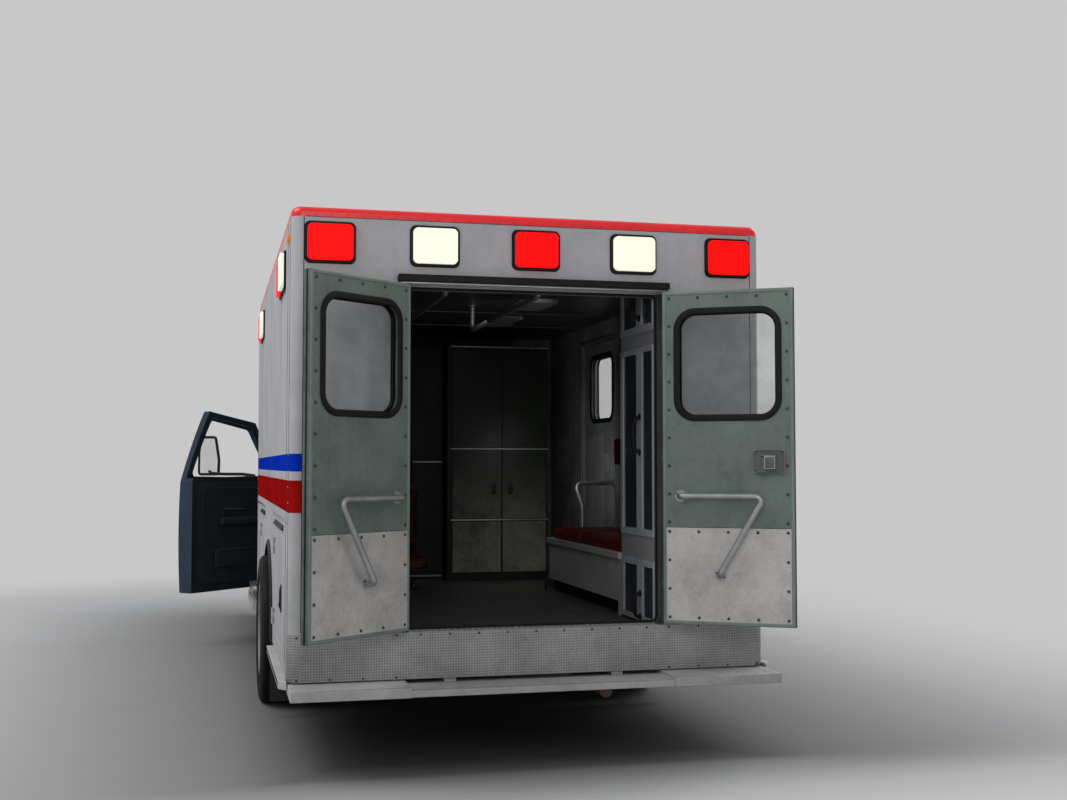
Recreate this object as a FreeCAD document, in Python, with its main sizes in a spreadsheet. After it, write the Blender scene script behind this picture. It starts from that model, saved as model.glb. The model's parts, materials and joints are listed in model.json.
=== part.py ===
"""A box-bodied ambulance on a van cab, built as separate named pieces.

Millimetres, +X to the vehicle's right, +Y forward, +Z up, with the ground at z = 0 and the
origin at the middle of the parked vehicle.  The rear doors and both cab doors stand open, as the
vehicle is parked.
"""

import FreeCAD, Part

import math
import os

import Sketcher

V = FreeCAD.Vector
doc = FreeCAD.newDocument("Ambulance")

# ---------------------------------------------------------------- driving sizes
# alias, value in millimetres or degrees, what it is
TABLE = (
    ("rear_y", -3245, "plane of the module's rear wall"),
    ("module_width", 2440, "over the side walls"),
    ("module_length", 4180, "rear wall to front wall"),
    ("module_bottom", 440, "lower edge of the walls"),
    ("wall_top", 2691, "top of the walls"),
    ("roof_top", 2742, "top of the roof edge"),
    ("ceiling", 2520, "underside of the roof panel"),
    ("wall", 70, "thickness of every outside wall"),
    ("corner_radius", 58, "outside radius of the corner posts"),
    ("roof_edge_radius", 34, "rounding of the roof edge"),
    ("floor_top", 640, "load floor"),
    ("floor_depth", 40, "thickness of the floor panel"),
    ("fit", 3, "gap between fixed pieces that pass through each other"),
    ("cot_y", 1100, "centre of the cot fastener's bolt pattern, from the rear wall"),
    ("cot_across", 200, "bolt pattern, across"),
    ("cot_along", 600, "bolt pattern, along"),
    ("cot_hole", 5.5, "radius of its holes"),
    ("door_gap", 6, "gap round every door"),
    # rear doors
    ("rear_pin_x", 674, "hinge pins of the rear doors, from the centre"),
    ("rear_pin_out", 10, "hinge pins behind the wall"),
    ("pin_edge", 8, "from a hinge pin to the edge of its door"),
    ("hinge_pin", 5, "radius of the hinge pins"),
    ("hinge_barrel", 9, "outside radius of the hinge barrels"),
    ("hinge_play", 0.3, "running gap round a hinge pin"),
    ("hinge_half", 45, "half length of a hinge"),
    ("hinge_middle", 15, "half length of its moving barrel"),
    ("hinge_leaf", 34, "reach of a hinge leaf from its pin"),
    ("leaf_depth", 5, "thickness of a leaf"),
    ("rear_door_depth", 50, "thickness of a rear door"),
    ("rear_door_bottom", 680, "lower edge of the rear doors"),
    ("rear_door_top", 2366, "upper edge of the rear doors"),
    ("rear_door_border", 46, "raised rim of a door's inner face"),
    ("rear_door_recess", 5, "depth of that face"),
    ("jamb_lip", 22, "inner lip of the doorway, behind the doors"),
    ("sill", 667, "threshold of the doorway"),
    ("rear_left_open", 140.9, "parked angle of the left rear door"),
    ("rear_right_open", 148.3, "parked angle of the right rear door"),
    ("rear_window_width", 500, "glass opening of a rear door"),
    ("rear_window_height", 530, "glass opening of a rear door"),
    ("rear_window_top", 2256, "top of that opening"),
    ("rear_window_radius", 85, "its corners"),
    ("glass", 8, "thickness of the window panes"),
    ("handle_radius", 15, "tube of the rear doors' handles"),
    ("handle_off", 60, "handle tube, from the door's face"),
    ("handle_flange", 30, "radius of a tube's end flange"),
    ("handle_high", 1325, "level run of the handle"),
    ("handle_low", 930, "lower end of the handle"),
    ("handle_near", 100, "start of the level run, from the pin"),
    ("handle_far", 530, "bend of the handle, from the pin"),
    ("handle_foot", 300, "lower end of the handle, from the pin"),
    ("latch_width", 155, "latch case of the right rear door"),
    ("latch_height", 120, "latch case"),
    ("latch_depth", 24, "latch case"),
    ("latch_z", 1440, "lower edge of the latch case"),
    ("latch_x", 470, "near edge of the latch case, from the pin"),
    # module details
    ("rail_half", 700, "half length of the drip rail over the doors"),
    ("rail_low", 2385, "underside of the drip rail"),
    ("rail_height", 35, "drip rail"),
    ("rail_depth", 40, "drip rail, from the wall"),
    ("lamp_width", 245, "bezel of a warning light"),
    ("lamp_height", 201, "bezel of a warning light"),
    ("lamp_radius", 30, "corners of the bezels"),
    ("lamp_pitch", 517, "spacing of the end warning lights"),
    ("lamp_z", 2565, "centre of the end warning lights"),
    ("side_lamp_z", 2490, "centre of the side warning lights"),
    ("bezel_depth", 12, "bezel, from the wall"),
    ("bezel_rim", 12, "rim of a bezel round its lens"),
    ("lens_depth", 30, "lens, from the wall"),
    ("side_rear_lamp", 545, "rear pair of side lights, from the rear wall"),
    ("side_front_lamp", 3215, "front pair of side lights, from the rear wall"),
    ("side_lamp_step", 262, "spacing within a pair"),
    ("tail_x", 985, "tail lamps, from the centre"),
    ("tail_z", 800, "lower edge of the tail lamps"),
    ("tail_width", 130, "one tail lamp"),
    ("tail_height", 105, "one tail lamp"),
    ("tail_depth", 25, "tail lamps, from the wall"),
    ("tail_step", 118, "spacing of the stacked tail lamps"),
    ("kick_plate", 6, "tread plate below the doorway"),
    ("kick_wrap", 62, "its return along the sides"),
    ("step_inner", 656, "inner end of the side steps"),
    ("step_outer", 1220, "outer end of the steps"),
    ("step_depth", 223, "side steps, from the kick plate"),
    ("step_bottom", 387, "underside of the steps"),
    ("step_top", 435, "top of the side steps"),
    ("step_drop", 15, "middle step below the side steps"),
    ("step_back", 80, "steps' run under the body"),
    ("rub_out", 42, "rub rail, from the side wall"),
    ("rub_bottom", 412, "underside of the rub rail"),
    ("rub_height", 40, "rub rail"),
    ("rub_length", 1300, "rub rail"),
    ("rub_bevel", 30, "bevel of its rear end"),
    ("flap_y", 1500, "mud flaps, from the rear wall"),
    ("flap_in", 800, "inner edge of a mud flap"),
    ("flap_out", 1234, "outer edge of a mud flap"),
    ("flap_low", 100, "lower edge of a mud flap"),
    ("flap_depth", 10, "mud flap"),
    ("cushion_clear", 105, "bench end left free in front of the cushions"),
    # side openings, from the rear wall and the ground
    ("arch_radius", 530, "wheel opening in the side walls"),
    ("house_radius", 500, "inside of the wheel houses"),
    ("house_wall", 10, "wheel house plate"),
    ("house_inner", 712, "inner wall of the wheel houses"),
    ("entry_rear", 2360, "side entry door, rear edge"),
    ("entry_front", 3140, "side entry door, front edge"),
    ("entry_low", 642, "side entry door, lower edge"),
    ("entry_high", 2372, "side entry door, upper edge"),
    ("entry_notch", 640, "cut of the entry door round the wheel"),
    ("entry_glass_rear", 2430, "window of the entry door"),
    ("entry_glass_length", 540, "window of the entry door"),
    ("entry_glass_low", 1810, "window of the entry door"),
    ("entry_glass_height", 460, "window of the entry door"),
    ("entry_glass_radius", 80, "its corners"),
    ("locker_low", 500, "lower edge of the locker doors"),
    ("locker_high", 1140, "upper edge of the locker doors"),
    ("rear_locker", 450, "rear locker door, from the rear wall"),
    ("rear_locker_length", 860, "rear locker door"),
    ("front_locker", 2680, "front locker door, from the rear wall"),
    ("front_locker_length", 600, "front locker door"),
    ("side_door_depth", 55, "thickness of the side doors"),
    # running gear
    ("axle_y", 2100, "rear axle, from the rear wall"),
    ("wheelbase", 4000, "between the axles"),
    ("tyre_radius", 455, "tyres"),
    ("tyre_width", 225, "tyres"),
    ("tyre_shoulder", 38, "rounding of the tyre's shoulders"),
    ("rim_radius", 285, "seat of the tyre on the rim"),
    ("rim_wall", 12, "rim plate"),
    ("twin_outer", 1167.5, "centre of the outer rear tyre"),
    ("twin_gap", 30, "between the twin tyres"),
    ("front_tyre_x", 875, "centre of the front tyres"),
    ("hub_radius", 88, "wheel hubs"),
    ("hub_out", 70, "hub beyond the wheel disc"),
    ("hand_hole", 28, "radius of the holes in a wheel disc"),
    ("hand_circle", 190, "circle of those holes"),
    ("spindle", 34, "radius of the spindles"),
    ("spindle_out", 60, "spindle beyond the wheel disc"),
    ("shaft", 35, "radius of the drive shaft"),
    ("shaft_z", 470, "front end of the drive shaft"),
    ("bearing", 1, "gap round a spindle"),
    ("axle_tube", 52, "radius of the rear axle tube"),
    ("axle_bowl", 165, "radius of the differential"),
    ("axle_end", 770, "end of the axle tube"),
    ("kingpin_x", 700, "kingpins, from the centre"),
    ("kingpin", 22, "radius of a kingpin"),
    ("boss", 60, "height of the kingpin boss"),
    ("boss_gap", 6, "between boss and knuckle"),
    ("ear", 26, "thickness of a knuckle's ear"),
    ("ear_half", 45, "half width of a knuckle"),
    ("beam_drop", 90, "front beam below the axle line"),
    ("beam", 70, "front beam's section"),
    ("rail_x", 430, "frame rails, centre of the web"),
    ("rail_width", 70, "frame rails"),
    ("rail_top", 600, "top of the frame rails"),
    ("rail_tall", 100, "frame rails"),
    ("rail_wall", 9, "frame rail plate"),
    ("rail_front", 6700, "front end of the rails, from the rear wall"),
    ("spring_x", 560, "leaf springs, from the centre"),
    ("spring_width", 62, "leaf springs"),
    ("spring_half", 640, "half length of a rear spring"),
    ("spring_depth", 40, "leaf pack"),
    ("spring_end", 545, "height of the springs' eyes"),
    ("engine_half", 280, "engine block"),
    ("engine_low", 420, "engine block"),
    ("engine_high", 1060, "engine block"),
    ("engine_rear", 5860, "engine block, from the rear wall"),
    ("engine_length", 640, "engine block"),
    # cab, from the rear wall and the ground
    ("cab_half", 1000, "half width of the cab"),
    ("cab_low", 450, "lower edge of the cab"),
    ("belt", 1345, "belt line"),
    ("cab_roof", 2060, "top of the cab"),
    ("cab_rear", 4185, "back of the cab"),
    ("skin", 36, "thickness of the cab's panels"),
    ("cab_pin_y", 5500, "hinge pins of the cab doors"),
    ("cab_pin_x", 1012, "hinge pins of the cab doors"),
    ("cab_door_length", 1170, "cab door"),
    ("cab_door_depth", 150, "cab door below the belt"),
    ("cab_frame_depth", 55, "cab door's window frame"),
    ("cab_open", 45, "parked angle of the cab doors"),
    ("cab_frame_rim", 62, "width of the window frame"),
    ("cowl_y", 5745, "foot of the windshield"),
    ("header_y", 5080, "top of the windshield"),
    ("header_drop", 100, "top of the windshield below the cab's roof"),
    ("window_front_drop", 218, "front upper corner of a cab door, below the cab's roof"),
    ("window_rear_drop", 138, "rear upper corner of a cab door, below the cab's roof"),
    ("sill_rise", 30, "top of a cab door's thick part, above the belt line"),
    ("nose_y", 6850, "front of the nose"),
    ("nose_drop", 180, "top of the nose's front, below the belt line"),
    ("front_arch", 555, "front wheel opening"),
    ("hood_half", 730, "half width of the hood"),
    ("hood_rear", 5800, "rear edge of the hood"),
    ("hood_front", 6775, "front edge of the hood"),
    ("hood_drop", 345, "lowest edge of the hood, below the belt line"),
    ("hood_pin_rise", 27, "hood's hinge pins above the belt line"),
    ("grille_half", 500, "half width of the grille"),
    ("grille_low", 730, "lower edge of the grille"),
    ("grille_high", 965, "upper edge of the grille"),
    ("lamp_in", 540, "inner edge of a headlamp"),
    ("lamp_out", 860, "outer edge of a headlamp"),
    ("bumper_low", 440, "lower edge of the front bumper"),
    ("bumper_high", 660, "upper edge of the front bumper"),
    ("bumper_out", 70, "bumper beyond the nose"),
    ("glass_half", 800, "half width of the windshield at its top"),
    ("cab_floor", 620, "cab floor"),
    ("firewall_y", 5820, "firewall"),
    ("board_half", 270, "width of a running board"),
    ("board_top", 400, "top of a running board"),
    ("board_depth", 70, "height of a running board"),
    ("board_rear", 4300, "running board, rear end"),
    ("board_front", 5440, "running board, front end"),
    ("mirror_out", 560, "centre of a mirror head, from the pin"),
    ("mirror_back", 270, "centre of a mirror head, behind the pin"),
    ("mirror_width", 200, "mirror head"),
    ("mirror_rise", 50, "lower edge of a mirror head, above the belt line"),
    ("mirror_height", 345, "mirror head"),
    ("mirror_depth", 70, "mirror head"),
    ("mirror_radius", 48, "corners of a mirror head"),
    ("mirror_arm", 14, "radius of a mirror's arm"),
    ("mirror_arm_rise", 5, "a mirror's arm above the belt line"),
    # inside
    ("aisle", 650, "aisle face of the right-hand furniture"),
    ("cabinet_front", 626, "tall cabinet, from the rear wall"),
    ("cabinet_recess", 12, "glass panels behind their frame"),
    ("bench_rear", 635, "squad bench"),
    ("bench_front", 2290, "squad bench"),
    ("bench_lid_low", 957, "underside of the bench lid"),
    ("bench_lid_top", 991, "top of the bench lid"),
    ("bench_lid_out", 14, "overhang of the bench lid"),
    ("bench_radius", 60, "rounded corner of the bench"),
    ("bench_bar_rise", 369, "grab bar above the bench lid"),
    ("toe_height", 80, "toe recess of the bench"),
    ("toe_depth", 45, "toe recess of the bench"),
    ("cushion_top", 1067, "top of the bench cushions"),
    ("cushion_split", 1526, "joint of the cushions, from the rear wall"),
    ("cushion_gap", 6, "between cushions"),
    ("cushion_radius", 20, "rounding of the cushions"),
    ("backrest_low", 1470, "backrest on the wall"),
    ("backrest_high", 1680, "backrest on the wall"),
    ("backrest_depth", 50, "backrest on the wall"),
    ("front_cabinet_y", 3050, "face of the front cabinet"),
    ("front_cabinet_left", 94, "front cabinet"),
    ("front_cabinet_right", 849, "front cabinet"),
    ("front_cabinet_high", 2360, "front cabinet"),
    ("side_panel_left", -162, "panel left of the front cabinet"),
    ("side_panel_y", 3250, "panel left of the front cabinet"),
    ("counter_front", 2300, "left counter"),
    ("counter_top", 1080, "left counter"),
    ("counter_depth", 440, "left counter"),
    ("shelf_low", 1720, "left wall cabinets"),
    ("shelf_depth", 320, "left wall cabinets"),
    ("shelf_front", 3000, "left wall cabinets"),
    ("attendant_x", -380, "attendant's seat"),
    ("attendant_half", 250, "half width of that seat"),
    ("attendant_rear", 2380, "its front edge, towards the rear doors"),
    ("attendant_length", 470, "its cushion"),
    ("attendant_high", 1534, "top of its backrest"),
    ("seat_z", 870, "seat level"),
    ("seat_pad", 90, "thickness of a seat cushion"),
    ("cab_seat_x", 480, "cab seats"),
    ("cab_seat_half", 255, "cab seats"),
    ("cab_seat_rear", 4560, "cab seats' backrests"),
    ("cab_seat_length", 500, "cab seats"),
    ("cab_seat_z", 950, "cab seat level"),
    ("cab_seat_high", 1600, "top of the cab seats"),
    ("wheel_x", -480, "steering wheel"),
    ("wheel_y", 5290, "steering wheel"),
    ("wheel_drop", 75, "steering wheel below the belt line"),
    ("wheel_radius", 195, "steering wheel"),
    ("wheel_tube", 15, "steering wheel's rim"),
    ("dash_half", 810, "dashboard"),
    ("dash_rear", 5430, "dashboard"),
    ("dash_height", 320, "dashboard"),
    ("dash_drop", 45, "top of the dashboard below the belt line"),
    ("grab_radius", 16, "grab rails"),
    ("grab_z", 2360, "ceiling rails"),
    ("grab_right_x", 60, "right ceiling rail"),
    ("grab_left_x", -430, "left ceiling rail"),
    ("grab_rear", 180, "rear end of the ceiling rails"),
    ("grab_front", 1955, "front end of the ceiling rails"),
)


class Size:
    """A length that carries the sheet expression that gives it."""

    def __init__(self, value, text):
        self.value = float(value)
        self.text = text

    def __float__(self):
        return self.value

    def __add__(self, other):
        return Size(self.value + float(other), f"({self.text} + {said(other)})")

    def __radd__(self, other):
        return Size(float(other) + self.value, f"({said(other)} + {self.text})")

    def __sub__(self, other):
        return Size(self.value - float(other), f"({self.text} - {said(other)})")

    def __rsub__(self, other):
        return Size(float(other) - self.value, f"({said(other)} - {self.text})")

    def __mul__(self, other):
        return Size(self.value * float(other), f"({self.text} * {said(other)})")

    __rmul__ = __mul__

    def __truediv__(self, other):
        return Size(self.value / float(other), f"({self.text} / {said(other)})")

    def __neg__(self):
        return Size(-self.value, f"(0 - {self.text})")


def said(number):
    """The expression text of a Size or of a plain number."""
    return number.text if isinstance(number, Size) else f"({number})"


class Sheet:
    """The driving sizes, read as attributes: S.wall is the Size in the cell named wall."""


def make_sheet():
    cells = doc.addObject("Spreadsheet::Sheet", "Sizes")
    sizes = Sheet()
    for row, (alias, value, note) in enumerate(TABLE, 1):
        cells.set(f"A{row}", note)
        cells.set(f"B{row}", str(value))
        cells.setAlias(f"B{row}", alias)
        setattr(sizes, alias, Size(value, f"Sizes.{alias}"))
    doc.recompute()
    return sizes


S = make_sheet()
SIDES = (("left", -1), ("right", 1))

# places worked out from the driving sizes
HALF = S.module_width / 2
INNER = HALF - S.wall
REAR = S.rear_y
FRONT = REAR + S.module_length
INSIDE_REAR = REAR + S.wall
INSIDE_FRONT = FRONT - S.wall
AXLE = REAR + S.axle_y
FRONT_AXLE = AXLE + S.wheelbase
TWIN_INNER = S.twin_outer - S.tyre_width - S.twin_gap
TWIN_DISC = (S.twin_outer + TWIN_INNER) / 2


# ---------------------------------------------------------------- making shapes
nodes = {}
scrap = []


def bind(thing, field, size):
    thing.setExpression(field, said(size))


def move(thing, x=0, y=0, z=0):
    for axis, size in zip("xyz", (x, y, z)):
        bind(thing, f"Placement.Base.{axis}", size)
    return thing


def turn(thing, degrees):
    """Turns a placed thing about its own vertical axis."""
    thing.Placement.Rotation = FreeCAD.Rotation(V(0, 0, 1), 1)
    bind(thing, "Placement.Rotation.Angle", degrees)
    return thing


def name_of(kind):
    scrap.append(kind)
    return f"{kind}_{len(scrap)}"


def box(x, y, z, kind="block"):
    """A block between two values along each axis."""
    thing = doc.addObject("Part::Box", name_of(kind))
    for field, (low, high) in zip(("Length", "Width", "Height"), (x, y, z)):
        bind(thing, field, high - low if isinstance(high, Size) else -(low - high))
    return move(thing, x[0], y[0], z[0])


# numbers of a block's edges that run along each axis
EDGES = {"z": (1, 3, 5, 7), "y": (2, 4, 6, 8), "x": (9, 10, 11, 12)}


def rounded(thing, radius, edges):
    """A block with the numbered edges rounded."""
    made = doc.addObject("Part::Fillet", name_of("rounded"))
    made.Base = thing
    made.Edges = [(edge, float(radius), float(radius)) for edge in edges]
    return made


def soft_box(x, y, z, radius, axis):
    return rounded(box(x, y, z), radius, EDGES[axis])


TURNS = {
    "x": FreeCAD.Rotation(V(0, 1, 0), 90),
    "y": FreeCAD.Rotation(V(1, 0, 0), -90),
    "z": FreeCAD.Rotation(),
}


def drum(axis, radius, start, length, kind="drum"):
    """A cylinder from a start point along an axis."""
    thing = doc.addObject("Part::Cylinder", name_of(kind))
    bind(thing, "Radius", radius)
    bind(thing, "Height", length)
    thing.Placement = FreeCAD.Placement(V(), TURNS[axis])
    return move(thing, *start)


def fused(*things):
    made = doc.addObject("Part::MultiFuse", name_of("fused"))
    made.Shapes = list(things)
    made.Refine = True
    return made


def cut(base, *tools):
    made = doc.addObject("Part::Cut", name_of("cut"))
    made.Base = base
    made.Tool = tools[0] if len(tools) == 1 else fused(*tools)
    return made


def group(*things):
    """Solids that do not touch, in one node."""
    made = doc.addObject("Part::Compound", name_of("group"))
    made.Links = list(things)
    return made


def both(thing):
    """A piece and its mirror image in the vehicle's middle plane."""
    return group(thing, flipped(thing))


def flipped(thing):
    made = doc.addObject("Part::Mirroring", name_of("mirrored"))
    made.Source = thing
    made.Normal = V(1, 0, 0)
    return made


def free_shape(shape, kind="shape"):
    thing = doc.addObject("Part::Feature", name_of(kind))
    thing.Shape = shape
    return thing


def node(label, thing):
    thing.Label = label
    nodes[label] = thing
    return thing


def origin_plane(body, role):
    return [feature for feature in body.Origin.OriginFeatures if feature.Role == role][0]


def outline(body, role, points):
    """A closed sketch through points, each held by its two distances from the origin."""
    sketch = body.newObject("Sketcher::SketchObject", name_of("outline"))
    sketch.AttachmentSupport = [(origin_plane(body, role), "")]
    sketch.MapMode = "FlatFace"
    corners = [V(float(u), float(v), 0) for u, v in points]
    for here, after in zip(corners, corners[1:] + corners[:1]):
        sketch.addGeometry(Part.LineSegment(here, after), False)
    for index in range(len(corners)):
        sketch.addConstraint(Sketcher.Constraint("Coincident", index, 2, (index + 1) % len(corners), 1))
    for index, point in enumerate(points):
        for kind, size in zip(("DistanceX", "DistanceY"), point):
            held = sketch.addConstraint(Sketcher.Constraint(kind, -1, 1, index, 1, float(size)))
            sketch.setExpression(f"Constraints[{held}]", said(size))
    return sketch


def turned(points, kind="turned"):
    """A PartDesign body: an outline of (along the axle, radius) points turned about the X axis."""
    body = doc.addObject("PartDesign::Body", name_of(kind))
    sketch = outline(body, "XY_Plane", points)
    spin = body.newObject("PartDesign::Revolution", name_of("spin"))
    spin.Profile = sketch
    spin.ReferenceAxis = (sketch, ["H_Axis"])
    spin.Angle = 360
    body.Tip = spin
    return body


def tube_path(points, bend):
    """Straight runs through points, joined by tangent arcs of one radius."""
    edges = []
    start = points[0]
    for before, corner, after in zip(points, points[1:], points[2:]):
        back = (before - corner).normalize()
        ahead = (after - corner).normalize()
        half = math.acos(max(-1.0, min(1.0, back.dot(ahead)))) / 2
        reach = bend / math.tan(half)
        first = corner + back * reach
        last = corner + ahead * reach
        middle = corner + (back + ahead).normalize() * (bend / math.sin(half) - bend)
        edges.append(Part.LineSegment(start, first).toShape())
        edges.append(Part.Arc(first, middle, last).toShape())
        start = last
    edges.append(Part.LineSegment(start, points[-1]).toShape())
    return Part.Wire(edges)


def tube(points, radius, bend):
    """A round bar bent along points."""
    points = [V(*(float(size) for size in point)) for point in points]
    path = tube_path(points, float(bend))
    ring = Part.Wire([Part.Circle(points[0], points[1] - points[0], float(radius)).toShape()])
    return path.makePipeShell([ring], True, False)


def rod(start, end, radius):
    """A straight round bar between two points."""
    start = V(*(float(size) for size in start))
    end = V(*(float(size) for size in end))
    return Part.makeCylinder(float(radius), (end - start).Length, start, end - start)


def polygon(points, plane, depth):
    """A prism: (u, v) corners in the YZ, XZ or XY plane, from depth[0] to depth[1] along the third axis."""
    low, high = (float(size) for size in depth)
    place = {
        "yz": lambda u, v: V(low, u, v),
        "xz": lambda u, v: V(u, low, v),
        "xy": lambda u, v: V(u, v, low),
    }[plane]
    corners = [place(float(u), float(v)) for u, v in points]
    face = Part.Face(Part.makePolygon(corners + corners[:1]))
    along = {"yz": V(1, 0, 0), "xz": V(0, 1, 0), "xy": V(0, 0, 1)}[plane]
    return face.extrude(along * (high - low))


def settled(shape, shift):
    """A shape moved for good, so that its node's Placement starts afresh."""
    matrix = FreeCAD.Matrix()
    matrix.move(shift)
    return shape.transformed(matrix, True)


def solid_box(x, y, z):
    """The plain shape of a block, for use inside a worked shape."""
    low = V(*(float(pair[0]) for pair in (x, y, z)))
    high = V(*(float(pair[1]) for pair in (x, y, z)))
    size = high - low
    return Part.makeBox(size.x, size.y, size.z, low)


# ---------------------------------------------------------------- chassis
def frame_rail():
    """One rail: a channel open to the middle, notched over the rear axle."""
    low = S.rail_top - S.rail_tall
    ends = (REAR + S.fit, REAR + S.rail_front)
    outer = box((S.rail_x - S.rail_width / 2, S.rail_x + S.rail_width / 2), ends, (low, S.rail_top))
    inner = box(
        (S.rail_x - S.rail_width, S.rail_x + S.rail_width / 2 - S.rail_wall),
        (ends[0] - 10, ends[1] + 10),
        (low + S.rail_wall, S.rail_top - S.rail_wall),
    )
    notch = box(
        (S.rail_x - S.rail_width, S.rail_x + S.rail_width),
        (AXLE - S.axle_tube * 2, AXLE + S.axle_tube * 2),
        (low - 10, low + S.rail_tall * 0.35),
    )
    return cut(outer, inner, notch)


def frame():
    rail = frame_rail()
    half = S.rail_x + S.rail_width / 2 - S.rail_wall
    members = []
    for along in (300, 1300, 2900, 4100, 5200, 5740, 6560):
        members.append(box((-half, half), (REAR + along, REAR + along + 60),
                           (S.rail_top - 70, S.rail_top - 12)))
    node("frame_rails", fused(rail, flipped(rail), *members))


def spring(x, y, half, top, end):
    """A leaf pack: a flat arc through its two eyes, hanging to the axle."""
    middle = float(top)
    points = (V(0, -float(half), float(end)), V(0, 0, middle), V(0, float(half), float(end)))
    upper = Part.Arc(*points).toShape()
    down = V(0, 0, -float(S.spring_depth))
    lower = Part.Arc(*(point + down for point in points)).toShape()
    first = Part.LineSegment(points[0], points[0] + down).toShape()
    last = Part.LineSegment(points[2], points[2] + down).toShape()
    face = Part.Face(Part.Wire(Part.__sortEdges__([upper, last, lower, first])))
    pack = face.extrude(V(float(S.spring_width), 0, 0))
    return pack.translated(V(float(x) - float(S.spring_width) / 2, float(y), 0))


def rear_axle():
    z = S.tyre_radius
    tube_part = drum("x", S.axle_tube, (-S.axle_end, AXLE, z), S.axle_end * 2)
    bowl = doc.addObject("Part::Sphere", name_of("bowl"))
    bind(bowl, "Radius", S.axle_bowl)
    move(bowl, 0, AXLE, z)
    bowl_cut = cut(bowl, box((-300, 300), (AXLE - 300, AXLE + 300), (z + 125, z + 300)))
    stub_length = TWIN_DISC + S.spindle_out - S.axle_end
    parts = [tube_part, bowl_cut]
    for side in (-1, 1):
        start = S.axle_end if side > 0 else -(S.axle_end + stub_length)
        parts.append(drum("x", S.spindle, (start, AXLE, z), stub_length))
        arc = spring(S.spring_x * side, AXLE, S.spring_half, float(z - S.axle_tube) + 6, S.spring_end)
        parts.append(free_shape(arc, "spring"))
        for end in (-1, 1):
            y = AXLE + S.spring_half * end
            middle = S.spring_x * side
            hanger = box(
                (middle - S.spring_width / 2, middle + S.spring_width / 2), (y - 30, y + 30),
                (S.spring_end - S.spring_depth, S.rail_top),
            )
            parts.append(hanger)
    gear_end = (0, REAR + S.engine_rear - S.fit, S.shaft_z)
    parts.append(free_shape(rod((0, AXLE + 100, z), gear_end, S.shaft), "shaft"))
    node("rear_axle", fused(*parts))


def front_axle():
    z = S.tyre_radius
    low = z - S.beam_drop
    parts = [box((-S.kingpin_x + 90, S.kingpin_x - 90), (FRONT_AXLE - S.beam / 2, FRONT_AXLE + S.beam / 2),
                 (low - S.beam, low))]
    for side in (-1, 1):
        foot = (side * S.kingpin_x, FRONT_AXLE, z)
        points = [
            (side * (S.kingpin_x - 160), low - S.beam),
            (side * (S.kingpin_x - 110), low - S.beam),
            (side * (S.kingpin_x - 62), z - S.boss / 2),
            (side * (S.kingpin_x), z - S.boss / 2),
            (side * (S.kingpin_x), z + S.boss / 2),
            (side * (S.kingpin_x - 62), z + S.boss / 2),
            (side * (S.kingpin_x - 160), low),
        ]
        arm = polygon(points, "xz", (FRONT_AXLE - S.beam / 2, FRONT_AXLE + S.beam / 2))
        eye = Part.makeCylinder(35, float(S.boss), V(float(foot[0]), float(foot[1]), float(z - S.boss / 2)))
        hole = Part.makeCylinder(
            float(S.kingpin + S.bearing), 400, V(float(foot[0]), float(foot[1]), float(z) - 200))
        corner = V(float(foot[0]) + (0 if side > 0 else -200), float(foot[1]) - 100, 200)
        room = Part.makeBox(200, 200, 400, corner)
        parts.append(free_shape(arm.cut(room).fuse(eye).cut(hole), "arm"))
        middle = S.rail_x * side
        half = S.spring_half * 0.8
        low_end = S.spring_end - 70
        arc = spring(middle, FRONT_AXLE, half, float(low - S.beam) + 34, low_end)
        parts.append(free_shape(arc, "spring"))
        for end in (-1, 1):
            y = FRONT_AXLE + half * end
            parts.append(box((middle - S.spring_width / 2, middle + S.spring_width / 2), (y - 25, y + 25),
                             (low_end - S.spring_depth, S.rail_top - S.rail_tall)))
    node("front_axle", fused(*parts))


def engine():
    """A plain block that hangs between the rails on one pair of mounts."""
    start = REAR + S.engine_rear
    block = box((-S.engine_half, S.engine_half), (start, start + S.engine_length),
                (S.engine_low, S.engine_high))
    mounts = box((-S.rail_x, S.rail_x), (start + 280, start + 360), (S.rail_top, S.rail_top + 40))
    node("engine_block", fused(block, mounts))


def knuckle(side):
    """Two ears on the kingpin, a plate outboard of the beam and the spindle for the wheel."""
    z = S.tyre_radius
    x = side * S.kingpin_x
    ear_low = S.boss / 2 + S.boss_gap
    plate_near = x + side * 42
    plate_far = x + side * 64
    plate = ordered(plate_near, plate_far)
    span = ordered(x - side * 34, plate_far)
    ends = (FRONT_AXLE - S.ear_half, FRONT_AXLE + S.ear_half)
    spindle_end = side * (S.front_tyre_x + 40)
    start = plate_far if side > 0 else spindle_end
    length = S.front_tyre_x + 40 - S.kingpin_x - 64
    return fused(
        box(span, ends, (z + ear_low, z + ear_low + S.ear)),
        box(span, ends, (z - ear_low - S.ear, z - ear_low)),
        box(plate, ends, (z - ear_low - S.ear, z + ear_low + S.ear)),
        drum("z", S.kingpin, (x, FRONT_AXLE, z - ear_low - S.ear), (ear_low + S.ear) * 2),
        drum("x", S.spindle, (start, FRONT_AXLE, z), length),
    )


def ordered(first, second):
    return (first, second) if float(first) < float(second) else (second, first)


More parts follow.
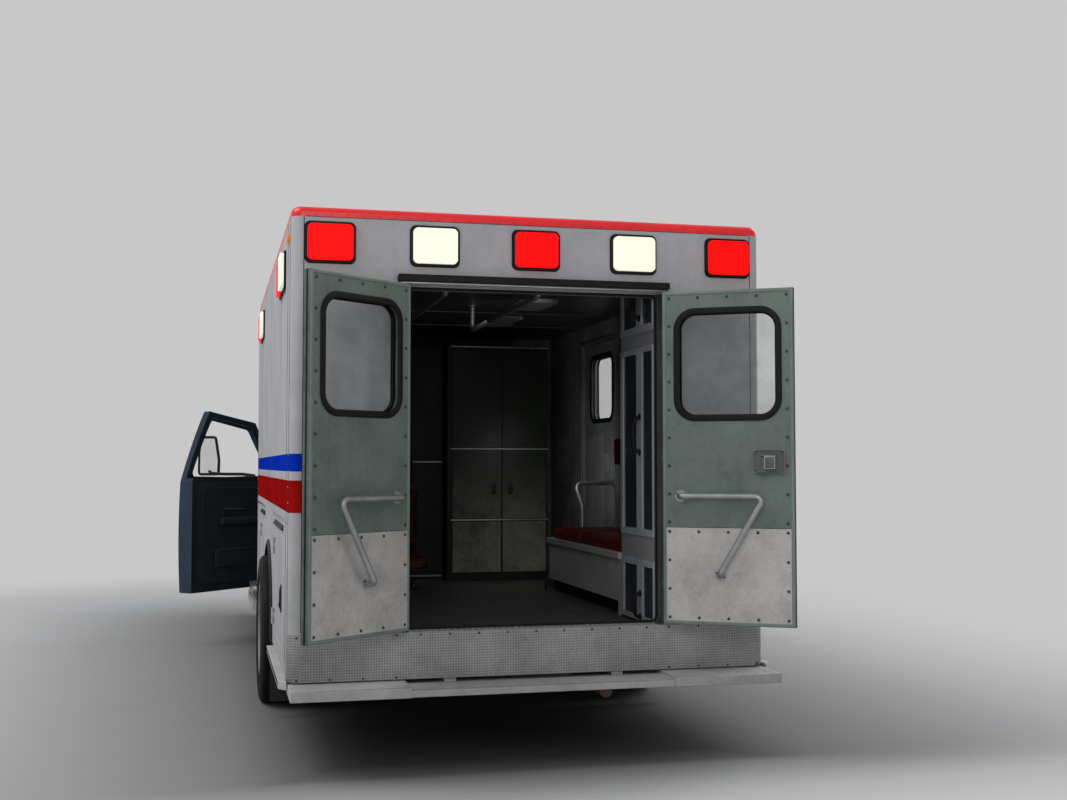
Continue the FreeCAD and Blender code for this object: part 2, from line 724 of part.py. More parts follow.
# ---------------------------------------------------------------- wheels
def tyre_outline(centre):
    """Section of a tyre: rounded shoulders as short bevels, sidewalls slightly waisted at the bead."""
    half = S.tyre_width / 2
    s = S.tyre_shoulder
    return [
        (centre - half * 0.82, S.rim_radius),
        (centre + half * 0.82, S.rim_radius),
        (centre + half * 0.82, S.rim_radius + S.rim_wall),
        (centre + half * 0.93, S.rim_radius + S.rim_wall + s * 0.5),
        (centre + half, S.rim_radius + s * 2),
        (centre + half, S.tyre_radius - s * 1.7),
        (centre + half * 0.96, S.tyre_radius - s * 0.7),
        (centre + half * 0.86, S.tyre_radius - s * 0.15),
        (centre + half * 0.74, S.tyre_radius),
        (centre - half * 0.74, S.tyre_radius),
        (centre - half * 0.86, S.tyre_radius - s * 0.15),
        (centre - half * 0.96, S.tyre_radius - s * 0.7),
        (centre - half, S.tyre_radius - s * 1.7),
        (centre - half, S.rim_radius + s * 2),
        (centre - half * 0.93, S.rim_radius + S.rim_wall + s * 0.5),
        (centre - half * 0.82, S.rim_radius + S.rim_wall),
    ]


def rim_outline(centre):
    """Section of a rim: a thin barrel with its two flanges."""
    half = S.tyre_width / 2 * 0.82
    r = S.rim_radius
    w = S.rim_wall
    return [
        (centre - half - w, r - w),
        (centre + half + w, r - w),
        (centre + half + w, r + w),
        (centre + half, r + w),
        (centre + half, r),
        (centre - half, r),
        (centre - half, r + w),
        (centre - half - w, r + w),
    ]


def disc_and_hub(face, outward, bore_end):
    """The wheel disc with its ring of holes, and the hub that turns on the spindle."""
    inner = S.spindle + S.bearing
    cap = face + outward * S.hub_out
    near = face - outward * S.rim_wall
    disc = turned([(near, inner), (face, inner), (face, S.rim_radius - S.rim_wall),
                   (near, S.rim_radius - S.rim_wall)], "disc")
    holes = []
    for index in range(8):
        angle = math.radians(45 * index + 22.5)
        place = (ordered(near - outward * 20, face + outward * 20)[0],
                 S.hand_circle * math.cos(angle), S.hand_circle * math.sin(angle))
        holes.append(drum("x", S.hand_hole, place, S.rim_wall + 40))
    hub = turned([(near - outward * S.hub_out, inner), (cap, inner), (cap, S.hub_radius * 0.8),
                  (face + outward * 10, S.hub_radius), (near - outward * S.hub_out, S.hub_radius)], "hub")
    lid = turned([(cap, 0), (cap + outward * 12, 0), (cap + outward * 12, S.hub_radius * 0.7),
                  (cap, S.hub_radius * 0.8)], "lid")
    return [cut(disc, *holes), hub, lid]


def front_wheel(side, word):
    label = f"front_{word}"
    centre = Size(0, "0")
    face = side * S.tyre_width * 0.22
    rim = fused(turned(rim_outline(centre), "rim"), *disc_and_hub(face, side, face))
    place = (side * S.front_tyre_x, FRONT_AXLE, S.tyre_radius)
    node(f"{label}_wheel", move(rim, *place))
    node(f"{label}_tyre", move(turned(tyre_outline(centre), "tyre"), *place))


def rear_wheels(side, word):
    """Twin tyres on two rims that are bolted together at their discs."""
    label = f"rear_{word}"
    shift = S.twin_outer - TWIN_DISC
    face = side * S.rim_wall / 2
    rims = [turned(rim_outline(shift), "rim"), turned(rim_outline(-shift), "rim")]
    deep = S.rim_radius - S.rim_wall * 2
    shallow = S.rim_radius - S.rim_wall
    barrel = turned([(-S.twin_gap, deep), (S.twin_gap, deep), (S.twin_gap, shallow),
                     (-S.twin_gap, shallow)], "band")
    disc = disc_and_hub(face, side, face)
    place = (side * TWIN_DISC, AXLE, S.tyre_radius)
    node(f"{label}_wheels", move(fused(*rims, barrel, *disc), *place))
    tyres = group(turned(tyre_outline(shift), "tyre"), turned(tyre_outline(-shift), "tyre"))
    node(f"{label}_tyres", move(tyres, *place))


# ---------------------------------------------------------------- hinges
REAR_HINGES = (880, 1520, 2160)
ENTRY_HINGES = (1120, 1560, 2200)
LOCKER_HINGES = (620, 1020)
CAB_HINGES = (800, 1060)

# blocks that cut the cab reach past it on every side
CAB_BEYOND = 1200
ACROSS_ALL = (-CAB_BEYOND, CAB_BEYOND)
ALONG_ALL = (-4000, 4000)
CAB_RUN = 3600
# a front wheel's liner starts here, beside the frame rail
WELL_NEAR = 500


def hinge(along, pin, face, toward, out, z, fixed, leaf=None):
    """Half a hinge on an upright pin, its leaf flat against a face.

    along is the axis that the leaf runs along, pin the pin's place on that axis, face the face's
    place on the other one, toward the direction of the door and out the direction away from the
    vehicle, each 1 or -1.  The fixed half
    has the pin and the two end barrels, the other half has the middle barrel.
    """
    centre = face + out * S.rear_pin_out if leaf is None else face
    flat = ordered(face, face + out * S.leaf_depth) if leaf is None else leaf
    reach = ordered(pin, pin + (-toward if fixed else toward) * S.hinge_leaf)
    place = (pin, centre) if along == "x" else (centre, pin)

    def plate(low, high):
        sides = (reach, flat) if along == "x" else (flat, reach)
        return box(*sides, (low, high))

    def barrel(low, high):
        return drum("z", S.hinge_barrel, (*place, low), high - low)

    if not fixed:
        low, high = z - S.hinge_middle, z + S.hinge_middle
        bore = drum("z", S.hinge_pin + S.hinge_play, (*place, low - 5), high - low + 10)
        return cut(fused(plate(low, high), barrel(low, high)), bore)
    parts = [drum("z", S.hinge_pin, (*place, z - S.hinge_half), S.hinge_half * 2)]
    inner = S.hinge_middle + 1
    for low, high in ((z - S.hinge_half, z - inner), (z + inner, z + S.hinge_half)):
        parts += [plate(low, high), barrel(low, high)]
    return fused(*parts)


def side_hinges(side, pin_y, heights, fixed):
    """Hinges of a door in a side wall, on its front edge."""
    return [hinge("y", pin_y, side * HALF, -1, side, z, fixed) for z in heights]


# ---------------------------------------------------------------- module
def posts():
    """Corner posts, round outside: four lengths of one extrusion."""
    radius = S.corner_radius
    items = []
    # numbers of a block's upright edges at (low x, low y), (low x, high y), (high x, low y)
    # and (high x, high y)
    corner_edge = {(-1, -1): 1, (-1, 1): 3, (1, -1): 5, (1, 1): 7}
    for x_side in (-1, 1):
        x = ordered(x_side * INNER, x_side * HALF)
        for y_side, y in ((-1, (REAR, INSIDE_REAR)), (1, (INSIDE_FRONT, FRONT))):
            block = box(x, y, (S.module_bottom, S.wall_top))
            items.append(rounded(block, radius, [corner_edge[x_side, y_side]]))
    node("corner_posts", group(*items))


def roof():
    inside = ((-INNER, INNER), (INSIDE_REAR, INSIDE_FRONT), (S.ceiling, S.wall_top))
    node("roof_panel", box(*inside))
    cap = soft_box((-HALF, HALF), (REAR, FRONT), (S.wall_top, S.roof_top), S.corner_radius, "z")
    doc.recompute()
    top = [index for index, edge in enumerate(cap.Shape.Edges, 1)
           if all(abs(corner.Z - float(S.roof_top)) < 0.01 for corner in edge.Vertexes)]
    node("roof_edge", rounded(cap, S.roof_edge_radius, top))


def doorway():
    """The rear doorway: the doors' seat, and the lip behind it."""
    half = S.rear_pin_x - S.pin_edge + S.door_gap
    seat = box((-half, half),
               (REAR - 10, REAR + S.rear_door_depth),
               (S.rear_door_bottom - S.door_gap, S.rear_door_top + S.door_gap))
    lip = box((-half + S.jamb_lip, half - S.jamb_lip),
              (REAR - 10, INSIDE_REAR + 10), (S.sill, S.rear_door_top + S.door_gap - S.jamb_lip))
    return seat, lip


def end_walls():
    seat, lip = doorway()
    low = S.rail_top
    rear = box((-INNER, INNER), (REAR, INSIDE_REAR), (low, S.wall_top))
    hinges = [hinge("x", side * S.rear_pin_x, REAR, -side, -1, z, True)
              for side in (-1, 1) for z in REAR_HINGES]
    node("rear_wall", fused(cut(rear, seat, lip), *hinges))
    node("front_wall", box((-INNER, INNER), (INSIDE_FRONT, FRONT), (low, S.wall_top)))


def side_range(side):
    return ordered(side * INNER, side * HALF)


def through(side):
    """The X range of a cutter that passes right through a side wall."""
    return ordered(side * (INNER - 20), side * (HALF + 20))


def locker_opening(side, start, length, grow):
    return box(through(side), (REAR + start - grow, REAR + start + length + grow),
               (S.locker_low - grow, S.locker_high + grow))


def arch(side):
    start = ordered(side * (INNER - 20), side * (HALF + 20))[0]
    return drum("x", S.arch_radius, (start, AXLE, S.tyre_radius), S.wall + 40)


def entry_shape(grow, depth):
    """The side entry door's outline, cut round the wheel at its lower rear corner."""
    plate = box(depth, (REAR + S.entry_rear - grow, REAR + S.entry_front + grow),
                (S.entry_low - grow, S.entry_high + grow))
    wheel = drum("x", S.entry_notch - grow, (depth[0] - 10, AXLE, S.tyre_radius), depth[1] - depth[0] + 20)
    return cut(plate, wheel)


def side_walls():
    for word, side in SIDES:
        wall = box(side_range(side), (INSIDE_REAR, INSIDE_FRONT), (S.module_bottom, S.wall_top))
        holes = [arch(side), locker_opening(side, S.rear_locker, S.rear_locker_length, S.door_gap)]
        if side < 0:
            holes.append(locker_opening(side, S.front_locker, S.front_locker_length, S.door_gap))
        else:
            holes.append(entry_shape(S.door_gap, through(side)))
        pins = side_hinges(side, locker_pin(S.rear_locker, S.rear_locker_length), LOCKER_HINGES, True)
        if side < 0:
            pins += side_hinges(side, locker_pin(S.front_locker, S.front_locker_length), LOCKER_HINGES, True)
        else:
            pins += side_hinges(side, REAR + S.entry_front + S.door_gap / 2, ENTRY_HINGES, True)
        node(f"{word}_side_wall", fused(cut(wall, *holes), *pins))


def locker_pin(start, length):
    return REAR + start + length + S.door_gap / 2


def door_range(side):
    """The X range of a door that lies flush with a side wall."""
    return ordered(side * (HALF - S.side_door_depth), side * HALF)


def locker_door(label, side, start, length):
    panel = box(door_range(side), (REAR + start, REAR + start + length), (S.locker_low, S.locker_high))
    node(label, fused(panel, *side_hinges(side, locker_pin(start, length), LOCKER_HINGES, False)))


def entry_door():
    low = REAR + S.entry_glass_rear
    glass_y = (low, low + S.entry_glass_length)
    glass_z = (S.entry_glass_low, S.entry_glass_low + S.entry_glass_height)
    hole = soft_box(through(1), glass_y, glass_z, S.entry_glass_radius, "x")
    panel = cut(entry_shape(0, door_range(1)), hole)
    pins = side_hinges(1, REAR + S.entry_front + S.door_gap / 2, ENTRY_HINGES, False)
    node("side_entry_door", fused(panel, *pins))
    middle = HALF - S.wall / 2
    pane = soft_box((middle, middle + S.glass), glass_y, glass_z, S.entry_glass_radius, "x")
    node("side_entry_window", pane)


def floor():
    """The floor panel with a wheel house over each pair of rear wheels."""
    panel = box((-INNER, INNER), (INSIDE_REAR, INSIDE_FRONT), (S.floor_top - S.floor_depth, S.floor_top))
    wells = []
    houses = []
    for side in (-1, 1):
        x = ordered(side * S.house_inner, side * INNER)
        outer = S.house_radius + S.house_wall
        wells.append(drum("x", outer - 1, (x[0], AXLE, S.tyre_radius), x[1] - x[0]))
        shell = drum("x", outer, (x[0], AXLE, S.tyre_radius), x[1] - x[0])
        room = ordered(side * (S.house_inner + S.house_wall), side * (INNER + 20))
        inner = drum("x", S.house_radius, (room[0], AXLE, S.tyre_radius), room[1] - room[0])
        below = box((x[0] - 20, x[1] + 20), (AXLE - outer - 20, AXLE + outer + 20),
                    (S.tyre_radius - outer - 20, S.floor_top - S.floor_depth))
        houses.append(cut(shell, inner, below))
    for x_side in (-1, 1):
        for y_side in (-1, 1):
            place = (x_side * S.cot_across / 2, REAR + S.cot_y + y_side * S.cot_along / 2,
                     S.floor_top - S.floor_depth - 10)
            wells.append(drum("z", S.cot_hole, place, S.floor_depth + 20))
    node("module_floor", fused(cut(panel, *wells), *houses))


def drip_rail():
    node("drip_rail", box((-S.rail_half, S.rail_half), (REAR - S.rail_depth, REAR),
                          (S.rail_low, S.rail_low + S.rail_height)))


def end_lamps(y_face, outward):
    """Rows of (bezel, lens, is it red) for an end wall's five lights."""
    rows = []
    for index in range(-2, 3):
        x = S.lamp_pitch * index
        rows.append((lamp_pair("y", y_face, outward, x, S.lamp_z), index % 2 == 0))
    return rows


def lamp_pair(axis, face, outward, along, z):
    """A rounded bezel on a wall and the lens that stands out of it."""
    made = []
    rim = S.bezel_rim
    for depth, inset, from_face in ((S.bezel_depth, 0, 0), (S.lens_depth, rim, S.bezel_depth)):
        across = (along - S.lamp_width / 2 + inset, along + S.lamp_width / 2 - inset)
        height = (z - S.lamp_height / 2 + inset, z + S.lamp_height / 2 - inset)
        out = ordered(face + outward * from_face, face + outward * depth)
        radius = float(S.lamp_radius) - float(inset) * 0.5
        if axis == "y":
            made.append(soft_box(across, out, height, radius, "y"))
        else:
            made.append(soft_box(out, across, height, radius, "x"))
    return made


def side_lamps():
    rows = []
    for side in (-1, 1):
        for first in (S.side_rear_lamp, S.side_front_lamp):
            for index in (0, 1):
                along = REAR + first + S.side_lamp_step * index
                rows.append((lamp_pair("x", side * HALF, side, along, S.side_lamp_z), index == 1))
    return rows


def tail_lamps():
    """Stacked lamps behind the open rear doors: the upper two red, the lowest clear."""
    red = []
    clear = []
    for side in (-1, 1):
        for index in range(3):
            x = ordered(side * (S.tail_x), side * (S.tail_x + S.tail_width))
            low = S.tail_z + S.tail_step * index
            lamp = soft_box(x, (REAR - S.tail_depth, REAR), (low, low + S.tail_height), 18, "y")
            (clear if index == 0 else red).append(lamp)
    return red, clear


def lamps():
    rows = end_lamps(REAR, -1) + end_lamps(FRONT, 1) + side_lamps()
    red, clear = tail_lamps()
    node("light_bezels", group(*[pair[0] for pair, is_red in rows]))
    node("red_lenses", group(*[pair[1] for pair, is_red in rows if is_red], *red))
    node("cream_lenses", group(*[pair[1] for pair, is_red in rows if not is_red], *clear))


def kick_panel():
    """Tread plate below the doorway, wrapped round both corners."""
    grow = S.kick_plate
    outer = soft_box((-HALF - grow, HALF + grow), (REAR - grow, REAR + S.kick_wrap + 100),
                     (S.module_bottom, S.sill), S.corner_radius + grow, "z")
    inner = soft_box((-HALF, HALF), (REAR, REAR + S.kick_wrap + 200), (S.module_bottom - 10, S.sill + 10),
                     S.corner_radius, "z")
    rest = box((-HALF - 50, HALF + 50), (REAR + S.kick_wrap, REAR + 300),
               (S.module_bottom - 10, S.sill + 10))
    node("kick_panel", cut(outer, inner, rest))


def rear_steps():
    """Side steps, the lower middle step, their brackets and the rub rails that run on along the sides."""
    near = REAR - S.kick_plate - S.step_depth
    under = REAR + S.step_back
    parts = []
    for side in (-1, 1):
        x = ordered(side * S.step_inner, side * S.step_outer)
        parts.append(box(x, (near, under), (S.step_bottom, S.step_top)))
        bracket = ordered(side * (S.rail_x - 30), side * (S.rail_x + 30))
        parts.append(box(bracket, (REAR + 20, under), (S.step_bottom, S.rail_top - S.rail_tall)))
        low, high = S.rub_bottom, S.rub_bottom + S.rub_height
        rail = free_shape(polygon(
            [(side * HALF, REAR - S.rub_bevel), (side * (HALF + S.rub_out), REAR + S.rub_bevel),
             (side * (HALF + S.rub_out), REAR + S.rub_length), (side * HALF, REAR + S.rub_length)],
            "xy", (low, high)), "rub")
        wrap = box(ordered(side * (HALF - 10), side * (HALF + S.kick_plate)),
                   (REAR - S.rub_bevel - 10, REAR + S.kick_wrap), (low - 10, high + 10))
        parts.append(cut(rail, wrap))
    parts.append(box((-S.step_inner, S.step_inner), (near + S.step_drop, under),
                     (S.step_bottom, S.step_top - S.step_drop)))
    node("rear_steps", fused(*parts))


def mud_flaps():
    y = (REAR + S.flap_y - S.flap_depth, REAR + S.flap_y)
    lower = box((S.flap_in, S.flap_out), y, (S.flap_low, S.module_bottom))
    upper = box((S.flap_in, INNER), y, (S.module_bottom, S.floor_top - S.floor_depth))
    node("mud_flaps", both(fused(lower, upper)))


# ---------------------------------------------------------------- rear doors
def rear_door(word, side):
    """A door in its own frame: the pin at the origin, the door reaching along -side, facing -Y when shut."""
    inward = -side
    near = inward * S.pin_edge
    far = inward * (S.rear_pin_x - S.door_gap / 2)
    depth = (S.rear_pin_out, S.rear_pin_out + S.rear_door_depth - S.door_gap)
    tall = (S.rear_door_bottom, S.rear_door_top)
    slab = box(ordered(near, far), depth, tall)
    middle = (near + far) / 2
    pane_x = (middle - S.rear_window_width / 2, middle + S.rear_window_width / 2)
    pane_z = (S.rear_window_top - S.rear_window_height, S.rear_window_top)
    hole = soft_box(pane_x, (depth[0] - 20, depth[1] + 20), pane_z, S.rear_window_radius, "y")
    rim = S.rear_door_border
    inner = ordered(near + inward * rim, far - inward * rim)
    face = box(inner, (depth[1] - S.rear_door_recess, depth[1] + 20), (tall[0] + rim, tall[1] - rim))
    halves = [hinge("x", Size(0, "0"), depth[0], inward, -1, z, False) for z in REAR_HINGES]
    panel = fused(cut(slab, hole, face), *halves)
    centre = (depth[0] + depth[1]) / 2
    pane = soft_box(pane_x, (centre - S.glass / 2, centre + S.glass / 2), pane_z, S.rear_window_radius, "y")
    metal = [free_shape(rear_handle(inward, depth[1] - S.rear_door_recess), "handle")]
    if side > 0:
        case_x = ordered(inward * S.latch_x, inward * (S.latch_x + S.latch_width))
        face_y = depth[1] - S.rear_door_recess
        case = soft_box(case_x, (face_y, face_y + S.latch_depth),
                        (S.latch_z, S.latch_z + S.latch_height), 12, "y")
        paddle_x = ordered(inward * (S.latch_x + 55), inward * (S.latch_x + 110))
        paddle = box(paddle_x, (face_y + S.latch_depth, face_y + S.latch_depth + 18),
                     (S.latch_z + 22, S.latch_z + 88))
        metal.append(fused(case, paddle))
    angle = S.rear_right_open if side > 0 else -S.rear_left_open
    names = (f"rear_{word}_door", f"rear_{word}_window", f"rear_{word}_handle")
    for label, thing in zip(names, (panel, pane, group(*metal))):
        node(label, turn(move(thing, side * S.rear_pin_x, REAR - S.rear_pin_out, 0), angle))


def rear_handle(inward, face):
    """The bent grab handle on the inner face: a level run, a bend and a slope, on two flanged feet."""
    out = face + S.handle_off
    points = [
        (inward * S.handle_near, face, S.handle_high),
        (inward * S.handle_near, out, S.handle_high),
        (inward * S.handle_far, out, S.handle_high),
        (inward * S.handle_foot, out, S.handle_low),
        (inward * S.handle_foot, face, S.handle_low),
    ]
    shape = tube(points, S.handle_radius, S.handle_radius * 1.8)
    for x, z in ((S.handle_near, S.handle_high), (S.handle_foot, S.handle_low)):
        start = (inward * x, face, z)
        end = (inward * x, face + 8, z)
        shape = shape.fuse(rod(start, end, S.handle_flange))
    return shape


# ---------------------------------------------------------------- cab
def nose_section(y, top, corner, inset):
    """A section across the nose: flat sides that lean in a little, rounded shoulders and a slight crown."""
    half = float(S.cab_half) - inset
    low = float(S.cab_low) - (60 if inset else 0)
    high = top - inset
    corner = corner - inset * 0.5
    crown = 22
    def at(x, z):
        return V(x, y, z)
    side_top = high - corner
    slant = corner * 0.29
    points = [
        (at(-half + 20, low), at(-half, (low + side_top) / 2), at(-half + 14, side_top)),
        (at(-half + 14, side_top), at(-half + 14 + slant, high - slant), at(-half + 14 + corner, high)),
        (at(-half + 14 + corner, high), at(0, high + crown), at(half - 14 - corner, high)),
        (at(half - 14 - corner, high), at(half - 14 - slant, high - slant), at(half - 14, side_top)),
        (at(half - 14, side_top), at(half, (low + side_top) / 2), at(half - 20, low)),
    ]
    edges = [Part.Arc(*three).toShape() for three in points]
    edges.append(Part.LineSegment(at(half - 20, low), at(-half + 20, low)).toShape())
    return Part.Wire(edges)


def plan_face(inset):
    """The cab seen from above: straight sides, rounded front corners and a slightly bowed front."""
    half = float(S.cab_half) + 20 - inset
    rear = float(REAR + S.cab_rear) - (200 if inset else 0)
    front = float(REAR + S.nose_y) - inset
    taper = float(REAR + S.cowl_y) + 150
    corner = front - 230
    edges = [
        Part.LineSegment(V(-half, rear, 0), V(-half, taper, 0)),
        Part.Arc(V(-half, taper, 0), V(-half + 26, (taper + corner) / 2, 0), V(-half + 78, corner, 0)),
        Part.Arc(V(-half + 78, corner, 0), V(-half + 150, front - 95, 0), V(-half + 290, front - 30, 0)),
        Part.Arc(V(-half + 290, front - 30, 0), V(0, front, 0), V(half - 290, front - 30, 0)),
        Part.Arc(V(half - 290, front - 30, 0), V(half - 150, front - 95, 0), V(half - 78, corner, 0)),
        Part.Arc(V(half - 78, corner, 0), V(half - 26, (taper + corner) / 2, 0), V(half, taper, 0)),
        Part.LineSegment(V(half, taper, 0), V(half, rear, 0)),
        Part.LineSegment(V(half, rear, 0), V(-half, rear, 0)),
    ]
    return Part.Face(Part.Wire([edge.toShape() for edge in edges]))


def nose(inset):
    """Fenders, hood and front of the cab in one solid, to be split into panels."""
    start = float(REAR + S.cab_pin_y + S.door_gap / 2) - (60 if inset else 0)
    belt = float(S.belt)
    stations = (
        (start, belt, 60),
        (float(REAR + S.cowl_y), belt, 60),
        (float(REAR + S.nose_y), float(S.belt - S.nose_drop), 120),
    )
    wires = [nose_section(y, top, corner, inset) for y, top, corner in stations]
    first = Part.makeLoft(wires[:2], True, True)
    second = Part.makeLoft(wires[1:], True, True)
    body = first.fuse(second)
    above = plan_face(inset).extrude(V(0, 0, 2000))
    front = float(REAR + S.nose_y)
    top = float(S.belt - S.nose_drop) + 22
    brow = polygon([(front - 200, top + 60 - inset), (front - 80 - inset, top - 22 - inset),
                    (front + 20 - inset, top - 130), (front + 60, top - 200), (front + 60, top + 60)],
                   "yz", ACROSS_ALL)
    return body.common(above).cut(brow)


def cabin_section(inset):
    """A section across the cabin, looking forward: bowed sides, a lean above the belt and a rounded roof."""
    half = float(S.cab_half) - inset
    low = float(S.cab_low) - (60 if inset else 0)
    belt = float(S.belt)
    top = float(S.cab_roof) - inset
    lean = half - 115
    eaves = float(S.cab_roof) - 135 - inset / 2
    y = float(REAR + S.cab_rear) - 300
    def at(x, z):
        return V(x, y, z)
    sides = []
    for sign in (-1, 1):
        foot = at(sign * (half - 20), low)
        waist = at(sign * (half - 14), belt)
        shoulder = at(sign * lean, eaves)
        arcs = [
            (foot, at(sign * half, (low + belt) / 2), waist),
            (waist, at(sign * (half - 52), (belt + eaves) / 2 + 5), shoulder),
            (shoulder, at(sign * (lean - 42), top - 52), at(sign * (lean - 150), top - 12)),
        ]
        sides.append([Part.Arc(*three).toShape() for three in arcs])
    roof_arc = Part.Arc(at(-lean + 150, top - 12), at(0, top + 14), at(lean - 150, top - 12)).toShape()
    base = Part.LineSegment(at(half - 20, low), at(-half + 20, low)).toShape()
    wire = Part.Wire(Part.__sortEdges__(sides[0] + [roof_arc] + sides[1] + [base]))
    return Part.Face(wire)


def cabin(inset):
    """The cabin's solid: its section, cut to the slope of the windshield."""
    body = cabin_section(inset).extrude(V(0, CAB_RUN, 0))
    rear = float(REAR + S.cab_rear) - (200 if inset else 0)
    pin = float(REAR + S.cab_pin_y)
    cowl = float(REAR + S.cowl_y) - inset * 1.2
    header = float(REAR + S.header_y) - inset * 1.2
    drop = 200 if inset else 0
    belt = float(S.belt) - drop
    high = float(S.cab_roof - S.header_drop)
    # the inner slope runs on below the belt line, parallel to the outer one
    run_on = drop * (cowl - header) / (high - float(S.belt))
    low = float(S.cab_low) - 100
    slope = polygon(
        [(rear, low), (pin, low), (pin, belt), (cowl + run_on, belt),
         (header, high), (header - 130, float(S.cab_roof) - 22), (header - 300, 2300), (rear, 2300)],
        "yz", ACROSS_ALL)
    return body.common(slope)


def door_prism(grow, side, low, high):
    """The cab door's outline seen from the side, as a prism through that side of the cab."""
    front = float(REAR + S.cab_pin_y - S.door_gap / 2)
    pin = front + grow
    back = float(REAR + S.cab_pin_y - S.cab_door_length) - grow
    roof = float(S.cab_roof)
    corners = [
        (pin, float(S.cab_low) - 100), (pin, float(S.belt) + grow * 0.3),
        (front - 450 + grow, roof - float(S.window_front_drop) + grow),
        (front - 1010 - grow, roof - float(S.window_rear_drop) + grow), (back, float(S.belt)),
        (back, float(S.cab_low) - 100),
    ]
    depth = ordered(side * 560, side * CAB_BEYOND)
    prism = polygon(corners, "yz", depth)
    return prism.common(solid_box(ACROSS_ALL, ALONG_ALL, (low, high)))


def window_prism(side):
    """The opening of a cab door's window."""
    rim = float(S.cab_frame_rim)
    pin = float(REAR + S.cab_pin_y)
    back = float(REAR + S.cab_pin_y - S.cab_door_length)
    roof = float(S.cab_roof)
    sill = float(S.belt + S.sill_rise) + 7
    corners = [(pin - rim * 1.9, sill), (pin - 450 - rim * 0.3, roof - float(S.window_front_drop) - rim),
               (pin - 1010 + rim * 0.7, roof - float(S.window_rear_drop) - rim), (back + rim, sill)]
    prism = polygon(corners, "yz", ordered(side * 560, side * CAB_BEYOND))
    along_x = [edge for edge in prism.Edges if abs(edge.tangentAt(edge.FirstParameter).x) > 0.9]
    return prism.makeFillet(42, along_x)


def windshield_zone():
    y = (REAR + S.header_y - 150, REAR + S.cowl_y + 60)
    top = float(S.cab_roof - S.header_drop) - 45
    low = float(S.belt) + 42
    half = float(S.glass_half)
    zone = polygon([(-half - 95, low), (half + 95, low), (half - 10, top), (-half + 10, top)], "xz", y)
    along_y = [edge for edge in zone.Edges if abs(edge.tangentAt(edge.FirstParameter).y) > 0.9]
    return zone.makeFillet(60, along_y)


def hood_zone(grow):
    x = S.hood_half + grow
    return solid_box((-x, x), (REAR + S.hood_rear - grow, REAR + S.hood_front + grow),
                     (S.belt - S.hood_drop, S.belt + 255))


def cab_panels():
    skin = float(S.skin)
    outer_nose = nose(0)
    outer_cabin = cabin(0)
    inner_nose = nose(skin)
    inner_cabin = cabin(skin)
    cabin_shell = outer_cabin.cut(inner_cabin).cut(inner_nose)
    pin = REAR + S.cab_pin_y
    gap = float(S.door_gap)
    for side in (-1, 1):
        cabin_shell = cabin_shell.cut(door_prism(gap, side, float(S.cab_low) - 100, 2100))
    zone = windshield_zone()
    pane = outer_cabin.cut(cabin(10)).common(zone)
    cabin_shell = cabin_shell.cut(zone)
    floor_plate = solid_box((-S.cab_half + 170, S.cab_half - 170), (REAR + S.cab_rear, pin),
                            (S.rail_top, S.cab_floor))
    toe_plate = solid_box((-480, 480), (pin, REAR + S.firewall_y - 20), (S.rail_top, S.cab_floor))
    sills = [solid_box(ordered(side * (S.cab_half - 175), side * (S.cab_half - 120)),
                       (REAR + S.cab_rear, pin), (S.cab_low + 30, S.cab_floor)) for side in (-1, 1)]
    # the pillar behind each door joins the roof to the sill
    pillars = solid_box((-S.cab_half, S.cab_half), (REAR + S.cab_rear, REAR + S.cab_rear + 100),
                        (S.cab_low, S.cab_roof)).common(outer_cabin)
    room = solid_box((-S.cab_half + 175, S.cab_half - 175),
                     (REAR + S.cab_rear - 10, REAR + S.cab_rear + 120),
                     (S.cab_low - 30, S.cab_roof - 160))
    body = cabin_shell.fuse([floor_plate, toe_plate, *sills, pillars.cut(room)])
    for side in (-1, 1):
        inner = S.cab_half - S.cab_door_depth - 15
        below_belt = solid_box(ordered(side * inner, side * CAB_BEYOND), ALONG_ALL, (0, S.belt))
        opening = door_prism(gap, side, float(S.cab_low) - 100, float(S.cab_roof) + 40)
        body = body.cut(opening.common(below_belt))
    node("cab_body", free_shape(largest(body), "cab"))
    node("windshield", free_shape(pane, "pane"))
    return outer_nose, inner_nose, outer_cabin


def largest(shape):
    """The shape without slivers that a cut left loose."""
    solids = sorted(shape.Solids, key=lambda solid: -solid.Volume)
    return solids[0]


def well_drum(side, radius, near, far):
    """A drum about a front wheel's axle line, from near to far across the vehicle."""
    start, end = ordered(side * near, side * far)
    centre = V(float(start), float(FRONT_AXLE), float(S.tyre_radius))
    return Part.makeCylinder(radius, float(end - start), centre, V(1, 0, 0))


def wheel_well(side):
    """A front wheel's liner: half a drum over the tyre, with its inner wall."""
    radius = float(S.front_arch)
    shell = well_drum(side, radius + 12, WELL_NEAR, 965)
    shell = shell.cut(well_drum(side, radius, WELL_NEAR + 10, CAB_BEYOND))
    return shell.cut(solid_box(ACROSS_ALL, ALONG_ALL, (-400, S.cab_low + 40)))


